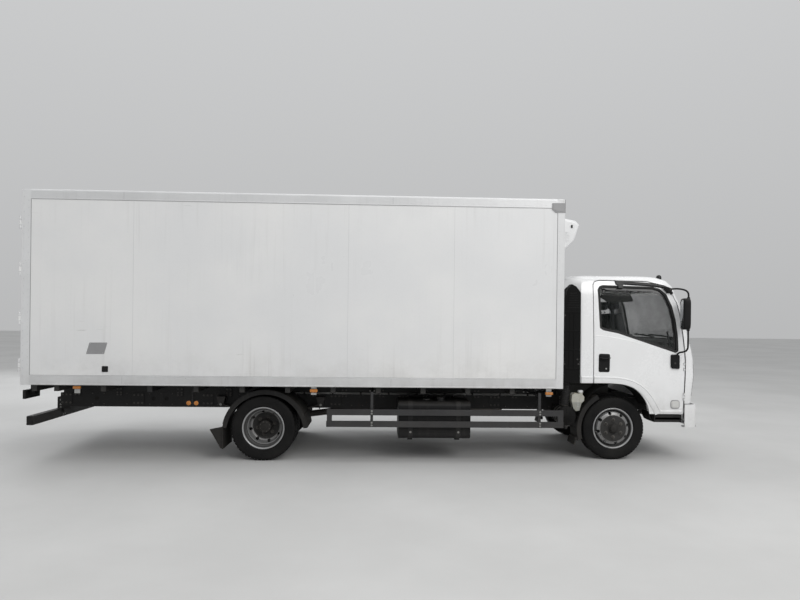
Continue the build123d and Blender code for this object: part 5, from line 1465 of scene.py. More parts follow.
def cab_row(z):
    z = max(CABROWS[0][0], min(CABROWS[-1][0], z))
    for p, q in zip(CABROWS, CABROWS[1:]):
        if z <= q[0]:
            t = (z - p[0]) / (q[0] - p[0])
            return [a + (b - a) * t for a, b in zip(p, q)]
    return list(CABROWS[-1])


def side_of(x, z, out=0.0):
    """How far out the cab's side is at (x, z)."""
    _, cx, rb, rc, hw = cab_row(z)
    if x <= cx:
        return hw + out
    rc2 = rc + out
    return hw - rc + math.sqrt(max(rc2 * rc2 - (x - cx) ** 2, 1.0))


def front_of(y, z, out=0.0):
    """The x of the cab's front at (y, z)."""
    _, cx, rb, rc, hw = cab_row(z)
    bx = cx - math.sqrt((rb - rc) ** 2 - (hw - rc) ** 2)
    a = math.atan2(hw - rc, cx - bx)
    y = abs(y)
    if y <= (rb + out) * math.sin(a):
        return bx + math.sqrt((rb + out) ** 2 - y * y)
    return cx + math.sqrt(max((rc + out) ** 2 - (y - (hw - rc)) ** 2, 0.0))


def resample(poly, step, closed=True):
    pts = []
    n = len(poly)
    for i in range(n if closed else n - 1):
        a, b = Vector(poly[i]), Vector(poly[(i + 1) % n])
        k = max(1, int(math.ceil((b - a).length / step)))
        for j in range(k):
            pts.append(tuple(a + (b - a) * (j / k)))
    if not closed:
        pts.append(tuple(poly[-1]))
    return pts


def offsets(poly, closed=True):
    """Unit vectors pointing to the left of the path at each point."""
    out = []
    n = len(poly)
    for i in range(n):
        a = Vector(poly[i - 1]) if (closed or i > 0) else Vector(poly[i])
        b = Vector(poly[(i + 1) % n]) if (closed or i < n - 1) else Vector(poly[i])
        d = (b - a)
        d = d.normalized() if d.length > 1e-9 else Vector((1, 0))
        out.append(Vector((-d.y, d.x)))
    return out


def side_band(mesh, poly, section, side, closed=True, mat=0, step=22.0, ccw=True):
    """Sweeps section, (offset to the left, height above the skin) points, along a path of (x, z) on the cab's side."""
    if closed:
        area = sum(p[0] * q[1] - q[0] * p[1] for p, q in zip(poly, poly[1:] + poly[:1]))
        if (area > 0) != ccw:
            poly = poly[::-1]
    pts = resample(poly, step, closed)
    off = offsets(pts, closed)
    rows = []
    for p, o in zip(pts, off):
        row = []
        for d, h in section:
            x, z = p[0] + o.x * d, p[1] + o.y * d
            row.append((x, side * side_of(x, z, h), z))
        rows.append(row)
    mesh.grid(rows, mat, loop_u=closed, loop_v=True, flip=side < 0)
    if not closed:
        n = len(section)
        mesh.add(rows[0], [tuple(range(n)) if side > 0 else tuple(range(n))[::-1]], mat)
        mesh.add(rows[-1], [tuple(range(n))[::-1] if side > 0 else tuple(range(n))], mat)


def front_band(mesh, poly, section, closed=True, mat=0, step=22.0):
    """The same along a path of (y, z) on the cab's front."""
    if closed:
        area = sum(p[0] * q[1] - q[0] * p[1] for p, q in zip(poly, poly[1:] + poly[:1]))
        if area < 0:
            poly = poly[::-1]
    pts = resample(poly, step, closed)
    off = offsets(pts, closed)
    rows = []
    for p, o in zip(pts, off):
        row = []
        for d, h in section:
            y, z = p[0] + o.x * d, p[1] + o.y * d
            row.append((front_of(y, z, h), y, z))
        rows.append(row)
    mesh.grid(rows, mat, loop_u=closed, loop_v=True, flip=False)
    if not closed:
        n = len(section)
        mesh.add(rows[0], [tuple(range(n))[::-1]], mat)
        mesh.add(rows[-1], [tuple(range(n))], mat)


def front_patch(mesh, poly, h0, h1, mat=0, chamfer=1.0, step=24.0, nu=None):
    """A raised patch on the cab's front with the outline poly (y, z): a fan of strips between its lower and upper edges."""
    ys = [p[0] for p in poly]
    y0, y1 = min(ys), max(ys)
    n = nu or max(4, int((y1 - y0) / step))

    def span_at(y):
        hits = []
        m = len(poly)
        for i in range(m):
            a, b = poly[i], poly[(i + 1) % m]
            if (a[0] - y) * (b[0] - y) <= 0 and abs(a[0] - b[0]) > 1e-9:
                t = (y - a[0]) / (b[0] - a[0])
                hits.append(a[1] + (b[1] - a[1]) * t)
        return min(hits), max(hits)
    rows = []
    for i in range(n + 1):
        y = y0 + (y1 - y0) * i / n
        y = min(max(y, y0 + 0.01), y1 - 0.01)
        za, zb = span_at(y)
        k = 8
        row = []
        for j in range(k + 1):
            z = za + (zb - za) * j / k
            row.append((front_of(y, z, h1), y, z))
        for j in range(k + 1):
            z = zb + (za - zb) * j / k
            row.append((front_of(y, z, h0), y, z))
        rows.append(row)
    mesh.grid(rows, mat, loop_v=True)
    m = len(rows[0])
    mesh.add(rows[0], [tuple(range(m))[::-1]], mat)
    mesh.add(rows[-1], [tuple(range(m))], mat)


WINDOW = [(-222, 2195), (-200, 2228), (-170, 2238), (480, 2224), (565, 2200), (640, 2135), (709, 1986), (752, 1811), (776, 1620), (784, 1425), (765, 1414), (24, 1655), (-165, 1692), (-200, 1712)]
DOOR = [(-293, 2256), (-264, 2300), (-205, 2314), (430, 2302), (560, 2272), (660, 2222), (728, 2150), (778, 2050), (818, 1900), (849, 1649), (874, 1420), (885, 1300), (885, 1110), (870, 616)] + [(450 * math.cos(math.radians(a)), 560 + 450 * math.sin(math.radians(a))) for a in (7, 14, 22, 30, 38, 46, 54, 62, 70, 78, 86)] + [(-20, 1012), (-283, 1012)]


def arch_over(x):
    """Height of the wheel arch's cut over x."""
    return 560.0 + math.sqrt(max(440.0 ** 2 - x * x, 0.0))


def door(side, word):
    body = "cab_door_" + word
    m = Mesh()
    # window rubber: a soft moulding round the glass
    seal = [(-9, -26), (-9, 1.2), (-6, 2.6), (6, 3.2), (15, 2.2), (18, 0.6), (18, -1.0), (2, -2), (2, -26)]
    seal = [(9, -25), (9, -2), (-1, 3.0), (-10, 3.6), (-16, 2.6), (-19, 0.4), (-19, -1.2), (-2, -3), (-2, -25)]
    side_band(m, WINDOW, seal, side, True, 0, 20.0)
    # weather lip inside the gap round the door
    lip = [(7, -46), (7, -30), (-1, -26), (-7, -27), (-8, -31), (-1, -36), (-1, -46)]
    top = [p for p in DOOR if p[1] > 985]
    side_band(m, DOOR, lip, side, True, 0, 40.0)
    put("door_rubbers_" + word, m, body, M_SEAL, angle=40)
    # handle: a recessed pan with a grip across it, and the lock
    m = Mesh()
    pan = round_poly([(-236, 1140), (-92, 1140), (-88, 1372), (-232, 1376)], 26, 5)
    y0 = side_of(-160, 1258)
    fr = Frame3((-160, side * y0, 1258), (1, 0, 0) if side < 0 else (-1, 0, 0), (0, 0, 1))
    k = 1 if side < 0 else -1
    fr.plate(m, [(k * (x + 160), z - 1258) for x, z in pan], -1.0, 6.0, 3.2, 0)
    # the floor of the pan is painted shade
    fr.plate(m, round_poly([(k * -58, -98), (k * 54, -98), (k * 56, 44), (k * -56, 46)], 20, 5), 5.5, 7.2, 1.0, 1)
    # the grip: a bowed bar standing clear of the pan
    m.tube([fr.at(k * -58, 66, 6), fr.at(k * -44, 62, 16), fr.at(k * -16, 58, 23), fr.at(k * 16, 58, 23), fr.at(k * 44, 62, 16), fr.at(k * 58, 66, 6)], 8, 16, 0, smooth=5, flat=(25, 5.5))
    fr.plate(m, round_poly([(k * -52, 30), (k * 52, 30), (k * 54, 106), (k * -54, 106)], 18, 5), 5.0, 14.5, 5.0, 0)
    m.spin([(15, 5.5), (15, 9.5), (12.5, 11), (0, 11)], fr.at(k * 20, -74, 0), fr.n, 28, 2)
    m.spin([(9, 10.5), (9, 12.2), (7.5, 13), (0, 13)], fr.at(k * 20, -74, 0), fr.n, 24, 3)
    fr.box(m, k * 20 - 1.2, k * 20 + 1.2, -79, -69, 12.4, 13.4, 0.3, 1)
    put("door_handle_" + word, m, body, [M_PLASTIC, M_RECESS_SHADE, M_SATIN, M_ZINC], angle=34)
    # rain bar over the window: a dark strip bent along the door's top, with a clip at its back
    m = Mesh()
    path = [(60, 2292), (102, 2290), (303, 2279), (487, 2268), (604, 2250), (664, 2226), (706, 2192), (736, 2156)]
    path = [tuple(p) for p in [(q.x, q.y) for q in soft_path([Vector((a, b, 0)) for a, b in path], 5)]]
    bar = [(-24, -1.5), (-25, 4), (-20, 13), (-8, 20), (8, 21), (18, 16), (22, 8), (22, -1.5)]
    side_band(m, path, bar, side, False, 0, 30.0)
    fr = Frame3((50, side * side_of(50, 2252), 2252), (1, 0, 0) if side < 0 else (-1, 0, 0), (0, 0, 1))
    k = 1 if side < 0 else -1
    tip = math.radians(20.0)
    block = [(-54, 70), (54, 60), (56, 18), (44, 10), (42, -34), (-26, -34), (-30, 12), (-52, 20)]
    rows = []
    for h, d in ((-3.0, 0.0), (14.0, 0.0), (20.0, 5.0)):
        pl = inset(block[::-1] if sum(a[0] * b[1] - b[0] * a[1] for a, b in zip(block, block[1:] + block[:1])) < 0 else block, d) if d else (block[::-1] if sum(a[0] * b[1] - b[0] * a[1] for a, b in zip(block, block[1:] + block[:1])) < 0 else block)
        rows.append([(50 + x, side * side_of(50 + x, 2252 + z, h), 2252 + z) for x, z in pl])
    m.grid(rows, 0, loop_v=True, flip=side > 0)
    m.add(rows[-1], [tuple(range(len(block)))[::(1 if side < 0 else -1)]], 0)
    m.bolt((70, side * side_of(70, 2270, 19), 2270), (0, side, 0.05), 6, 4, False, 0)
    put("door_rain_bar_" + word, m, body, M_SATIN, angle=40)
    # dark band printed round the edge of the glass, broad along the top and the front
    m = Mesh()
    path = WINDOW if sum(p[0] * q[1] - q[0] * p[1] for p, q in zip(WINDOW, WINDOW[1:] + WINDOW[:1])) > 0 else WINDOW[::-1]
    pts = resample(path, 20.0)
    off = offsets(pts)
    for _ in range(3):
        off = [(off[i - 1] + off[i] + off[(i + 1) % len(off)]).normalized() for i in range(len(off))]
    wide = []
    for x, z in pts:
        w = 16.0
        if z > 2196 and -150 < x < 600:
            w = 44.0
        elif x > 640:
            w = 34.0
        elif z > 2100 and x > 560:
            w = 40.0
        wide.append(w)
    for _ in range(4):
        wide = [(wide[i - 1] + 2 * wide[i] + wide[(i + 1) % len(wide)]) / 4 for i in range(len(wide))]
    rows = []
    for (x, z), o, w in zip(pts, off, wide):
        row = []
        for d, h in ((-2.0, -17.7), (w, -17.7), (w, -17.2), (-2.0, -17.2)):
            row.append((x + o.x * d, side * side_of(x + o.x * d, z + o.y * d, h), z + o.y * d))
        rows.append(row)
    m.grid(rows, 0, loop_u=True, loop_v=True, flip=side > 0)
    put("window_band_" + word, m, body, M_FRIT, angle=50)
    # side lamp, plain
    m = Mesh()
    fr = Frame3((767, side * side_of(767, 733), 733), (1, 0, 0) if side < 0 else (-1, 0, 0), (0, 0, 1))
    fr.plate(m, round_poly([(-60, -57), (60, -57), (60, 57), (-60, 57)], 42, 7), -0.5, 5.5, 2.0, 0)
    for q, h0, h1, c in ((0.86, 4.5, 10.0, 2.4), (0.70, 9.0, 13.0, 3.4)):
        fr.plate(m, round_poly([(-60 * q, -52 * q), (60 * q, -52 * q), (60 * q, 52 * q), (-60 * q, 52 * q)], 36 * q, 7), h0, h1, c, 1)
    put("door_lamp_" + word, m, body, [M_GREY, M_WHITELENS], angle=40)
    # wheel-arch flare on the door: a broad raised band with a bead along its upper edge
    m = Mesh()
    arch = [(-290, 1037), (-180, 1038), (-60, 1036), (60, 1027), (160, 1006), (250, 970), (330, 918), (400, 850), (462, 765), (512, 680), (546, 612)]
    arch = [(q.x, q.y) for q in soft_path([Vector((a, b, 0)) for a, b in arch], 4)]
    band = [(-40, -1.0), (-38, 7), (-20, 11.0), (8, 12.0), (24, 13.0), (30, 17.5), (36, 18.5), (41, 15.0), (44, 8.0), (46, -0.8)]
    lower = [p for p in arch]
    side_band(m, lower, band, side, False, 0, 24.0)
    put("door_flare_" + word, m, body, M_CAB, angle=28)
    # body-side crease below the window, seen as a soft raised line
    m = Mesh()
    crease = [(-280, 1604), (-100, 1588), (150, 1544), (420, 1470), (640, 1402), (800, 1352), (856, 1334)]
    crease = [(q.x, q.y) for q in soft_path([Vector((a, b, 0)) for a, b in crease], 5)]
    side_band(m, crease, [(-13, -0.6), (-9, 0.3), (-3, 1.3), (3, 1.3), (9, 0.3), (13, -0.6)], side, False, 0, 30.0)
    # lower sill moulding of the door
    side_band(m, [(560, 640), (700, 640), (862, 640)], [(-22, -1), (-20, 3), (-4, 4.2), (12, 3.0), (16, -1)], side, False, 0, 24.0)
    put("door_creases_" + word, m, body, M_CAB, angle=60)
    # inside: trim panel with armrest, pocket, handle and winder
    m = Mesh()
    inner_y = 1033 - 51

    def iy(x, z, d=0.0):
        return side_of(x, z) - 51 - d
    rows = []
    outline_top = lambda x: 1655 + (1414 - 1655) * (x - 24) / (765 - 24) if x > 24 else 1655 + (24 - x) * 0.165
    for i in range(45):
        x = -262 + (838 + 262) * i / 44
        zt = outline_top(min(x, 765)) - 26
        zb = max(1028.0, arch_over(x) + 30.0) if x < 0 else (arch_over(x) + 30.0 if x < 440 else 640.0)
        zb = max(zb, 640.0)
        row = []
        for j in range(9):
            z = zb + (zt - zb) * j / 8
            row.append((x, side * (iy(x, z) - 0.5 + 1.0), z))
        for j in range(9):
            z = zt + (zb - zt) * j / 8
            bulge = 14 + 8 * math.sin(math.pi * (1 - j / 8.0))
            row.append((x, side * (iy(x, z) - bulge), z))
        rows.append(row)
    m.grid(rows, 0, loop_v=True, flip=side < 0)
    n = len(rows[0])
    m.add(rows[0], [tuple(range(n)) if side > 0 else tuple(range(n))[::-1]], 0)
    m.add(rows[-1], [tuple(range(n))[::-1] if side > 0 else tuple(range(n))], 0)
    put("door_card_" + word, m, body, M_LIGHTPLASTIC, angle=50)
    m = Mesh()
    # armrest, map pocket, pull, release lever and winder handle
    m.tube([(-160, side * (iy(-160, 1330) - 16), 1330), (-60, side * (iy(0, 1330) - 48), 1338), (120, side * (iy(0, 1330) - 50), 1336), (300, side * (iy(0, 1330) - 48), 1322), (400, side * (iy(400, 1300) - 16), 1300)], 20, 18, 0, smooth=5, flat=(26, 24))
    m.prism([(120, 1132), (650, 1132), (668, 900), (600, 800), (480, 800), (400, 900), (290, 985), (130, 1050)], "y", side * (iy(300, 1000) - 62), side * (iy(300, 1000) - 18), 0, 8)
    m.prism([(80, 1131), (620, 1131), (600, 1120), (100, 1120)], "y", side * (iy(300, 1000) - 52), side * (iy(300, 1000) - 28), 1, 2)
    m.tube([(470, side * (iy(470, 1380) - 20), 1396), (490, side * (iy(470, 1380) - 42), 1392), (560, side * (iy(470, 1380) - 46), 1378), (590, side * (iy(470, 1380) - 22), 1370)], 7, 12, 2, smooth=4, flat=(9, 5))
    m.spin([(24, 0), (24, 10), (20, 14), (0, 14)], (300, side * (iy(300, 1220) - 20), 1218), (0, -side, 0), 28, 1)
    m.tube([(300, side * (iy(300, 1220) - 32), 1218), (330, side * (iy(300, 1220) - 40), 1236), (372, side * (iy(300, 1220) - 42), 1250)], 6, 12, 1, smooth=4)
    m.spin([(11, 0), (13, 8), (13, 26), (10, 32), (0, 33)], (372, side * (iy(300, 1220) - 40), 1250), (0, -side, 0), 24, 1)
    m.tube([(690, side * (iy(690, 1560) - 20), 1660), (705, side * (iy(690, 1560) - 48), 1640), (745, side * (iy(690, 1500) - 48), 1480), (750, side * (iy(750, 1450) - 16), 1452)], 11, 14, 0, smooth=5)
    put("door_inner_parts_" + word, m, body, [M_DASH, M_SATIN, M_ZINC], angle=36)
    # dark blind folded against the upper rear of the window, in a wire rim
    m = Mesh()
    poly = [(-196, 2230), (117, 2226), (166, 2206), (240, 2052), (-56, 2034), (-175, 2082)]
    rp = round_poly(poly, 24, 5)
    pts = resample(rp, 26)
    rows = [[(p[0], side * (side_of(p[0], p[1]) - d), p[1]) for d in (33.0, 35.0)] for p in pts]
    cxp = sum(p[0] for p in pts) / len(pts)
    czp = sum(p[1] for p in pts) / len(pts)
    rings = []
    for q in (1.0, 0.75, 0.5, 0.25):
        rings.append([(cxp + (p[0] - cxp) * q, side * (side_of(cxp + (p[0] - cxp) * q, czp + (p[1] - czp) * q) - 33.5 - 2.0 * math.sin(q * 9 + p[0] * 0.02)), czp + (p[1] - czp) * q) for p in pts])
    m.grid(rings, 0, loop_v=True, flip=side > 0)
    base = [(x, y - side * 1.6, z) for x, y, z in rings[-1]]
    m.add([(x, y, z) for x, y, z in rings[-1]], [tuple(range(len(pts)))[::(-1 if side > 0 else 1)]], 0)
    m.grid([[(x, y - side * 1.8, z) for x, y, z in r] for r in rings], 0, loop_v=True, flip=side < 0)
    m.add([(x, y - side * 1.8, z) for x, y, z in rings[-1]], [tuple(range(len(pts)))[::(1 if side > 0 else -1)]], 0)
    m.tube([(p[0], side * (side_of(p[0], p[1]) - 34.4), p[1]) for p in pts] + [(pts[0][0], side * (side_of(pts[0][0], pts[0][1]) - 34.4), pts[0][1])], 2.6, 8, 1)
    put("window_blind_" + word, m, body, [M_BLIND, M_SATIN], angle=60)
    # mirrors: head, arms and brackets
    mirror(side, word)


def superegg(mesh, centre, axes, n1=0.35, n2=0.45, seg=40, rings=20, mat=0, face=None, taper=None):
    """A rounded box: centre, (half x, half y, half z); face flattens its rear for the glass."""
    def sp(v, e):
        return math.copysign(abs(v) ** e, v)
    rows = []
    for i in range(1, rings):
        phi = -math.pi / 2 + math.pi * i / rings
        row = []
        for j in range(seg):
            th = 2 * math.pi * j / seg
            x = sp(math.cos(phi), n2) * sp(math.cos(th), n1)
            y = sp(math.cos(phi), n2) * sp(math.sin(th), n1)
            z = sp(math.sin(phi), n2)
            if taper:
                x, y = taper(x, y, z)
            if face is not None and x < face:
                x = face + (x - face) * 0.06
            row.append((centre[0] + x * axes[0], centre[1] + y * axes[1], centre[2] + z * axes[2]))
        rows.append(row)
    mesh.grid(rows, mat, loop_v=True, flip=False)
    mesh.add(rows[0], [tuple(range(seg))[::-1]], mat)
    mesh.add(rows[-1], [tuple(range(seg))], mat)


def mirror(side, word):
    body = "cab_door_" + word
    for b, nodes in frame["record"]["behaviour"]["bodies"].items():
        if "mirror_" + word in nodes:
            body = b
    m = Mesh()
    arm = [(655, 1000, 2208), (700, 1030, 2214), (753, 1075, 2216), (800, 1122, 2206), (830, 1150, 2190), (850, 1163, 2166), (858, 1165, 2130), (858, 1165, 2060), (858, 1165, 1900), (858, 1165, 1700), (858, 1165, 1500), (853, 1163, 1454), (836, 1150, 1424), (812, 1118, 1410), (787, 1085, 1400), (773, 1056, 1372), (767, 1045, 1335)]
    m.tube([(x, side * s, z) for x, s, z in arm], 11, 16, 0, smooth=4)
    # head: fuller at the front, flat behind where the glass sits
    h = Mesh()
    superegg(h, (0, 0, 1893), (49, 96, 198), 0.42, 0.30, 48, 30, 0, face=-0.86)
    # collars where the bar enters the head
    for z, k in ((2092, 1), (1694, -1)):
        m.spin([(17, -10), (19, -4), (19, 8), (15, 14), (11.5, 15)], (858, side * 1165, z), (0, 0, k), 24, 0)
    # upper mount: a rounded three-cornered foot on the corner of the roof
    foot = round_poly([(598, 2247), (668, 2238), (722, 2216), (700, 2168), (662, 2162), (628, 2200)], 14, 5)
    m.prism(foot, "y", side * 962, side * 1034, 0, 9)
    m.bolt((690, side * 1034, 2205), (0, side, 0), 8, 6, True, 3)
    # lower mount: a rounded block
    low = round_poly([(700, 1216), (718, 1195), (806, 1190), (812, 1205), (812, 1350), (800, 1372), (712, 1374), (700, 1362)], 16, 5)
    m.prism(low, "y", side * 1022, side * 1060, 0, 9)
    m.bolt((748, side * 1060, 1262), (0, side, 0), 8, 6, True, 3)
    m.spin([(17, -22), (19, -16), (19, 16), (17, 22), (0, 22)], (768, side * 1046, 1352), (0, 0, 1), 24, 0)
    # glass in a rim, with a thin bar across its lower part
    fr = Frame3((-42.5, 0, 1893), (0, 1, 0), (0, 0, 1))
    if fr.n.x > 0:
        fr = Frame3((-42.5, 0, 1893), (0, -1, 0), (0, 0, 1))
    rim = round_poly([(-82, -184), (82, -184), (82, 184), (-82, 184)], 34, 6)
    fr.plate(h, rim, -6, 3.5, 2.5, 0)
    fr.plate(h, round_poly([(-74, -176), (74, -176), (74, 176), (-74, 176)], 28, 6), 2.5, 4.6, 0.8, 1)
    fr.plate(h, round_poly([(-74, -100), (74, -100), (74, -94), (-74, -94)], 1.5, 2), 4.2, 6.0, 0.6, 0)
    # the head is turned so that its glass faces the driver
    yaw = math.radians(13.0) * side
    cy, sy = math.cos(yaw), math.sin(yaw)
    m.add([(821 + x * cy - y * sy, side * 1168 + x * sy + y * cy, z) for x, y, z in h.v], h.f, 0)
    m.m[-len(h.m):] = h.m
    o = put("mirror_assembly_" + word, m, body, [M_PLASTIC, M_MIRROR, M_SATIN, M_DARKBOLT], angle=36)
    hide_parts("mirror_" + word)


def cab_outside():
    # wheel-arch flare on the shell, behind the door
    m = Mesh()
    band = [(-40, -1.0), (-38, 7), (-20, 11.0), (8, 12.0), (24, 13.0), (30, 17.5), (36, 18.5), (41, 15.0), (44, 8.0), (46, -0.8)]
    for s in (-1, 1):
        side_band(m, [(-456, 1037), (-380, 1037), (-308, 1037)], band, s, False, 0, 24.0)
    put("shell_flare", m, "cab", M_CAB, angle=28)
    m = Mesh()
    # dark liner of the wheel arch, following the cut
    for s in (-1, 1):
        outer, inner = [], []
        for k in range(41):
            a = math.radians(22 + 136 * k / 40)
            for rr, rows in ((434.0, outer), (430.0, inner)):
                row = []
                for i, d in enumerate((744, 800, 860, 930, 985, 1008)):
                    rib = 1.6 * math.sin(k * 1.9) if 0 < i < 4 else 0.0
                    row.append(((rr + rib) * math.cos(a), s * d, 560 + (rr + rib) * math.sin(a)))
                rows.append(row)
        rows = [o + i[::-1] for o, i in zip(outer, inner)]
        m.grid(rows, 0, loop_v=True, flip=s > 0)
        n = 12
        m.add(rows[0], [tuple(range(n))[::(1 if s > 0 else -1)]], 0)
        m.add(rows[-1], [tuple(range(n))[::(-1 if s > 0 else 1)]], 0)
        m.prism(round_poly([(432, 640), (446, 640), (448, 596), (462, 548), (476, 522), (462, 520), (436, 566), (430, 600)], 4, 3), "y", s * 800, s * 1010, 0, 2)
    put("arch_liner", m, "cab", M_DUCT, angle=40)
    # windscreen surround and wipers
    m = Mesh()
    screen = [(-925, 1548), (925, 1548), (885, 2017), (862, 2140), (835, 2200), (785, 2232), (-785, 2232), (-835, 2200), (-862, 2140), (-885, 2017)]
    front_band(m, round_poly(screen, [24, 24, 5, 5, 5, 40, 40, 5, 5, 5], 4), [(14, -24), (14, -2), (-2, 3.2), (-12, 3.6), (-18, 2.4), (-21, 0.4), (-21, -1), (-3, -4), (-3, -24)], True, 0, 28.0)
    put("screen_rubber", m, "cab", M_SEAL, angle=40)
    m = Mesh()
    # cowl grille under the windscreen
    front_patch(m, [(-930, 1478), (930, 1478), (912, 1530), (-912, 1530)], -3.0, 5.0, 0)
    # dark blocks of painted shade mark the slots of the grille
    for k in range(46):
        y = -850 + k * 37.8
        x = front_of(y, 1506, 5.2)
        m.rbox(x, y, 1506, 1.2, 12, 13, 1.0, 1)
    put("cowl", m, "cab", [M_PLASTIC, M_RECESS_SHADE], angle=40)
    m = Mesh()
    for y0, tip, a0 in ((-560, 380, 1), (150, 780, 1)):
        # pivot, arm and blade, parked low on the glass
        px = front_of(y0, 1512, 6)
        m.spin([(20, -6), (20, 14), (15, 20), (0, 21)], (px, y0, 1512), (0.9, 0, 0.35), 24, 0)
        mid = (y0 + tip) / 2 - 60
        m.tube([(px + 16, y0, 1516), (front_of(y0 + 130, 1545, 26), y0 + 130, 1545), (front_of(mid, 1580, 24), mid, 1580), (front_of(mid + 60, 1588, 20), mid + 60, 1588)], 6, 10, 0, smooth=4, flat=(9, 3.6))
        pts = []
        for k in range(13):
            t = k / 12.0
            y = y0 + 60 + (tip - y0 - 60) * t
            z = 1572 + 34 * math.sin(math.pi * t * 0.5)
            pts.append((front_of(y, z, 10), y, z))
        m.tube(pts, 4, 8, 0, flat=(3.2, 7))
        pts = [(front_of(p[1], p[2] - 9, 3), p[1], p[2] - 9) for p in pts]
        m.tube(pts, 2, 6, 1, flat=(1.6, 6))
        c = pts[7]
        m.rbox(c[0] + 12, c[1], c[2] + 12, 7, 20, 7, 3, 0)
    put("wipers", m, "cab", [M_SATIN, M_SEAL], angle=40)
    # roof marker domes, one each side
    m = Mesh()
    for y in (-700, 0, 700):
        x0 = 683 if y else 690
        _, cx, rb, rc, hw = cab_row(2350)
        zt = 2352
        # height of the roof at this x: walk up the rows
        best = 2387
        for k in range(120):
            z = 2387 - k * 2.0
            if front_of(y, z) >= x0:
                best = z
                break
        if y == 0:
            continue
        m.spin([(42, -14), (43, 6), (40, 11), (34, 14)], (688, y, best - 6), (0.35, 0, 1), 32, 0)
        m.spin([(35, 2419 - best - 50), (34, 2419 - best - 26), (29, 2419 - best - 10), (20, 2419 - best - 1), (9, 2419 - best + 4), (0, 2419 - best + 5)], (684, y, best - 6), (0.06, 0, 1), 32, 0)
    put("roof_markers", m, "cab", [M_SATIN], angle=40)
    m = Mesh()
    # rain gutters along the roof over the doors
    for s in (-1, 1):
        side_band(m, [(-430, 2330), (-100, 2332), (200, 2330), (420, 2322)], [(-5, -1), (-5, 3), (-2, 6), (3, 6), (6, 3), (7, -1)], s, False, 0, 30.0)
    # swage lines pressed into the roof, lengthwise
    for y in (-520, -260, 0, 260, 520):
        pts = [(x, y, 2387.0) for x in range(-380, 300, 60)]
        m.tube(pts, 4, 10, 0, flat=(16, 3.0))
    put("roof_pressings", m, "cab", M_CAB, angle=60)
    # a dark rubber strip down each side of the front panel, beside the door's front edge, as painted shade of the
    # door's shut line
    m = Mesh()
    edge = [(778, 2050), (818, 1900), (849, 1649), (874, 1420), (885, 1300), (885, 1110), (872, 690)]
    strip = [(8.6, -0.6), (8.6, 0.5), (9.2, 0.8), (15.0, 0.8), (15.8, 0.4), (15.8, -0.6)]
    for s in (-1, 1):
        side_band(m, edge, strip, s, False, 0, 30.0)
    put("front_shut_line_shade", m, "cab", M_SEAL, angle=40)
    # front panel: grille slot, lower air intake and seams
    m = Mesh()
    # the backings of both grilles are painted shade
    front_patch(m, round_poly([(-560, 1188), (560, 1188), (590, 1262), (-590, 1262)], 18, 4), -4.0, 3.0, 1)
    for z in (1206, 1226, 1246):
        pts = [(front_of(y, z, 6.5), y, z) for y in range(-556, 557, 46)]
        m.tube(pts, 4, 10, 0, flat=(5.0, 4.2))
    front_band(m, round_poly([(-570, 1180), (570, 1180), (602, 1270), (-602, 1270)], 24, 4), [(7, -2), (7, 4), (3, 8.5), (-4, 8.5), (-8, 4), (-8, -2)], True, 2, 26.0)
    front_patch(m, round_poly([(-610, 800), (610, 800), (640, 900), (-640, 900)], 26, 4), -4.0, 3.0, 1)
    for z in (820, 840, 860, 880):
        pts = [(front_of(y, z, 6.0), y, z) for y in range(-600, 601, 48)]
        m.tube(pts, 4, 10, 0, flat=(5.0, 4.0))
    front_band(m, round_poly([(-618, 792), (618, 792), (650, 908), (-650, 908)], 30, 4), [(7, -2), (7, 4), (3, 8.0), (-4, 8.0), (-8, 4), (-8, -2)], True, 0, 26.0)
    put("front_grilles", m, "cab", [M_PLASTIC, M_RECESS_SHADE, M_SATIN], angle=40)
    m = Mesh()
    # pressed lines of the panel: shut line below the windscreen, and a raised middle
    # the shut line is a strip of painted shade
    front_band(m, [(-900, 1440), (-450, 1452), (0, 1456), (450, 1452), (900, 1440)], [(-3, -3), (-3, 0.6), (3, 0.6), (3, -3)], False, 1, 30.0)
    front_band(m, round_poly([(-470, 1000), (470, 1000), (500, 1120), (-500, 1120)], 40, 5), [(7, -0.6), (3, 1.8), (-3, 1.8), (-7, -0.6)], True, 0, 24.0)
    front_band(m, [(-640, 1300), (-320, 1316), (0, 1320), (320, 1316), (640, 1300)], [(-14, -0.6), (-8, 3.0), (8, 3.0), (14, -0.6)], False, 0, 30.0)
    put("front_pressings", m, "cab", [M_CAB, M_RECESS_SHADE], angle=60)
    # headlamps: reflector bowls and a dark bezel behind the CAD lens
    m = Mesh()
    for s in (-1, 1):
        for y, z, r in ((755, 915, 44), (868, 985, 40), (945, 1105, 27)):
            x = front_of(y, z, -22)
            ax = (0.94, s * (0.05 if y < 900 else 0.5), 0.0)
            m.spin([(r, 8), (r * 0.98, 2), (r * 0.80, -9), (r * 0.5, -17), (r * 0.22, -20), (0, -20)][::-1], (x - 5, s * y, z), ax, 36, 1)
            m.spin([(0, 4), (r * 0.14, 3), (r * 0.16, -14), (0, -15)][::-1], (x - 5, s * y, z), ax, 16, 2)
            m.spin([(r, 8), (r + 5, 9), (r + 5, 0), (r, 0)], (x - 5, s * y, z), ax, 36, 0)
    put("headlamp_bowls", m, "cab", [M_SATIN, M_CHROME, M_WHITELENS], angle=40)
    m = Mesh()
    for s in (-1, 1):
        lampo = [(s * y, z) for y, z in [(690, 850), (975, 840), (990, 1240), (930, 1250), (820, 1110), (640, 960)]]
        front_band(m, lampo, [(3, -14), (3, -1), (0, 1.8), (-5, 1.8), (-7, -0.6), (-2, -2), (-2, -14)], True, 0, 22.0)
    put("headlamp_rims", m, "cab", M_SATIN, angle=40)
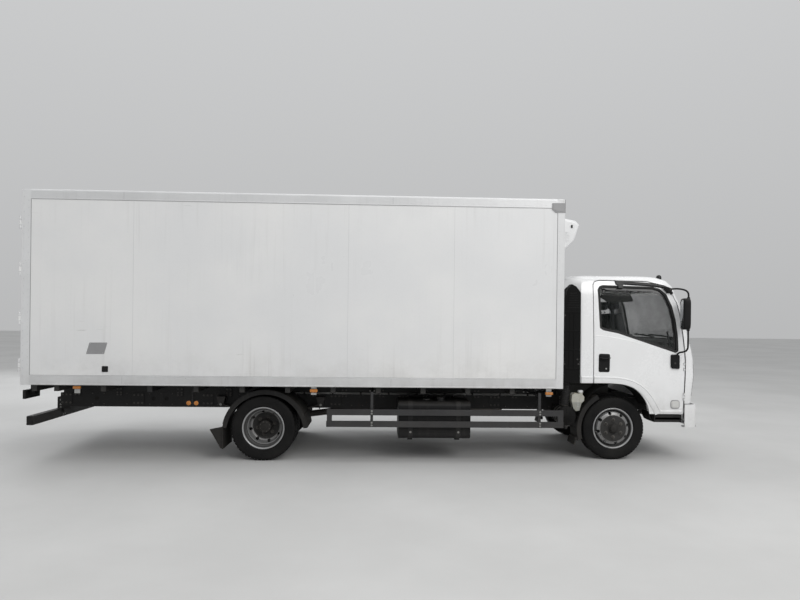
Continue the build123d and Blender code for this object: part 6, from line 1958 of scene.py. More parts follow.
    # back wall of the cab: pressed ribs, window rubber
    m = Mesh()
    for z in (1250, 1340, 1430, 1520, 1610):
        m.prism(round_poly([(-600, z - 13), (600, z - 13), (600, z + 13), (-600, z + 13)], 12, 4), "x", -644.5, -639.5, 0, 3.5)
    for y in (-690, -620, 620, 690):
        m.prism(round_poly([(y - 11, 1700), (y + 11, 1700), (y + 11, 2160), (y - 11, 2160)], 10, 4), "x", -643.5, -636.5, 0, 3.0)
    put("cab_back_ribs", m, "cab", M_CAB, angle=40)
    m = Mesh()
    for poly, w in (([(-480, 1760), (480, 1760), (480, 2130), (-480, 2130)], 14),):
        rp = round_poly(poly, 26, 5)
        for y0, y1, z0, z1 in ((-494, 494, 1746, 1768), (-494, 494, 2122, 2144), (-494, -472, 1768, 2122), (472, 494, 1768, 2122)):
            m.box(-644, -618, y0, y1, z0, z1, 5)
    put("rear_window_rubber", m, "cab", M_SEAL)


door(-1, "right")
door(1, "left")
cab_outside()


# ------------------------------------------------------------------ inside the cab
from mathutils.bvhtree import BVHTree


def pad(name, profile, y0, y1, seams_across=(), seams_along=(), voxel=13.0, pressure=4.0, cap=24.0, face=(1, 0, 0), crown=14.0):
    """A stuffed pad: profile is an (x, z) outline and y0..y1 its width. Seams are held down and the cloth swells between them.
    seams_across are (x, z) points of the outline where a seam crosses the pad, seams_along are y values."""
    m = Mesh()
    poly = profile if sum(p[0] * q[1] - q[0] * p[1] for p, q in zip(profile, profile[1:] + profile[:1])) > 0 else profile[::-1]
    outer = round_poly(poly, 30, 6)
    layers = []
    for d, t in ((20.0, 0.0), (7.0, 9.0), (0.0, 26.0)):
        layers.append((inset(outer, d) if d else outer, t))
    rings = [[(x, y0 + t, z) for x, z in pl] for pl, t in layers] + [[(x, y1 - t, z) for x, z in pl] for pl, t in layers[::-1]]
    m.grid(rings, 0, loop_v=True, flip=True)
    n = len(outer)
    m.add(rings[0], [tuple(range(n))], 0)
    m.add(rings[-1], [tuple(range(n))[::-1]], 0)
    o = put(name, m, "cab", [M_SEAT, M_VINYL], weld=0.01)
    me = o.data
    bm = bmesh.new()
    bm.from_mesh(me)
    bmesh.ops.recalc_face_normals(bm, faces=bm.faces)
    bm.to_mesh(me)
    bm.free()
    rm = o.modifiers.new("remesh", "REMESH")
    rm.mode = "VOXEL"
    rm.voxel_size = voxel / 1000.0
    rm.use_smooth_shade = True
    bake(o)
    me = o.data
    F = Vector(face).normalized()
    f2 = (F.x, F.z)
    # seams: held vertices, drawn in a little on the pad's face
    held = set()
    for v in me.vertices:
        x, y, z = (v.co.x - SX) * 1000.0, v.co.y * 1000.0, v.co.z * 1000.0
        facing = v.normal.x * F.x + v.normal.z * F.z > 0.45
        hit = False
        if facing:
            for sy in seams_along:
                if abs(y - sy) < voxel * 0.55:
                    hit = True
            for sx, sz in seams_across:
                # distance along the face from the seam's line
                d = (x - sx) * (-f2[1]) + (z - sz) * f2[0]
                if abs(d) < voxel * 0.55 and (not seams_along or min(seams_along) - voxel < y < max(seams_along) + voxel):
                    hit = True
        if hit:
            held.add(v.index)
    for i in held:
        me.vertices[i].co -= F * 0.007
    start = [v.co.copy() for v in me.vertices]
    g = o.vertex_groups.new(name="held")
    g.add(sorted(held), 1.0, "REPLACE")
    c = o.modifiers.new("cloth", "CLOTH")
    st = c.settings
    st.quality = 4
    st.mass = 0.35
    st.tension_stiffness = st.compression_stiffness = 18
    st.shear_stiffness = 6
    st.bending_stiffness = 0.7
    st.use_pressure = True
    st.uniform_pressure_force = pressure
    st.effector_weights.gravity = 0
    if held:
        st.vertex_group_mass = "held"
    c.collision_settings.use_collision = False
    c.collision_settings.use_self_collision = False
    c.point_cache.frame_start = 1
    c.point_cache.frame_end = 20
    sc = bpy.context.scene
    for k in range(1, 21):
        sc.frame_set(k)
    bake(o)
    me = o.data
    sc.frame_set(1)
    for v, a in zip(me.vertices, start):
        d = v.co - a
        if d.length > cap / 1000.0:
            d *= cap / 1000.0 / d.length
        v.co = a + d
    o.vertex_groups.clear()
    sub = o.modifiers.new("sub", "SUBSURF")
    sub.levels = sub.render_levels = 1
    bake(o)
    me = o.data
    for p in me.polygons:
        p.use_smooth = True
        y = p.center.y * 1000.0
        side = bool(seams_along) and (y < min(seams_along) or y > max(seams_along))
        back = p.normal.x * F.x + p.normal.z * F.z < -0.2
        p.material_index = 1 if side or back else 0
    return o


def bake(o):
    """Applies the object's modifiers to its mesh."""
    dg = bpy.context.evaluated_depsgraph_get()
    new = bpy.data.meshes.new_from_object(o.evaluated_get(dg), preserve_all_data_layers=True, depsgraph=dg)
    old = o.data
    o.modifiers.clear()
    o.data = new
    for k in range(len(old.materials)):
        if k < len(new.materials):
            new.materials[k] = old.materials[k]
        else:
            new.materials.append(old.materials[k])
    bpy.data.meshes.remove(old)


def on_pad(o, points, direction, lift=1.5):
    """Drops points, in millimetres, onto a pad along direction."""
    tree = BVHTree.FromPolygons([v.co.copy() for v in o.data.vertices], [tuple(p.vertices) for p in o.data.polygons])
    d = Vector(direction).normalized()
    out = []
    for p in points:
        q = P(*p)
        hit = tree.ray_cast(q - d * 0.4, d, 0.9)
        if hit[0] is not None:
            w = hit[0] - d * lift / 1000.0
            out.append(((w.x - SX) * 1000.0, w.y * 1000.0, w.z * 1000.0))
    return out


def line(a, b, n):
    return [tuple(Vector(a).lerp(Vector(b), k / (n - 1.0))) for k in range(n)]


def one_seat(tag, y, w, first):
    """A sprung seat: frame, cushion, back, headrest, seams, hinge covers."""
    h = w / 2.0
    down, into = (0, 0, -1), (-0.98, 0, -0.19)
    bolster = h - 78.0
    cushion = pad("seat_cushion_" + tag, [(212, 1212), (640, 1220), (664, 1268), (648, 1312), (440, 1300), (250, 1284), (214, 1270)], y - h + 12, y + h - 12,
                  [(330, 1290), (430, 1298), (530, 1304)], (y - bolster, y + bolster), face=(0, 0, 1))
    back = pad("seat_back_" + tag, [(200, 1312), (276, 1324), (262, 1420), (176, 1860), (160, 1912), (78, 1905), (84, 1850), (188, 1330)], y - h + 12, y + h - 12,
               [(252, 1450), (232, 1550), (212, 1650), (192, 1750)], (y - bolster, y + bolster), face=(0.98, 0, 0.19))
    rest = pad("headrest_" + tag, [(70, 1946), (146, 1956), (142, 2010), (128, 2066), (66, 2060), (56, 2000)], y - 128, y + 128, [], (), face=(0.98, 0, 0.12), cap=16.0, voxel=11.0)
    m = Mesh()
    # welts sewn along the seams and the edges
    for k in (-1, 1):
        yy = y + k * bolster
        a = on_pad(cushion, line((236, yy, 1290), (645, yy, 1310), 28), down, 0.6)
        if len(a) > 3:
            m.tube(a, 3.2, 8, 0)
        b = on_pad(back, line((268, yy, 1345), (172, yy, 1895), 34), into, 0.6)
        if len(b) > 3:
            m.tube(b, 3.2, 8, 0)
    for x in (330, 430, 530):
        a = on_pad(cushion, line((x, y - bolster, 1300), (x, y + bolster, 1300), 22), down, -0.4)
        if len(a) > 3:
            m.tube(a, 1.3, 6, 0)
    for x, z in ((252, 1450), (232, 1550), (212, 1650), (192, 1750)):
        a = on_pad(back, line((x, y - bolster, z), (x, y + bolster, z), 22), into, -0.4)
        if len(a) > 3:
            m.tube(a, 1.3, 6, 0)
    # small pressed dots on the back's middle panel
    for i in range(7):
        for j in range(4):
            q = on_pad(back, [(258 - 20 * j - 6, y - bolster + 36 + (2 * bolster - 72) * i / 6.0, 1500 + 100 * j)], into, 0.0)
            if q:
                m.spin([(4.5, -1.0), (4.5, 1.0), (3.0, 1.8), (0, 2.0)], q[0], (0.98, 0, 0.19), 12, 1)
    put("seat_seams_" + tag, m, "cab", [M_BELT, M_GREY], angle=60)
    # frame, runners, hinge covers, headrest posts
    m = Mesh()
    m.box(214, 586, y - h + 30, y + h - 30, 1196, 1214, 4, 0)
    for k in (-1, 1):
        yy = y + k * (h - 70)
        m.box(190, 600, yy - 16, yy + 16, 1131, 1146, 2, 1)
        m.box(200, 590, yy - 11, yy + 11, 1145, 1158, 2, 1)
        for xx in (240, 520):
            m.prism([(xx - 34, 1156), (xx + 34, 1156), (xx + 24, 1200), (xx - 24, 1200)], "y", yy - 6, yy + 6, 0, 2)
            m.bolt((xx, yy + k * 6, 1178), (0, k, 0), 8, 6, True, 1)
        yc = y + k * (h - 8)
        m.prism(round_poly([(190, 1215), (300, 1215), (300, 1262), (250, 1330), (196, 1342), (176, 1290)], 22, 5), "y", yc - 8, yc + 8, 2, 5)
        m.spin([(17, 0), (17, 6), (13, 9), (0, 9)], (238, yc + k * 6, 1262), (0, k, 0), 24, 2)
        m.tube([(104, y + k * 62, 1890), (102, y + k * 62, 1930), (100, y + k * 62, 1972)], 6, 12, 3)
        m.spin([(12, 0), (12, 8), (9, 10), (6, 10)], (110, y + k * 62, 1912), (0, 0, 1), 20, 2)
    # adjusting lever and knob
    m.tube([(470, y - 60, 1150), (560, y - 60, 1160), (600, y - 50, 1166)], 6, 10, 3, smooth=4)
    if first:
        m.prism([(216, 1200), (584, 1200), (560, 1162), (240, 1162)], "y", y - h + 46, y + h - 46, 2, 6)
        for zz in (1168, 1176, 1184, 1192):
            m.box(222, 578, y - h + 42, y + h - 42, zz - 1.6, zz + 1.6, 1, 2)
    put("seat_frame_" + tag, m, "cab", [M_DASH, M_ZINC, M_PLASTIC, M_CHROME], angle=36)
    return cushion


def belts():
    m = Mesh()
    for y, k in ((480.0, 1), (-640.0, -1)):
        # the belt runs from the pillar down to its reel, and its buckle stands by the cushion
        top = (-20, 905 * k, 1980)
        m.tube([(top[0], top[1], top[2]), (-10, 912 * k, 1800), (0, 918 * k, 1500), (4, 920 * k, 1240)], 1, 8, 0, flat=(23, 0.9))
        m.prism(round_poly([(-60, 1170), (50, 1170), (50, 1262), (-60, 1262)], 16, 4), "y", 898 * k, 950 * k, 1, 5)
        m.prism(round_poly([(top[0] - 24, 1960), (top[0] + 24, 1960), (top[0] + 20, 2052), (top[0] - 20, 2052)], 14, 4), "y", 896 * k, 922 * k, 1, 5)
        m.bolt((top[0], 894 * k, 2034), (0, -k, 0), 10, 7, True, 2)
        m.rbox(6, 906 * k, 1390, 9, 6, 26, 3, 1)
    for y in (480 - 268, -640 + 212, -240 - 212 + 6):
        m.tube([(236, y, 1200), (252, y, 1260), (262, y, 1304)], 9, 10, 1, smooth=3, flat=(11, 6))
        m.prism(round_poly([(244, 1296), (286, 1296), (286, 1352), (244, 1352)], 9, 4), "y", y - 11, y + 11, 1, 4)
        m.box(252, 278, y - 6, y + 6, 1351.5, 1354, 0.8, 3)
    put("seat_belts", m, "cab", [M_BELT, M_PLASTIC, M_ZINC, M_RED], angle=40)


first = one_seat("driver", 480.0, 496.0, True)
one_seat("middle", -235.0, 404.0, False)
one_seat("outer", -645.0, 404.0, False)
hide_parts("seats")
belts()


def dash_top(x):
    pts = [(800, 1340), (870, 1440), (960, 1500), (1150, 1520)]
    for p, q in zip(pts, pts[1:]):
        if x <= q[0]:
            t = (x - p[0]) / (q[0] - p[0])
            return p[1] + (q[1] - p[1]) * t
    return 1520.0


def dash_parts():
    # the instrument hood over the column, with dials behind it
    m = Mesh()
    hood = [(-215, 1414), (-215, 1474), (-190, 1514), (-120, 1534), (0, 1540), (120, 1534), (190, 1514), (215, 1474), (215, 1414)]
    out = [(480 + y, z) for y, z in hood]
    inn = [(480 + y * 0.94, z - 8 if abs(y) < 200 else z) for y, z in hood]
    ring = out + inn[::-1]
    rows = []
    for x, g in ((836, 0.0), (870, 4.0), (930, 0.0), (985, -10.0)):
        rows.append([(x, y, z + g) for y, z in ring])
    m.grid(rows, 0, loop_v=True)
    n = len(ring)
    half = len(out)
    for row, turn in ((rows[0], 1), (rows[-1], -1)):
        faces = []
        for i in range(half - 1):
            f = (i, i + 1, n - 2 - i, n - 1 - i)
            faces.append(f[::turn])
        m.add(row, faces, 0)
    fr = Frame3((897, 480, 1456), (0, -1, 0), (0.36, 0, 0.93))
    if fr.n.x > 0:
        fr = Frame3((897, 480, 1456), (0, 1, 0), (0.36, 0, 0.93))
    fr.plate(m, round_poly([(-196, -40), (196, -40), (196, 52), (120, 66), (-120, 66), (-196, 52)], 18, 4), -14, 2, 1.5, 0)
    for cu, r in ((-92, 46), (92, 46)):
        fr.ring(m, cu, 10, r, r + 4, 1.5, 7.5, 48, 3)
        m.spin([(r, 1.0), (r, 2.6), (0, 2.6)], fr.at(cu, 10, 0), fr.n, 48, 1)
        for k in range(23):
            a = math.radians(-135 + 270 * k / 22.0)
            rr = r - (7 if k % 2 == 0 else 5)
            c = fr.at(cu + rr * math.sin(a), 10 + rr * math.cos(a), 3.0)
            turn = fr.turn @ Matrix.Rotation(-a, 3, "Z")
            m.rbox(c.x, c.y, c.z, 0.8, 4.2 if k % 2 == 0 else 2.4, 0.4, 0.2, 2, turn)
        a = math.radians(-118)
        c = fr.at(cu + 17 * math.sin(a), 10 + 17 * math.cos(a), 4.2)
        m.rbox(c.x, c.y, c.z, 1.1, 20, 0.7, 0.3, 4, fr.turn @ Matrix.Rotation(-a, 3, "Z"))
        m.spin([(6, 2.5), (6, 5.5), (4, 6.5), (0, 6.8)], fr.at(cu, 10, 0), fr.n, 20, 1)
    for cu, cv, r in ((-162, -6, 20), (162, -6, 20), (0, 24, 24)):
        fr.ring(m, cu, cv, r, r + 3, 1.5, 5.5, 36, 3)
        m.spin([(r, 1.0), (r, 2.4), (0, 2.4)], fr.at(cu, cv, 0), fr.n, 36, 1)
        for k in range(7):
            a = math.radians(-90 + 180 * k / 6.0)
            c = fr.at(cu + (r - 4) * math.sin(a), cv + (r - 4) * math.cos(a), 2.8)
            m.rbox(c.x, c.y, c.z, 0.6, 2.2, 0.4, 0.2, 2, fr.turn @ Matrix.Rotation(-a, 3, "Z"))
        a = math.radians(-40)
        c = fr.at(cu + 7 * math.sin(a), cv + 7 * math.cos(a), 3.6)
        m.rbox(c.x, c.y, c.z, 0.8, 8, 0.5, 0.2, 4, fr.turn @ Matrix.Rotation(-a, 3, "Z"))
    for k in range(10):
        fr.box(m, -32 + k * 7.2 - 2.6, -32 + k * 7.2 + 2.6, -26, -20, 1.8, 3.0, 0.4, 4 if k % 4 == 1 else 2)
    put("gauges", m, "cab", [M_DASH, M_DIAL, M_MARK, M_SATIN, M_RED], angle=36)
    # the dash's face towards the seats: x is 800 at z 1120 to 1340, then slopes back
    m = Mesh()
    face = Frame3((800, 0, 1230), (0, -1, 0), (0, 0, 1))
    if face.n.x > 0:
        face = Frame3((800, 0, 1230), (0, 1, 0), (0, 0, 1))
    s = 1 if face.u.y > 0 else -1
    slope = Frame3((835, 0, 1390), (0, s, 0), (0.573, 0, 0.819))
    # glove box on the far side from the driver, with a latch
    face.plate(m, round_poly([(s * -820, -86), (s * -420, -86), (s * -420, 78), (s * -820, 78)], 16, 5), -0.5, 6.0, 3.5, 0)
    face.plate(m, round_poly([(s * -655, 44), (s * -585, 44), (s * -585, 66), (s * -655, 66)], 8, 4), 5.5, 10.0, 2.5, 1)
    # centre stack: a raised panel with radio, heater knobs and switches
    face.plate(m, round_poly([(s * -210, -104), (s * 130, -104), (s * 130, 104), (s * -210, 104)], 18, 5), -0.5, 9.0, 4.0, 1)
    face.plate(m, round_poly([(s * -190, 34), (s * 110, 34), (s * 110, 90), (s * -190, 90)], 5, 3), 8.5, 12.5, 1.5, 2)
    face.box(m, s * -150, s * 70, 62, 82, 12.2, 13.4, 0.5, 3)
    for k in (-172, 92):
        m.spin([(11, 12), (11, 22), (9, 25), (0, 25.5)], face.at(s * k, 62, 0), face.n, 24, 2)
    for k in range(6):
        face.box(m, s * (-138 + k * 34), s * (-138 + k * 34 + 27), 42, 54, 12.0, 15.0, 1.2, 1)
    for k in (-146, -40, 66):
        face.ring(m, s * k, -24, 21, 25, 8.5, 10.5, 36, 3)
        m.spin([(19, 8.5), (20, 14), (17, 22), (14, 25), (0, 25.5)], face.at(s * k, -24, 0), face.n, 28, 2)
        face.box(m, s * k - 1.4, s * k + 1.4, -22, -7, 24.5, 26.5, 0.5, 4)
        for t in range(9):
            a = math.radians(-120 + 30 * t)
            c = face.at(s * k + 29 * math.sin(a), -24 + 29 * math.cos(a), 9.2)
            m.rbox(c.x, c.y, c.z, 0.7, 2.4, 0.4, 0.2, 4, face.turn @ Matrix.Rotation(-a, 3, "Z"))
    for k in range(5):
        face.box(m, s * (-190 + k * 62), s * (-190 + k * 62 + 46), -92, -64, 8.0, 13.0, 2.0, 2)
        face.box(m, s * (-190 + k * 62 + 14), s * (-190 + k * 62 + 32), -76, -72, 12.6, 13.6, 0.4, 4)
    # air vents on the slope, with slats
    for cu, wv in ((-760, 60), (-300, 60), (60, 52), (-110, 52), (845, 44)):
        slope.plate(m, round_poly([(s * (cu - wv), -30), (s * (cu + wv), -30), (s * (cu + wv), 32), (s * (cu - wv), 32)], 10, 4), -0.5, 6.5, 2.5, 1)
        # the vent's backing is painted shade
        slope.plate(m, round_poly([(s * (cu - wv + 9), -21), (s * (cu + wv - 9), -21), (s * (cu + wv - 9), 23), (s * (cu - wv + 9), 23)], 5, 3), 6.0, 7.2, 0.5, 3)
        for t in range(5):
            v = -15 + t * 8.0
            slope.box(m, s * (cu - wv + 9), s * (cu + wv - 9), v - 1.3, v + 1.3, 6.6, 11.5, 0.6, 1)
        slope.box(m, s * (cu - 3), s * (cu + 3), -21, 23, 8.5, 12.2, 0.8, 2)
    # grab rail in front of the outer seat
    m.tube([tuple(slope.at(s * -560, -4, 2)), tuple(slope.at(s * -545, 0, 30)), tuple(slope.at(s * -500, 2, 36)), tuple(slope.at(s * -400, 2, 36)), tuple(slope.at(s * -380, 0, 30)), tuple(slope.at(s * -372, -4, 2))], 9, 14, 2, smooth=4)
    # defroster slots along the top, as strips of painted shade
    for k in range(26):
        y = -780 + k * 62.0
        m.rbox(1070, y, dash_top(1070) + 0.6, 5, 24, 1.2, 0.8, 3)
    put("dash_fittings", m, "cab", [M_LIGHTPLASTIC, M_DASH, M_SATIN, M_RECESS_SHADE, M_MARK], angle=36)


def column_parts():
    m = Mesh()
    ax = Vector((-0.5446, 0, 0.8387))
    c = Vector((640.0, 480.0, 1478.0))
    base = c - ax * 95
    m.spin([(47, -118), (50, -105), (52, -60), (50, -14), (44, 0), (30, 4)], base, ax, 32, 0)
    # stalks: two levers with ridged grips
    for k in (-1, 1):
        p = base + ax * -20
        tip = p + Vector((0.02, k, 0.03)) * 168 + ax * 22
        m.tube([tuple(p + Vector((0, k * 44, 0))), tuple(p.lerp(tip, 0.6)), tuple(tip)], [6.5, 6.5, 8.5, 8.5, 8.5, 9.5, 9.5, 9.5, 8.0][:9], 12, 1, smooth=4)
        d = (tip - p).normalized()
        for q in range(4):
            m.spin([(9.8, -1.5), (10.8, 0), (9.8, 1.5)], tip - d * (12 + q * 8), d, 20, 1)
        m.spin([(9, 0), (9, 4), (6, 7), (0, 8)], tip, d, 20, 2)
    # ignition lock
    m.spin([(17, 0), (17, 8), (13, 11), (0, 11)], base + ax * -58 + Vector((-20, -48, 0)), (-0.3, -0.95, 0), 24, 1)
    put("column_shroud", m, "cab", [M_DASH, M_PLASTIC, M_GREY], angle=36)
    # wheel: grip with finger swells, padded hub and spoke covers
    m = Mesh()
    u = Vector((0.8387, 0, 0.5446))
    w = ax.cross(u)
    rows = []
    for i in range(72):
        a = 2 * math.pi * i / 72
        d = u * math.cos(a) + w * math.sin(a)
        r = 16.2 + 0.8 * math.cos(a * 24)
        row = []
        for j in range(14):
            b = 2 * math.pi * j / 14
            row.append(tuple(c + d * (200 + r * math.cos(b)) + ax * (r * math.sin(b))))
        rows.append(row)
    m.grid(rows, 0, loop_u=True, loop_v=True)
    put("wheel_grip", m, "steering_wheel", M_LEATHER, angle=80)
    m = Mesh()
    m.spin([(56, -16), (60, -6), (60, 8), (54, 18), (40, 23), (20, 25), (0, 25.5)], c, ax, 40, 0)
    m.spin([(46, 19.5), (44, 23.2), (42, 24.4), (40, 23)], c, ax, 40, 1)
    for deg in (80, 200, 320):
        a = math.radians(deg)
        d = u * math.cos(a) + w * math.sin(a)
        m.tube([tuple(c + d * 48), tuple(c + d * 100 + ax * -2), tuple(c + d * 150), tuple(c + d * 194)], 1, 14, 0, smooth=3, flat=(17, 9))
        for t in (86, 150):
            m.spin([(4, 8), (4, 10), (0, 10.5)], c + d * t, ax, 12, 1)
    put("wheel_pad", m, "steering_wheel", [M_LEATHER, M_SATIN], angle=50)


def cab_fittings():
    # gear lever with a ribbed gaiter, hand brake, pedals
    m = Mesh()
    g = (640, 150, 1131)
    m.spin([(66, -1), (66, 5), (60, 9), (56, 12), (58, 18), (48, 26), (50, 32), (40, 42), (42, 48), (30, 62), (31, 68), (20, 84), (13, 96), (9, 98)], g, (-0.1, 0, 1), 28, 0)
    m.tube([(636, 150, 1200), (624, 150, 1300), (604, 152, 1400), (590, 154, 1440)], 8, 12, 1, smooth=4)
    m.spin([(10, -14), (20, -4), (25, 12), (24, 28), (16, 38), (0, 41)], (590, 154, 1440), (-0.2, 0, 1), 28, 2)
    m.prism(round_poly([(300, 1131), (520, 1131), (500, 1176), (310, 1180)], 14, 4), "y", 64, 130, 3, 5)
    m.tube([(480, 98, 1170), (400, 98, 1220), (330, 98, 1262)], [9, 9, 9, 10, 12, 12, 13, 13, 11], 14, 2, smooth=4)
    for y, w, z in ((610, 34, 980), (500, 34, 985), (385, 24, 975)):
        m.tube([(1030, y, 1075), (990, y, 1030), (952, y, z + 16)], 7, 10, 1, smooth=3, flat=(9, 5))
        fr = Frame3((945, y, z), (0, 1, 0), (0.5, 0, 0.87))
        if fr.n.x > 0:
            fr = Frame3((945, y, z), (0, -1, 0), (0.5, 0, 0.87))
        hgt = 30 if w > 30 else 62
        fr.plate(m, round_poly([(-w, -hgt), (w, -hgt), (w, hgt), (-w, hgt)], 7, 4), -4, 8, 3, 0)
        for t in range(int(hgt * 2 / 11)):
            v = -hgt + 8 + t * 11
            fr.box(m, -w + 6, w - 6, v - 2, v + 2, 7.4, 10.0, 0.8, 0)
    put("controls", m, "cab", [M_SEAL, M_ZINC, M_SATIN, M_DASH], angle=36)
    # floor mats: raised step, lower footwell, with ribs
    m = Mesh()
    for y0, y1 in ((250, 800), (-800, 50)):
        m.box(468, 790, y0, y1, 1130.4, 1136, 2.5, 0)
        m.box(560, 910, y0 + 30, y1 - 30, 850.4, 857, 2.5, 0)
        n = int((y1 - y0 - 120) / 34)
        for k in range(n):
            y = y0 + 70 + k * 34.0
            m.box(600, 880, y - 4, y + 4, 856, 860, 1.4, 0)
    m.box(-560, 180, -860, 860, 1130.4, 1135, 2.0, 0)
    put("floor_mats", m, "cab", M_CARPET, angle=50)
    # headliner, visors, grab handles, dome lamp
    m = Mesh()
    m.box(-560, 430, -760, 760, 2318, 2334, 6, 0)
    for y0, y1 in ((120, 740), (-740, -120)):
        m.rbox(585, (y0 + y1) / 2, 2262, 88, (y1 - y0) / 2, 9, 7, 1, Matrix.Rotation(math.radians(28), 3, "Y"))
        m.tube([(520, y0 + 20, 2298), (516, y0 + 20, 2306)], 9, 12, 2)
        m.tube([(520, y1 - 20, 2298), (516, y1 - 20, 2306)], 9, 12, 2)
        m.tube([(512, y0 + 14, 2297), (512, y1 - 14, 2297)], 5, 10, 2)
    m.prism(round_poly([(100, -70), (230, -70), (230, 70), (100, 70)], 22, 5), "z", 2296, 2320, 2, 6)
    m.prism(round_poly([(116, -56), (214, -56), (214, 56), (116, 56)], 16, 5), "z", 2291, 2298, 3, 3)
    for s in (-1, 1):
        m.tube([(180, s * 742, 2312), (190, s * 756, 2272), (250, s * 766, 2250), (330, s * 766, 2250), (390, s * 756, 2272), (400, s * 742, 2312)], 10, 12, 2, smooth=4)
    put("cab_ceiling", m, "cab", [M_LINING, M_VINYL, M_LIGHTPLASTIC, M_WHITELENS], angle=40)
    # rear wall lining under the window, with a locker strip and hooks; lining beside the window
    m = Mesh()
    m.prism(round_poly([(-850, 1150), (850, 1150), (850, 1716), (-850, 1716)], 40, 5), "x", -589, -574, 0, 6)
    for y0, y1 in ((-850, -520), (520, 850)):
        m.prism(round_poly([(y0, 1730), (y1, 1730), (y1, 2250), (y0, 2250)], 40, 5), "x", -589, -576, 0, 6)
    m.prism(round_poly([(-500, 2158), (500, 2158), (500, 2262), (-500, 2262)], 30, 5), "x", -589, -576, 0, 5)
    for y in (-600, -200, 200, 600):
        m.prism(round_poly([(y - 170, 1220), (y + 170, 1220), (y + 170, 1650), (y - 170, 1650)], 30, 5), "x", -575, -570.5, 0, 3)
    for y in (-640, 640):
        m.spin([(12, 0), (12, 4), (6, 8), (6, 26), (10, 32), (9, 38), (0, 40)], (-576, y, 2100), (1, 0, 0), 20, 1)
    put("rear_lining", m, "cab", [M_LIGHTPLASTIC, M_SATIN], angle=40)
    # engine cover between the seats, under the raised floor's mat
    m = Mesh()
    m.prism(round_poly([(-420, 1136), (160, 1136), (150, 1186), (-400, 1192)], 20, 5), "y", -150, 130, 0, 8)
    for x in (-300, 40):
        for y in (-120, 100):
            m.bolt((x, y, 1190), (0, 0, 1), 8, 5, True, 1)
    put("cab_tunnel", m, "cab", [M_DASH, M_ZINC], angle=40)


dash_parts()
column_parts()
cab_fittings()


# ------------------------------------------------------------------ chassis fittings
XREAR = -4475.0


def shock(m, a, b, r):
    """A damper between two eyes."""
    a, b = Vector(a), Vector(b)
    d = (b - a).normalized()
    L = (b - a).length
    m.spin([(0, 18), (r * 0.5, 18), (r * 0.86, 26), (r * 0.86, L * 0.52), (r * 0.80, L * 0.53), (r * 0.34, L * 0.535), (r * 0.34, L * 0.56)], a, d, 24, 0)
    m.spin([(r * 0.98, L * 0.50), (r, L * 0.51), (r, L - 30), (r * 0.9, L - 22), (r * 0.4, L - 18), (0, L - 18)], a, d, 24, 0)
    m.spin([(r * 0.90, L * 0.50), (r * 0.98, L * 0.50)], a, d, 24, 0)
    for p in (a, b):
        m.spin([(0, -26), (9, -26), (9, -20), (20, -19), (20, 19), (9, 20), (9, 26), (0, 26)], p, (0, 1, 0), 20, 1)


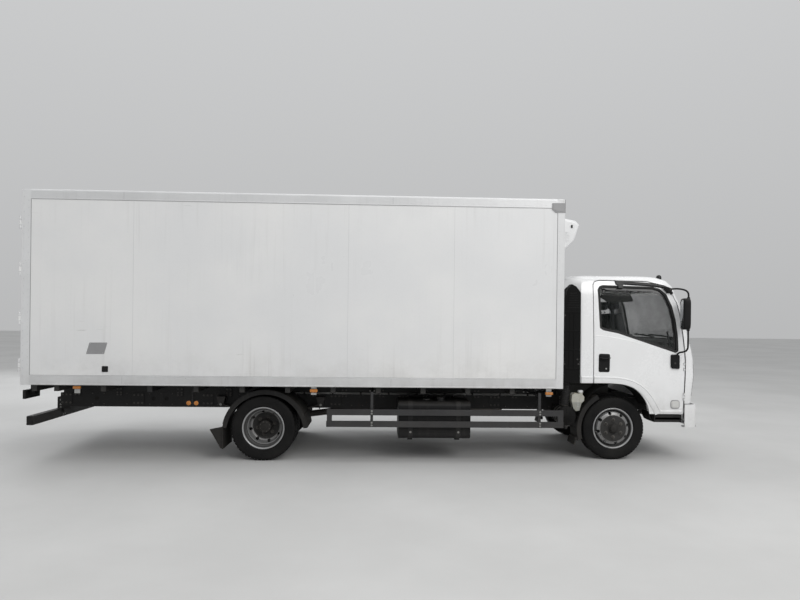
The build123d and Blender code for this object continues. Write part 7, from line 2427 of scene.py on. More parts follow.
def ubolts():
    m = Mesh()
    # front: plates above and below, four legs, nuts
    for x in (-54, 54):
        for s in (346, 434):
            m.tube([(x, s, 386), (x, s, 534)], 7, 12, 0)
            m.bolt((x, s, 521), (0, 0, 1), 11, 11, True, 0)
        m.tube([(x, 346, 392), (x, 346, 386), (x, 356, 380), (x, 424, 380), (x, 434, 386), (x, 434, 392)], 7, 12, 0)
    m.box(-68, 68, 334, 446, 508, 521, 3, 1)
    m.box(-66, 66, 336, 444, 387, 404, 3, 1)
    # rear
    for x in (XREAR - 70, XREAR + 70):
        for s in (436, 524):
            m.tube([(x, s, 322), (x, s, 580)], 8, 12, 0)
            m.bolt((x, s, 563), (0, 0, 1), 13, 13, True, 0)
    m.box(XREAR - 88, XREAR + 88, 422, 538, 548, 563, 3, 1)
    m.box(XREAR - 88, XREAR + 88, 422, 538, 330, 346, 3, 1)
    for x in (XREAR - 70, XREAR + 70):
        for s in (436, 524):
            m.bolt((x, s, 330), (0, 0, -1), 13, 12, True, 0)
    # clips round the leaves, and the rebound stops under the rails
    for xc, dx, s0, s1, z in ((0, 300, 354, 426, 474), (0, -300, 354, 426, 474), (XREAR, 330, 445, 515, 512), (XREAR, -330, 445, 515, 512)):
        m.box(xc + dx - 17, xc + dx + 17, s0 - 5, s0 - 0.6, z - 26, z + 46, 1.5, 1)
        m.box(xc + dx - 17, xc + dx + 17, s1 + 0.6, s1 + 5, z - 26, z + 46, 1.5, 1)
        m.spin([(0, 0), (9, 0), (9, 6), (0, 6)][::-1], (xc + dx, s1 + 4, z + 36), (0, 1, 0), 16, 0)
    for x in (-600, 600, XREAR - 660, XREAR + 660):
        z = 540 if abs(x) == 600 else 628
        s0, s1 = (357, 423) if abs(x) == 600 else (448, 512)
        m.spin([(0, 0), (15, 0), (17, 2), (17, 9), (12, 13), (0, 13)][::-1], (x, s1, z), (0, 1, 0), 24, 1)
        m.bolt((x, s1 + 12, z), (0, 1, 0), 11, 9, True, 0)
    for x in (-30, 30):
        m.prism(round_poly([(x - 26, 574), (x + 26, 574), (x + 18, 540), (x, 532), (x - 18, 540)], 10, 4), "y", 370, 412, 2, 5)
    m.prism(round_poly([(XREAR - 40, 636), (XREAR + 40, 636), (XREAR + 26, 600), (XREAR, 590), (XREAR - 26, 600)], 12, 4), "y", 452, 508, 2, 5)
    m.prism([(XREAR - 44, 690), (XREAR + 44, 690), (XREAR + 44, 636), (XREAR - 44, 636)], "y", 426, 508, 1, 4)
    m.mirror()
    put("spring_fastenings", m, "chassis", [M_BOLT, M_AXLE, M_SEAL], angle=36)
    m = Mesh()
    shock(m, (96, 474, 404), (150, 466, 700), 33)
    m.prism(round_poly([(60, 372), (120, 372), (124, 424), (70, 430)], 12, 4), "y", 440, 448, 1, 2)
    m.prism(round_poly([(116, 668), (186, 668), (180, 736), (122, 736)], 14, 4), "y", 425, 440, 1, 3)
    shock(m, (XREAR - 96, 330, 398), (XREAR - 330, 344, 700), 33)
    m.prism(round_poly([(XREAR - 124, 372), (XREAR - 40, 366), (XREAR - 40, 440), (XREAR - 112, 430)], 12, 4), "y", 296, 304, 1, 2)
    m.prism(round_poly([(XREAR - 372, 660), (XREAR - 292, 660), (XREAR - 296, 740), (XREAR - 366, 740)], 14, 4), "y", 362, 417, 1, 3)
    m.mirror()
    put("dampers", m, "chassis", [M_CHASSIS, M_AXLE], angle=36)


def axle_parts():
    m = Mesh()
    # rear axle: differential cover with a ring of bolts, input flange, vent; brake chambers with rods
    for k in range(12):
        a = 2 * math.pi * k / 12
        m.bolt((XREAR - 112, 132 * math.cos(a), 405.5 + 132 * math.sin(a)), (-1, 0, 0), 9, 7, True, 0)
    m.spin([(150, 0), (152, 6), (146, 12), (110, 30), (60, 46), (0, 52)], (XREAR - 112, 0, 405.5), (-1, 0, 0), 40, 1)
    m.spin([(14, 0), (14, 8), (11, 11), (0, 11)], (XREAR - 158, 0, 360), (-1, 0, -0.4), 12, 0)
    for k in range(8):
        a = 2 * math.pi * k / 8
        m.bolt((XREAR + 232, 52 * math.cos(a), 405.5 + 52 * math.sin(a)), (1, 0, 0), 6, 6, False, 0)
    m.spin([(62, 232), (66, 234), (66, 244), (58, 248), (40, 250)], (XREAR, 0, 405.5), (1, 0, 0), 32, 1)
    n = Mesh()
    for s0, s1 in ((250, 330), (330, 398)):
        n.spin([(0, 0), (60, 0), (74, 10), (78, 30), (78, s1 - s0 - 6), (82, s1 - s0 - 3), (82, s1 - s0), (0, s1 - s0)], (XREAR - 165, s0, 402), (0, 1, 0), 36, 2)
    n.tube([(XREAR - 165, 396, 402), (XREAR - 165, 628, 402)], 9, 12, 0)
    n.spin([(15, -14), (17, -10), (17, 10), (15, 14)], (XREAR - 165, 560, 402), (0, 1, 0), 20, 0)
    n.prism(round_poly([(XREAR - 190, 378), (XREAR - 40, 350), (XREAR - 40, 452), (XREAR - 190, 426)], 14, 4), "y", 400, 410, 1, 2)
    n.prism(round_poly([(XREAR - 186, 380), (XREAR - 144, 380), (XREAR - 60, 350), (XREAR - 60, 380), (XREAR - 144, 424), (XREAR - 186, 424)], 10, 4), "y", 612, 624, 1, 2)
    for q in range(5):
        a = math.radians(40 + 65 * q)
        n.bolt((XREAR + 150 * math.cos(a), 631, 405.5 + 150 * math.sin(a)), (0, -1, 0), 8, 6, True, 0)
    # front axle: kingpin caps
    n.spin([(34, 0), (34, 5), (28, 9), (0, 10)], (0, 700, 506), (0, 0, 1), 28, 0)
    n.mirror()
    m.v, m.f, m.m = m.v + n.v, m.f + [tuple(i + len(m.v) for i in f) for f in n.f], m.m + n.m
    put("axle_fittings", m, "chassis", [M_BOLT, M_AXLE, M_CHASSIS], angle=36)
    # drive shaft: yokes, cross joints, centre bearing, balance weights
    m = Mesh()
    for p, q in (((-1330, 0, 640), (-2700, 0, 600)), ((-2700, 0, 600), (XREAR + 245, 0, 405.5))):
        a, b = Vector(p), Vector(q)
        d = (b - a).normalized()
        L = (b - a).length
        for at, k in ((a + d * 60, 1), (b - d * 60, -1)):
            m.spin([(44.4, 0), (52, 4), (54, 16), (46, 30), (44.4, 34)], at, d * k, 28, 1)
            for w in (-1, 1):
                m.rbox(at.x - d.x * k * 26, w * 46, at.z - d.z * k * 26, 34, 9, 26, 5, 1)
                m.spin([(15, -3), (15, 4), (11, 7), (0, 7)], (at.x - d.x * k * 38, w * 54, at.z - d.z * k * 38), (0, w, 0), 20, 0)
        m.rbox(a.x + d.x * L * 0.3, 0, a.z + d.z * L * 0.3 + 45, 22, 12, 2.5, 1, 0)
    m.spin([(62.5, -36), (72, -32), (78, -20), (78, 20), (72, 32), (62.5, 36)], (-2700, 0, 600), (1, 0, 0.02), 36, 2)
    for w in (-1, 1):
        m.bolt((-2700, w * 96, 598), (0, 0, -1), 10, 9, True, 0)
    put("shaft_fittings", m, "chassis", [M_BOLT, M_AXLE, M_SEAL], angle=36)


def frame_parts():
    m = Mesh()
    # rivets and gussets along the rails, plates that tie the box's sub-rails down
    def clear(x, spots, w):
        return all(abs(x - q) > w for q in spots)
    gus = [-1450, -2700, -3620, -5330, -6250, -7190]
    ties = [-1180, -1700, -2400, -3000, -3500, -3900, -5050, -5700, -6500, -7050]
    x = -7150
    while x < 400:
        if clear(x, gus, 110) and clear(x, ties, 60):
            m.rivet((x, 425.5, 612), (0, 1, 0), 9, 4, 8, 0)
            m.rivet((x, 425.5, 752), (0, 1, 0), 9, 4, 8, 0)
        x += 150
    for x in gus:
        m.prism(round_poly([(x - 78, 600), (x + 78, 600), (x + 78, 764), (x - 78, 764)], 14, 4), "y", 425.0, 432, 1, 2)
        for dx in (-52, 0, 52):
            for z in (628, 736):
                m.bolt((x + dx, 432, z), (0, 1, 0), 9, 7, True, 0)
    for x in ties:
        m.prism(round_poly([(x - 44, 712), (x + 44, 712), (x + 44, 846), (x - 44, 846)], 10, 4), "y", 425.0, 433, 1, 2)
        for dx in (-24, 24):
            for z in (738, 768, 818):
                m.bolt((x + dx, 433, z), (0, 1, 0), 8, 7, True, 0)
    # lightening holes shown as pressed cups filled with painted shade
    for x in (-1960, -2230, -4200, -4750, -5880, -6050, -6800):
        m.spin([(0, 0.4), (17, 0.4), (19, 3), (25, 3), (27, 0)][::-1], (x, 425.6, 684), (0, 1, 0), 24, 2)
    m.mirror()
    # two brake pipes clipped along the right rail, with unions
    for z in (770, 783):
        m.tube([(-900, -438, z - 8), (-1300, -438, z), (-2580, -438, z), (-2620, -438, z), (-3400, -438, z), (-3560, -438, z), (-4160, -438, z), (-4300, -434, z - 26), (-4390, -420, z - 70)], 4.5, 10, 3, smooth=3)
    for k in range(9):
        x = -1000 - 380 * k
        m.rbox(x, -437, 777, 12, 7, 16, 2, 2)
        m.bolt((x, -443, 777), (0, -1, 0), 5, 4, False, 0)
    put("frame_fittings", m, "chassis", [M_DARKBOLT, M_CHASSIS, M_RECESS_SHADE, M_ZINC], angle=36)
    m = Mesh()
    # rubber mounts on the hoop behind the cab, latch hook, and the tilt pins' heads
    for s in (-1, 1):
        m.box(-592, -538, s * 300, s * 400, 1073.5, 1079.5, 2.5, 1)
        m.bolt((-600, s * 390, 950), (-1, 0, 0), 9, 7, True, 0)
        m.bolt((-600, s * 390, 1000), (-1, 0, 0), 9, 7, True, 0)
        m.spin([(15, 0), (15, 5), (12, 8), (0, 8)], (978, s * 455, 765), (0, s, 0), 24, 0)
    m.prism(round_poly([(-604, 980), (-640, 990), (-646, 1040), (-628, 1062), (-604, 1060)], 10, 4), "y", -40, 40, 2, 4)
    m.tube([(-626, 30, 1010), (-640, 60, 1000), (-644, 190, 996)], 7, 12, 0, smooth=3)
    # tow pin through the eye
    m.spin([(13, -44), (13, 26)], (955, 318, 606), (0, 0, 1), 20, 0)
    m.spin([(0, 36), (20, 36), (22, 33), (22, 27), (13, 26)][::-1], (955, 318, 606), (0, 0, 1), 24, 0)
    put("mount_fittings", m, "chassis", [M_BOLT, M_SEAL, M_CHASSIS], angle=36)


def tank_outline(d):
    out = []
    y0, y1, z0, z1, r = -1130 - d, -600 + d, 295 - d, 755 + d, 60 + d
    for cx, cz, a0 in ((y0 + r, z0 + r, 180), (y1 - r, z0 + r, 270), (y1 - r, z1 - r, 0), (y0 + r, z1 - r, 90)):
        for k in range(9):
            a = math.radians(a0 + 90 * k / 8)
            out.append((cx + r * math.cos(a), cz + r * math.sin(a)))
    return out


def tank_parts():
    m = Mesh()
    for x, w, h, mat in ((-2640, 28, 3.0, 0), (-2040, 28, 3.0, 0), (-2772, 6, 2.2, 1), (-1905, 6, 2.2, 1)):
        a, b = tank_outline(0.2), tank_outline(h)
        rows = []
        for p, q in zip(a, b):
            rows.append([(x - w, p[0], p[1]), (x + w, p[0], p[1]), (x + w - 1, q[0], q[1]), (x - w + 1, q[0], q[1])])
        m.grid(rows, mat, loop_u=True, loop_v=True)
        if mat == 0:
            a, b = tank_outline(h - 0.4), tank_outline(h + 2.0)
            rows = []
            for p, q in zip(a, b):
                rows.append([(x - 10, p[0], p[1]), (x + 10, p[0], p[1]), (x + 9, q[0], q[1]), (x - 9, q[0], q[1])])
            m.grid(rows, 0, loop_u=True, loop_v=True)
            m.tube([(x, -612, 762), (x, -592, 770)], 7, 10, 3)
            m.bolt((x, -1135, 380), (0, -1, 0), 9, 8, True, 3)
    # long ribs pressed into the outer face
    for z in (400, 525, 650):
        m.prism(round_poly([(-2600, z - 15), (-2080, z - 15), (-2080, z + 15), (-2600, z + 15)], 14, 5), "y", -1135.5, -1129, 1, 4)
    for z in (462, 588):
        m.prism(round_poly([(-2600, z - 9), (-2080, z - 9), (-2080, z + 9), (-2600, z + 9)], 8, 4), "y", -1132.5, -1129, 1, 2)
    # cap with finger grips, neck flange, sender plate with screws, drain plug
    prof = []
    n = 24
    verts, faces = [], []
    for r0, z in ((50, 789), (50, 801), (46, 806), (30, 808)):
        for k in range(n * 2):
            a = math.pi * k / n
            r = r0 + (2.4 if (k % 4) < 2 and z < 804 else 0)
            verts.append((-2255 + r * math.cos(a), -1020 + r * math.sin(a), z))
    q = n * 2
    for i in range(3):
        for k in range(q):
            j = (k + 1) % q
            faces.append((i * q + k, i * q + j, (i + 1) * q + j, (i + 1) * q + k))
    faces.append(tuple(range(3 * q, 4 * q)))
    m.add(verts, faces, 2)
    m.spin([(60, 755.5), (60, 759), (49, 762)], (-2255, -1020, 0), (0, 0, 1), 36, 1)
    m.spin([(44, 755), (44, 760), (38, 763), (0, 763)], (-2420, -860, 0), (0, 0, 1), 32, 3)
    for k in range(6):
        a = math.radians(60 * k)
        m.bolt((-2420 + 36 * math.cos(a), -860 + 36 * math.sin(a), 762), (0, 0, 1), 4, 3, False, 3)
    m.tube([(-2420, -860, 760), (-2420, -860, 784), (-2400, -800, 790), (-2380, -640, 780), (-2370, -520, 770), (-2360, -440, 745)], 6, 10, 2, smooth=3)
    m.bolt((-2330, -860, 295), (0, 0, -1), 12, 8, True, 3)
    put("tank_fittings", m, "chassis", [M_CHASSIS, M_TANK, M_PLASTIC, M_BOLT], angle=36)
    # battery box: lid with a lip, ribs, latches and a handle
    m = Mesh()
    m.box(-3358, -2742, 512, 968, 690, 748, 8, 0)
    for k in range(9):
        m.box(-3320 + k * 68, -3300 + k * 68, 560, 920, 746, 751, 2, 0)
    for x in (-3250, -2850):
        m.prism(round_poly([(x - 20, 640), (x + 20, 640), (x + 20, 704), (x - 20, 704)], 8, 4), "y", 958, 972, 1, 3)
        m.tube([(x - 12, 974, 650), (x - 10, 980, 672), (x + 10, 980, 672), (x + 12, 974, 650)], 3.5, 8, 1, smooth=3)
    for z in (470, 530, 590):
        m.box(-3330, -2770, 958, 964.5, z - 8, z + 8, 3, 0)
    for k in range(5):
        m.box(-3356, -3349, 560 + k * 85, 580 + k * 85, 450, 670, 3, 0)
        m.box(-2751, -2744, 560 + k * 85, 580 + k * 85, 450, 670, 3, 0)
    put("battery_fittings", m, "chassis", [M_BATTERY, M_ZINC], angle=36)
    # silencer: rolled end and middle seams, straps, pipe collars, outlet clamp
    m = Mesh()
    for x in (-1898, -1152):
        m.spin([(112.2, -9), (116, -6), (116, 6), (112.2, 9)], (x, 640, 520), (1, 0, 0), 40, 0)
    for x in (-1785, -1245):
        m.spin([(112.4, -16), (115, -14), (115, 14), (112.4, 16)], (x, 640, 520), (1, 0, 0), 40, 1)
        m.box(x - 14, x + 14, 630, 650, 634, 656, 3, 1)
        m.bolt((x, 652, 646), (0, 1, 0), 7, 6, True, 1)
    m.spin([(112.3, -2), (113.6, 0), (112.3, 2)], (-1525, 640, 520), (1, 0, 0), 40, 0)
    for x, r, at in ((-1152, 32, (640, 520)), (-1900, 28, (640, 480))):
        m.spin([(r + 0.2, 0), (r + 12, 3), (r + 12, 9), (r + 1.5, 20), (r + 1.5, 40), (r + 0.2, 44)], (x, at[0], at[1]), (1 if x > -1500 else -1, 0, 0), 28, 0)
    d = Vector((-60, 320, -60)).normalized()
    m.spin([(28.3, 0), (30.5, 2), (30.5, 14), (28.3, 16)], Vector((-2560, 1080, 400)) - d * 80, d, 28, 1)
    m.spin([(28.2, -2), (29.6, 0), (29.6, 2), (25.5, 3), (24, -26)], Vector((-2560, 1080, 400)), d, 28, 0)
    # a disc of painted shade closes the pipe's open end
    m.spin([(24, -26), (0, -26.5)], Vector((-2560, 1080, 400)) + d * 26.8, d, 28, 2)
    put("exhaust_fittings", m, "chassis", [M_EXHAUST, M_BOLT, M_RECESS_SHADE], angle=36)


def guard_parts():
    m = Mesh()
    # rear mudguards: ribs over the top, a rolled lip, bolts to the stays
    for k in range(7):
        a = math.radians(24 + 22 * k)
        p = []
        for s in (590, 700, 900, 1075):
            p.append((-4446 + 530.5 * math.cos(a), s, 355 + 530.5 * math.sin(a)))
        m.tube(p, 4, 8, 0, flat=(9, 3))
    pts = [(-4446 + 531 * math.cos(math.radians(a)), 1097, 355 + 531 * math.sin(math.radians(a))) for a in range(8, 173, 5)]
    m.tube(pts, 4.5, 8, 0)
    pts = [(-4446 + 479 * math.cos(math.radians(a)), 1097, 355 + 479 * math.sin(math.radians(a))) for a in range(8, 173, 5)]
    m.tube(pts, 4.0, 8, 0)
    for x in (-4862, -4030):
        for s in (640, 1010):
            m.bolt((x + (14 if x > -4400 else -14), s, 652), (0.6 if x > -4400 else -0.6, 0, 0.8), 8, 6, True, 1)
        m.spin([(22, -16), (24, -12), (24, 12), (22, 16)], (x, 434, 640), (0, 1, 0), 24, 2)
    # flap: moulded ribs, a fixing strip with bolts and a thick lower hem
    m.box(-4982, -4974, 604, 1086, 396, 428, 2, 2)
    for k in range(6):
        m.bolt((-4982, 640 + 82 * k, 412), (-1, 0, 0), 7, 5, True, 1)
    for k in range(11):
        m.box(-4977.5, -4973, 626 + 42 * k, 640 + 42 * k, 176, 384, 1.5, 0)
    m.box(-4979, -4959, 602, 1088, 150.5, 162, 3, 0)
    # front mudguards: ribs and bolts
    for k in range(4):
        a = math.radians(126 + 18 * k)
        p = [(496.0 * math.cos(a), s, 405.5 + 496.0 * math.sin(a)) for s in (724, 800, 900, 984)]
        m.tube(p, 4, 8, 0, flat=(8, 3))
    for k in range(6):
        x0 = -513 - 0.26 * 30
        m.prism([(x0 + 1, 270), (x0 - 4, 270), (x0 - 18, 212), (x0 - 13, 212)], "y", 740 + 40 * k, 752 + 40 * k, 0, 0.8)
    m.bolt((-497, 716, 622), (0, 0, 1), 8, 6, True, 1)
    m.mirror()
    put("mudguard_fittings", m, "chassis", [M_FLAP, M_DARKBOLT, M_CHASSIS], angle=40)
    # side guards: end caps, bolts at the hangers, hanger gussets
    m = Mesh()
    for z0, z1 in ((449, 523), (594, 668)):
        for x, k in ((-3675, -1), (-731, 1)):
            m.rbox(x + k * 2, 1180, (z0 + z1) / 2, 5, 15.5, (z1 - z0) / 2 - 0.5, 3, 1)
        for x in (-3123, -1025):
            for dz in (-16, 16):
                m.bolt((x, 1195, (z0 + z1) / 2 + dz), (0, 1, 0), 8, 6, True, 0)
        # shallow grooves of the extrusion
        for dz in (-20, 0, 20):
            m.box(-3600 if dz == 0 else -3660, -746, 1194.6, 1196.2, (z0 + z1) / 2 + dz - 2.4, (z0 + z1) / 2 + dz + 2.4, 0.6, 2)
    for x in (-3123, -1025):
        m.prism([(1134, 828), (1134, 742), (1064, 828)], "x", x - 4, x + 4, 3)
        for y in (470, 520):
            m.bolt((x, y, 828), (0, 0, -1), 8, 6, True, 0)
        m.box(x - 40, x + 40, 425, 433, 800, 868, 2, 3)
        for dx in (-28, 28):
            m.bolt((x + dx, 433, 812), (0, 1, 0), 7, 6, True, 0)
    m.mirror()
    put("side_guard_fittings", m, "chassis", [M_BOLT, M_PLASTIC, M_GUARDMETAL, M_CHASSIS], angle=36)


def intake_parts():
    m = Mesh()
    # raised ribs down the duct's outer face and across its back
    for x in (-560, -618):
        m.prism(round_poly([(x - 7, 1190), (x + 7, 1190), (x + 7, 1900), (x - 7, 1900)], 6, 4), "y", -1046.5, -1040, 0, 2.5)
    for z in (1180, 1420, 1660, 1900):
        m.prism(round_poly([(-704, z - 10), (-480, z - 10), (-480, z + 10), (-704, z + 10)], 7, 4), "y", -1047.5, -1040, 0, 3)
    # grille slots in the domed head: strips of painted shade, each under a lip
    for k in range(7):
        z = 1960 + 30 * k
        w = 96 - k * 7
        m.box(-585 - w * 0.72, -585 + w, -1045.5, -1041, z - 6, z + 6, 1.5, 2)
        m.box(-585 - w * 0.72 - 3, -585 + w + 3, -1046.5, -1041.5, z + 7, z + 12, 1.5, 0)
    for x, z in ((-680, 1240), (-500, 1240), (-512, 1300), (-680, 1860)):
        m.bolt((x, -1042, z), (0, -1, 0), 7, 5, True, 1)
    # bellows between duct and cleaner, with band clamps
    a, b = Vector((-625, -950, 1020)), Vector((-640, -902, 690))
    d = (b - a).normalized()
    L = (b - a).length
    prof = []
    n = 13
    for k in range(n):
        t = 20 + (L - 60) * k / (n - 1)
        prof += [(53, t - 6), (64, t), (53, t + 6)]
    m.spin([(52.6, 0), (57, 2)] + prof + [(57, L - 14), (52.6, L - 12)], a, d, 32, 3)
    for t in (8, L - 20):
        m.spin([(57, -7), (59.5, -6), (59.5, 6), (57, 7)], a + d * t, d, 32, 1)
    # cleaner: end cover with clips and a dust valve, straps
    m.spin([(121.3, 0), (125, 2), (126, 8), (126, 22), (121.3, 26)], (-633, -740, 571), (0, -1, 0), 44, 0)
    m.spin([(0, 16), (40, 16), (44, 13), (92, 11), (100, 4), (118, 2), (124, -3), (125, -26), (121.3, -30)][::-1], (-633, -1000, 571), (0, -1, 0), 44, 0)
    for k in range(8):
        a2 = math.pi * 2 * k / 8
        c, s = math.cos(a2), math.sin(a2)
        m.prism([(-633 + 46 * c - 3 * s, 571 + 46 * s + 3 * c), (-633 + 96 * c - 3 * s, 571 + 96 * s + 3 * c), (-633 + 96 * c + 3 * s, 571 + 96 * s - 3 * c), (-633 + 46 * c + 3 * s, 571 + 46 * s - 3 * c)], "y", -1016, -1008, 0, 1.2)
    for deg in (35, 155, 275):
        a2 = math.radians(deg)
        turn = Matrix.Rotation(-a2, 3, "Y")
        m.rbox(-633 + 129 * math.cos(a2), -985, 571 + 129 * math.sin(a2), 4, 26, 12, 2, 1, turn)
    for y in (-830, -920):
        m.spin([(121.3, -13), (123.6, -12), (123.6, 12), (121.3, 13)], (-633, y, 571), (0, 1, 0), 44, 1)
    m.spin([(20, 0), (22, 6), (20, 26), (12, 44), (4, 50), (0, 50)], (-633, -985, 452), (0, 0, -1), 20, 3)
    put("intake_fittings", m, "chassis", [M_DUCT, M_DARKBOLT, M_RECESS_SHADE, M_SEAL], angle=40)
    # coolant bottle: moulded seam all round, cap with grips, level marks, hose
    m = Mesh()
    out = [(-538, 667), (-504, 632), (-462, 640), (-434, 731), (-401, 767), (-398, 817), (-420, 842), (-448, 850), (-524, 862), (-557, 840), (-564, 766)]
    rp = round_poly(out, 12, 4)
    area = sum(p[0] * q[1] - q[0] * p[1] for p, q in zip(rp, rp[1:] + rp[:1]))
    if area < 0:
        rp = rp[::-1]
    big, small = inset(rp, -4.0), inset(rp, 4.0)
    rows = [[(b[0], -930.0, b[1]), (b[0], -925.5, b[1]), (s[0], -925.5, s[1]), (s[0], -930.0, s[1])] for b, s in zip(big, small)]
    m.grid(rows, 0, loop_u=True, loop_v=True)
    for k in range(9):
        m.rbox(-480, -986.2, 690 + 14 * k, 14 if k % 4 == 0 else 8, 0.8, 1.0, 0.3, 1)
    n = 20
    verts, faces = [], []
    for r0, z in ((32, 868), (33, 872), (33, 892), (29, 897), (0.01, 897.5)):
        for k in range(n * 2):
            a2 = math.pi * k / n
            r = r0 + (1.6 if k % 4 < 2 and 870 < z < 895 else 0)
            verts.append((-434 + r * math.cos(a2), -930 + r * math.sin(a2), z))
    q = n * 2
    for i in range(4):
        for k in range(q):
            j = (k + 1) % q
            faces.append((i * q + k, i * q + j, (i + 1) * q + j, (i + 1) * q + k))
    m.add(verts, faces, 1)
    m.tube([(-462, -928, 655), (-440, -928, 640), (-400, -900, 634), (-340, -780, 640), (-300, -560, 680), (-280, -440, 720), (-270, -300, 740)], 10, 12, 2, smooth=4)
    m.spin([(12, -7), (12, 7)], (-452, -928, 648), (0.9, 0, -0.5), 16, 3)
    m.box(-560, -528, -872, -866, 742, 752, 1, 3)
    put("bottle_fittings", m, "chassis", [M_BOTTLE, M_WHITEPLASTIC, M_SEAL, M_ZINC], angle=40)


def end_parts():
    # tail lamps: three lenses in a dark case, on each side; rear plate and its lamp; reflectors
    m = Mesh()
    for s in (-1, 1):
        fr = Frame3((-7376, s * 965, 815), (0, -1, 0), (0, 0, 1))
        for u0, u1, mat in ((-152, -54, 1), (-50, 50, 2), (54, 152, 3)):
            k = 1 if s < 0 else -1
            a, b = sorted((k * u0, k * u1))
            fr.plate(m, round_poly([(a, -43), (b, -43), (b, 43), (a, 43)], 9, 4), -0.5, 8.0, 4.0, mat)
            fr.plate(m, round_poly([(a - 2.5, -46), (b + 2.5, -46), (b + 2.5, 46), (a - 2.5, 46)], 10, 4), -0.5, 2.4, 1.0, 0)
            for t in (-1, 1):
                m.spin([(4, 0), (4, 2), (2.6, 3), (0, 3)], fr.at((a + b) / 2, t * 34, 7.2), fr.n, 12, 4)
        fr = Frame3((-7330, s * 930, 498), (0, -1, 0), (0, 0, 1))
        fr.plate(m, round_poly([(-32, -32), (32, -32), (32, 32), (-32, 32)], 31, 8), -0.5, 5, 2, 2)
        fr.plate(m, round_poly([(-37, -37), (37, -37), (37, 37), (-37, 37)], 36, 8), -0.5, 2.4, 1.0, 0)
    put("tail_lenses", m, "chassis", [M_PLASTIC, M_AMBER, M_RED, M_WHITELENS, M_ZINC], angle=40)
    m = Mesh()
    fr = Frame3((-7330, 0, 495), (0, -1, 0), (0, 0, 1))
    fr.plate(m, round_poly([(-268, -58), (268, -58), (268, 58), (-268, 58)], 10, 4), -0.5, 4.0, 1.5, 1)
    fr.plate(m, round_poly([(-260, -52), (260, -52), (260, 52), (-260, 52)], 7, 4), 3.5, 5.4, 0.7, 0)
    for u in (-200, 200):
        fr.plate(m, round_poly([(u - 26, 60), (u + 26, 60), (u + 26, 82), (u - 26, 82)], 6, 4), -20, 26, 4, 1)
    for k in (-1, 1):
        # end caps of the bar and bolts of its posts
        m.rbox(-7290, k * 1120, 495, 41, 7, 56, 6, 1)
        for y in (345, 395):
            for z in (470, 520):
                m.bolt((-7250, k * y, z), (1, 0, 0), 8, 7, True, 2)
        for z in (560, 600, 660):
            m.bolt((-7275, k * 410, z), (0, k, 0), 9, 7, True, 2)
    put("rear_plate", m, "chassis", [M_PLATE, M_PLASTIC, M_BOLT], angle=36)
    # front bumper: lower grille slot, fog lamps in recesses, blank plate, seams, tow cover
    m = Mesh()

    def bx(y, out=0.0):
        # the bumper's front face: bow of radius 6500 with corners of 60
        cx = 1130 - 6500.0 + math.sqrt(6440.0 ** 2 - 974.0 ** 2)
        b = cx - math.sqrt(6440.0 ** 2 - 974.0 ** 2)
        y = abs(y)
        if y <= 974:
            return b + math.sqrt((6500.0 + out) ** 2 - y * y)
        return cx + math.sqrt(max((60.0 + out) ** 2 - (y - 974) ** 2, 0.0))

    def strip(y0, y1, z0, z1, h0, h1, mat, c=2.0, n=24):
        rows = []
        for i in range(n + 1):
            y = y0 + (y1 - y0) * i / n
            rows.append([(bx(y, h0), y, z0), (bx(y, h1 - c), y, z0), (bx(y, h1), y, z0 + c), (bx(y, h1), y, z1 - c), (bx(y, h1 - c), y, z1), (bx(y, h0), y, z1)])
        m.grid(rows, mat, loop_v=True, flip=False)
        k = len(rows[0])
        m.add(rows[0], [tuple(range(k))[::-1]], mat)
        m.add(rows[-1], [tuple(range(k))], mat)
    # the lower grille slot's backing is painted shade
    strip(-560, 560, 478, 560, -3, 1.6, 1, 1.0, 30)
    for z in (488, 510, 532, 553):
        strip(-560, 560, z - 4, z + 4, 0, 9.0, 2, 3.0, 30)
    for y in (-420, -210, 0, 210, 420):
        strip(y - 5, y + 5, 480, 558, 0, 6.0, 2, 2.0, 2)
    strip(-270, 270, 590, 704, -1, 5.0, 2, 2.0, 18)
    strip(-260, 260, 597, 697, 3, 6.6, 3, 1.0, 18)
    for s in (-1, 1):
        # fog lamp: dark pan, chrome bowl, ribbed lens
        y = s * 740
        fr = Frame3((bx(y, 0.4), y, 530), (0, 1, 0), (0, 0, 1))
        fr.plate(m, round_poly([(-110, -46), (110, -46), (110, 46), (-110, 46)], 30, 6), -14, 5.0, 2.5, 2)
        m.spin([(40, 5), (38, 8), (32, 6.5), (0, 5.0)], fr.at(-s * 36, 0, 0), fr.n, 36, 4)
        m.spin([(37, 6), (36, 10), (28, 13), (14, 14.5), (0, 15)], fr.at(-s * 36, 0, 0), fr.n, 36, 5)
        m.spin([(20, 5), (19, 8), (14, 10), (0, 10.5)], fr.at(s * 58, 0, 0), fr.n, 30, 6)
        for k in range(5):
            fr.box(m, s * 18 - 1.5 + 0 * k, s * 18 + 1.5, -30 + k * 14, -22 + k * 14, 4.5, 7.5, 0.8, 2)
    strip(-1000, 1000, 722, 727, -0.5, 3.5, 0, 1.5, 50)
    strip(-1000, 1000, 445, 462, -0.5, 4.0, 2, 2.0, 50)
    # square tow cover, plain
    fr = Frame3((bx(-420, 0.2), -420, 655), (0, 1, 0), (0, 0, 1))
    fr.plate(m, round_poly([(-32, -32), (32, -32), (32, 32), (-32, 32)], 7, 4), -0.5, 1.8, 0.8, 0)
    put("bumper_fittings", m, "chassis", [M_CAB, M_RECESS_SHADE, M_PLASTIC, M_PLATE, M_CHROME, M_CLEAR, M_AMBER], angle=36)
    # cab steps: serrated treads
    m = Mesh()
    for k in range(9):
        m.box(520 + 0, 850, 778 + 24 * k, 787 + 24 * k, 595.6, 601, 1.6, 0)
    for k in range(16):
        m.box(528 + 20 * k, 534 + 20 * k, 772, 992, 595.6, 599, 1.0, 0)
    m.box(510, 860, 1003.4, 1007, 560, 588, 1.4, 0)
    m.mirror()
    put("step_treads", m, "cab", M_PLASTIC, angle=36)
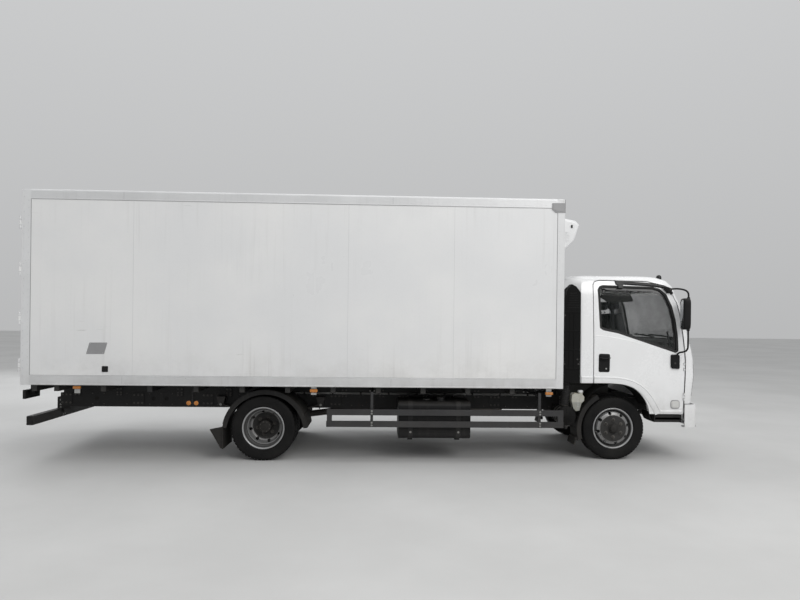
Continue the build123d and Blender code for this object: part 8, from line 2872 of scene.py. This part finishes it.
    # engine: rocker cover, sump, pulleys and fan, ribs on the gearbox; all fixed to the plain block
    m = Mesh()
    m.box(-600, 120, -120, 120, 1009, 1048, 14, 0)
    for k in range(6):
        for y in (-112, 112):
            m.bolt((-560 + 132 * k, y, 1012), (0, 0, 1), 8, 6, True, 2)
    m.box(-560, 60, -140, 140, 470, 502, 14, 1)
    for k in range(7):
        for y in (-146, 146):
            m.bolt((-600 + 118 * k, y, 560), (0, 0, -1), 7, 5, True, 2)
    for y, z, r in ((0, 640, 85), (130, 820, 58), (-130, 860, 52), (0, 830, 70)):
        m.spin([(0, 34), (r * 0.4, 34), (r * 0.45, 28), (r - 8, 28), (r, 30), (r, 26), (r - 6, 18), (r, 10), (r, 4), (r * 0.6, 0)][::-1], (180, y, z), (1, 0, 0), 36, 2)
    for k in range(8):
        a = 2 * math.pi * k / 8
        c, s = math.cos(a), math.sin(a)
        root, tip = Vector((214, 60 * c, 830 + 60 * s)), Vector((214, 250 * c, 830 + 230 * s))
        w = Vector((0, -s, c))
        m.add([tuple(root - w * 22 + Vector((-8, 0, 0))), tuple(root + w * 22 + Vector((10, 0, 0))), tuple(tip + w * 36 + Vector((14, 0, 0))), tuple(tip - w * 34 + Vector((-12, 0, 0))),
               tuple(root - w * 22 + Vector((-5, 0, 0))), tuple(root + w * 22 + Vector((13, 0, 0))), tuple(tip + w * 36 + Vector((17, 0, 0))), tuple(tip - w * 34 + Vector((-9, 0, 0)))],
              [(0, 3, 2, 1), (4, 5, 6, 7), (0, 1, 5, 4), (1, 2, 6, 5), (2, 3, 7, 6), (3, 0, 4, 7)], 3)
    for k in range(9):
        for s in (-1, 1):
            m.box(-1290 + 70 * k, -1278 + 70 * k, s * 189, s * 198, 560, 780, 3, 1)
    m.box(-700, -640, -215, 215, 520, 830, 10, 1)
    for k in range(10):
        a = math.radians(18 + 36 * k)
        m.bolt((-700, 190 * math.cos(a), 675 + 130 * math.sin(a)), (-1, 0, 0), 8, 6, True, 2)
    for s in (-1, 1):
        m.tube([(-520, s * 268, 930), (-520, s * 300, 930), (-440, s * 312, 930), (0, s * 312, 930), (80, s * 300, 930), (80, s * 268, 930)], 26, 16, 1, smooth=3)
        for k in range(4):
            m.tube([(-440 + 140 * k, s * 268, 930), (-440 + 140 * k, s * 312, 930)], 20, 14, 1)
    put("engine_fittings", m, "chassis", [M_SATIN, M_ENGINE, M_BOLT, M_PLASTIC], angle=36)


ubolts()
axle_parts()
frame_parts()
tank_parts()
guard_parts()
intake_parts()
end_parts()


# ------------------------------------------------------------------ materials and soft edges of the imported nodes
PAINT = {
    "front_axle": M_AXLE, "rear_axle": M_AXLE, "tie_rod": M_AXLE, "knuckle_left": M_DRUM, "knuckle_right": M_DRUM, "frame": M_CHASSIS, "leaf_springs": M_AXLE, "engine": M_ENGINE,
    "drive_shaft": M_AXLE, "exhaust": M_EXHAUST, "fuel_tank": M_TANK, "battery_box": M_BATTERY, "air_intake": M_DUCT, "coolant_bottle": M_BOTTLE, "rear_mudguards": M_FLAP, "front_mudguards": M_FLAP,
    "side_guards": M_GUARDMETAL, "underrun_bar": M_CHASSIS, "box_floor": M_FLOOR, "box_side_walls": M_BOX, "box_front_wall": M_BOX, "box_roof": M_BOX, "box_rear_frame": M_PORTAL,
    "rear_door_left": M_BOX, "rear_door_right": M_BOX, "tail_lamps": M_PLASTIC, "refrigeration_unit": M_UNIT, "windshield": M_GLASS, "window_left": M_GLASS, "window_right": M_GLASS,
    "headlamps": M_CLEAR, "cab_shell": M_CAB, "cab_front_panel": M_CAB, "cab_steps": M_PLASTIC, "mirror_left": M_PLASTIC, "mirror_right": M_PLASTIC, "door_left": M_CAB, "door_right": M_CAB,
    "dashboard": M_DASH, "steering_wheel": M_LEATHER, "seats": M_SEAT, "front_bumper": M_CAB,
}
for n, mat in PAINT.items():
    paint_node(mat, n)
for n, w in {"box_side_walls": 2.0, "box_front_wall": 2.0, "box_roof": 2.0, "box_rear_frame": 2.0, "box_floor": 1.5, "rear_door_left": 2.0, "rear_door_right": 2.0, "refrigeration_unit": 0.0,
             "frame": 2.0, "fuel_tank": 0.0, "battery_box": 5.0, "side_guards": 2.5, "underrun_bar": 4.0, "cab_steps": 3.0, "dashboard": 6.0, "engine": 5.0, "front_axle": 3.0,
             "leaf_springs": 1.5, "headlamps": 2.0, "tail_lamps": 3.0, "front_mudguards": 1.5, "rear_mudguards": 1.5, "coolant_bottle": 6.0, "air_intake": 4.0,
             "exhaust": 0.0, "rear_axle": 0.0, "tie_rod": 0.0, "knuckle_left": 1.5, "knuckle_right": 1.5, "drive_shaft": 0.0, "steering_wheel": 0.0, "windshield": 0.0, "window_left": 0.0, "window_right": 0.0,
             "cab_shell": 0.0, "cab_front_panel": 0.0, "door_left": 0.0, "door_right": 0.0, "front_bumper": 0.0, "mirror_left": 4.0, "mirror_right": 4.0, "seats": 8.0}.items():
    soften(n, w)
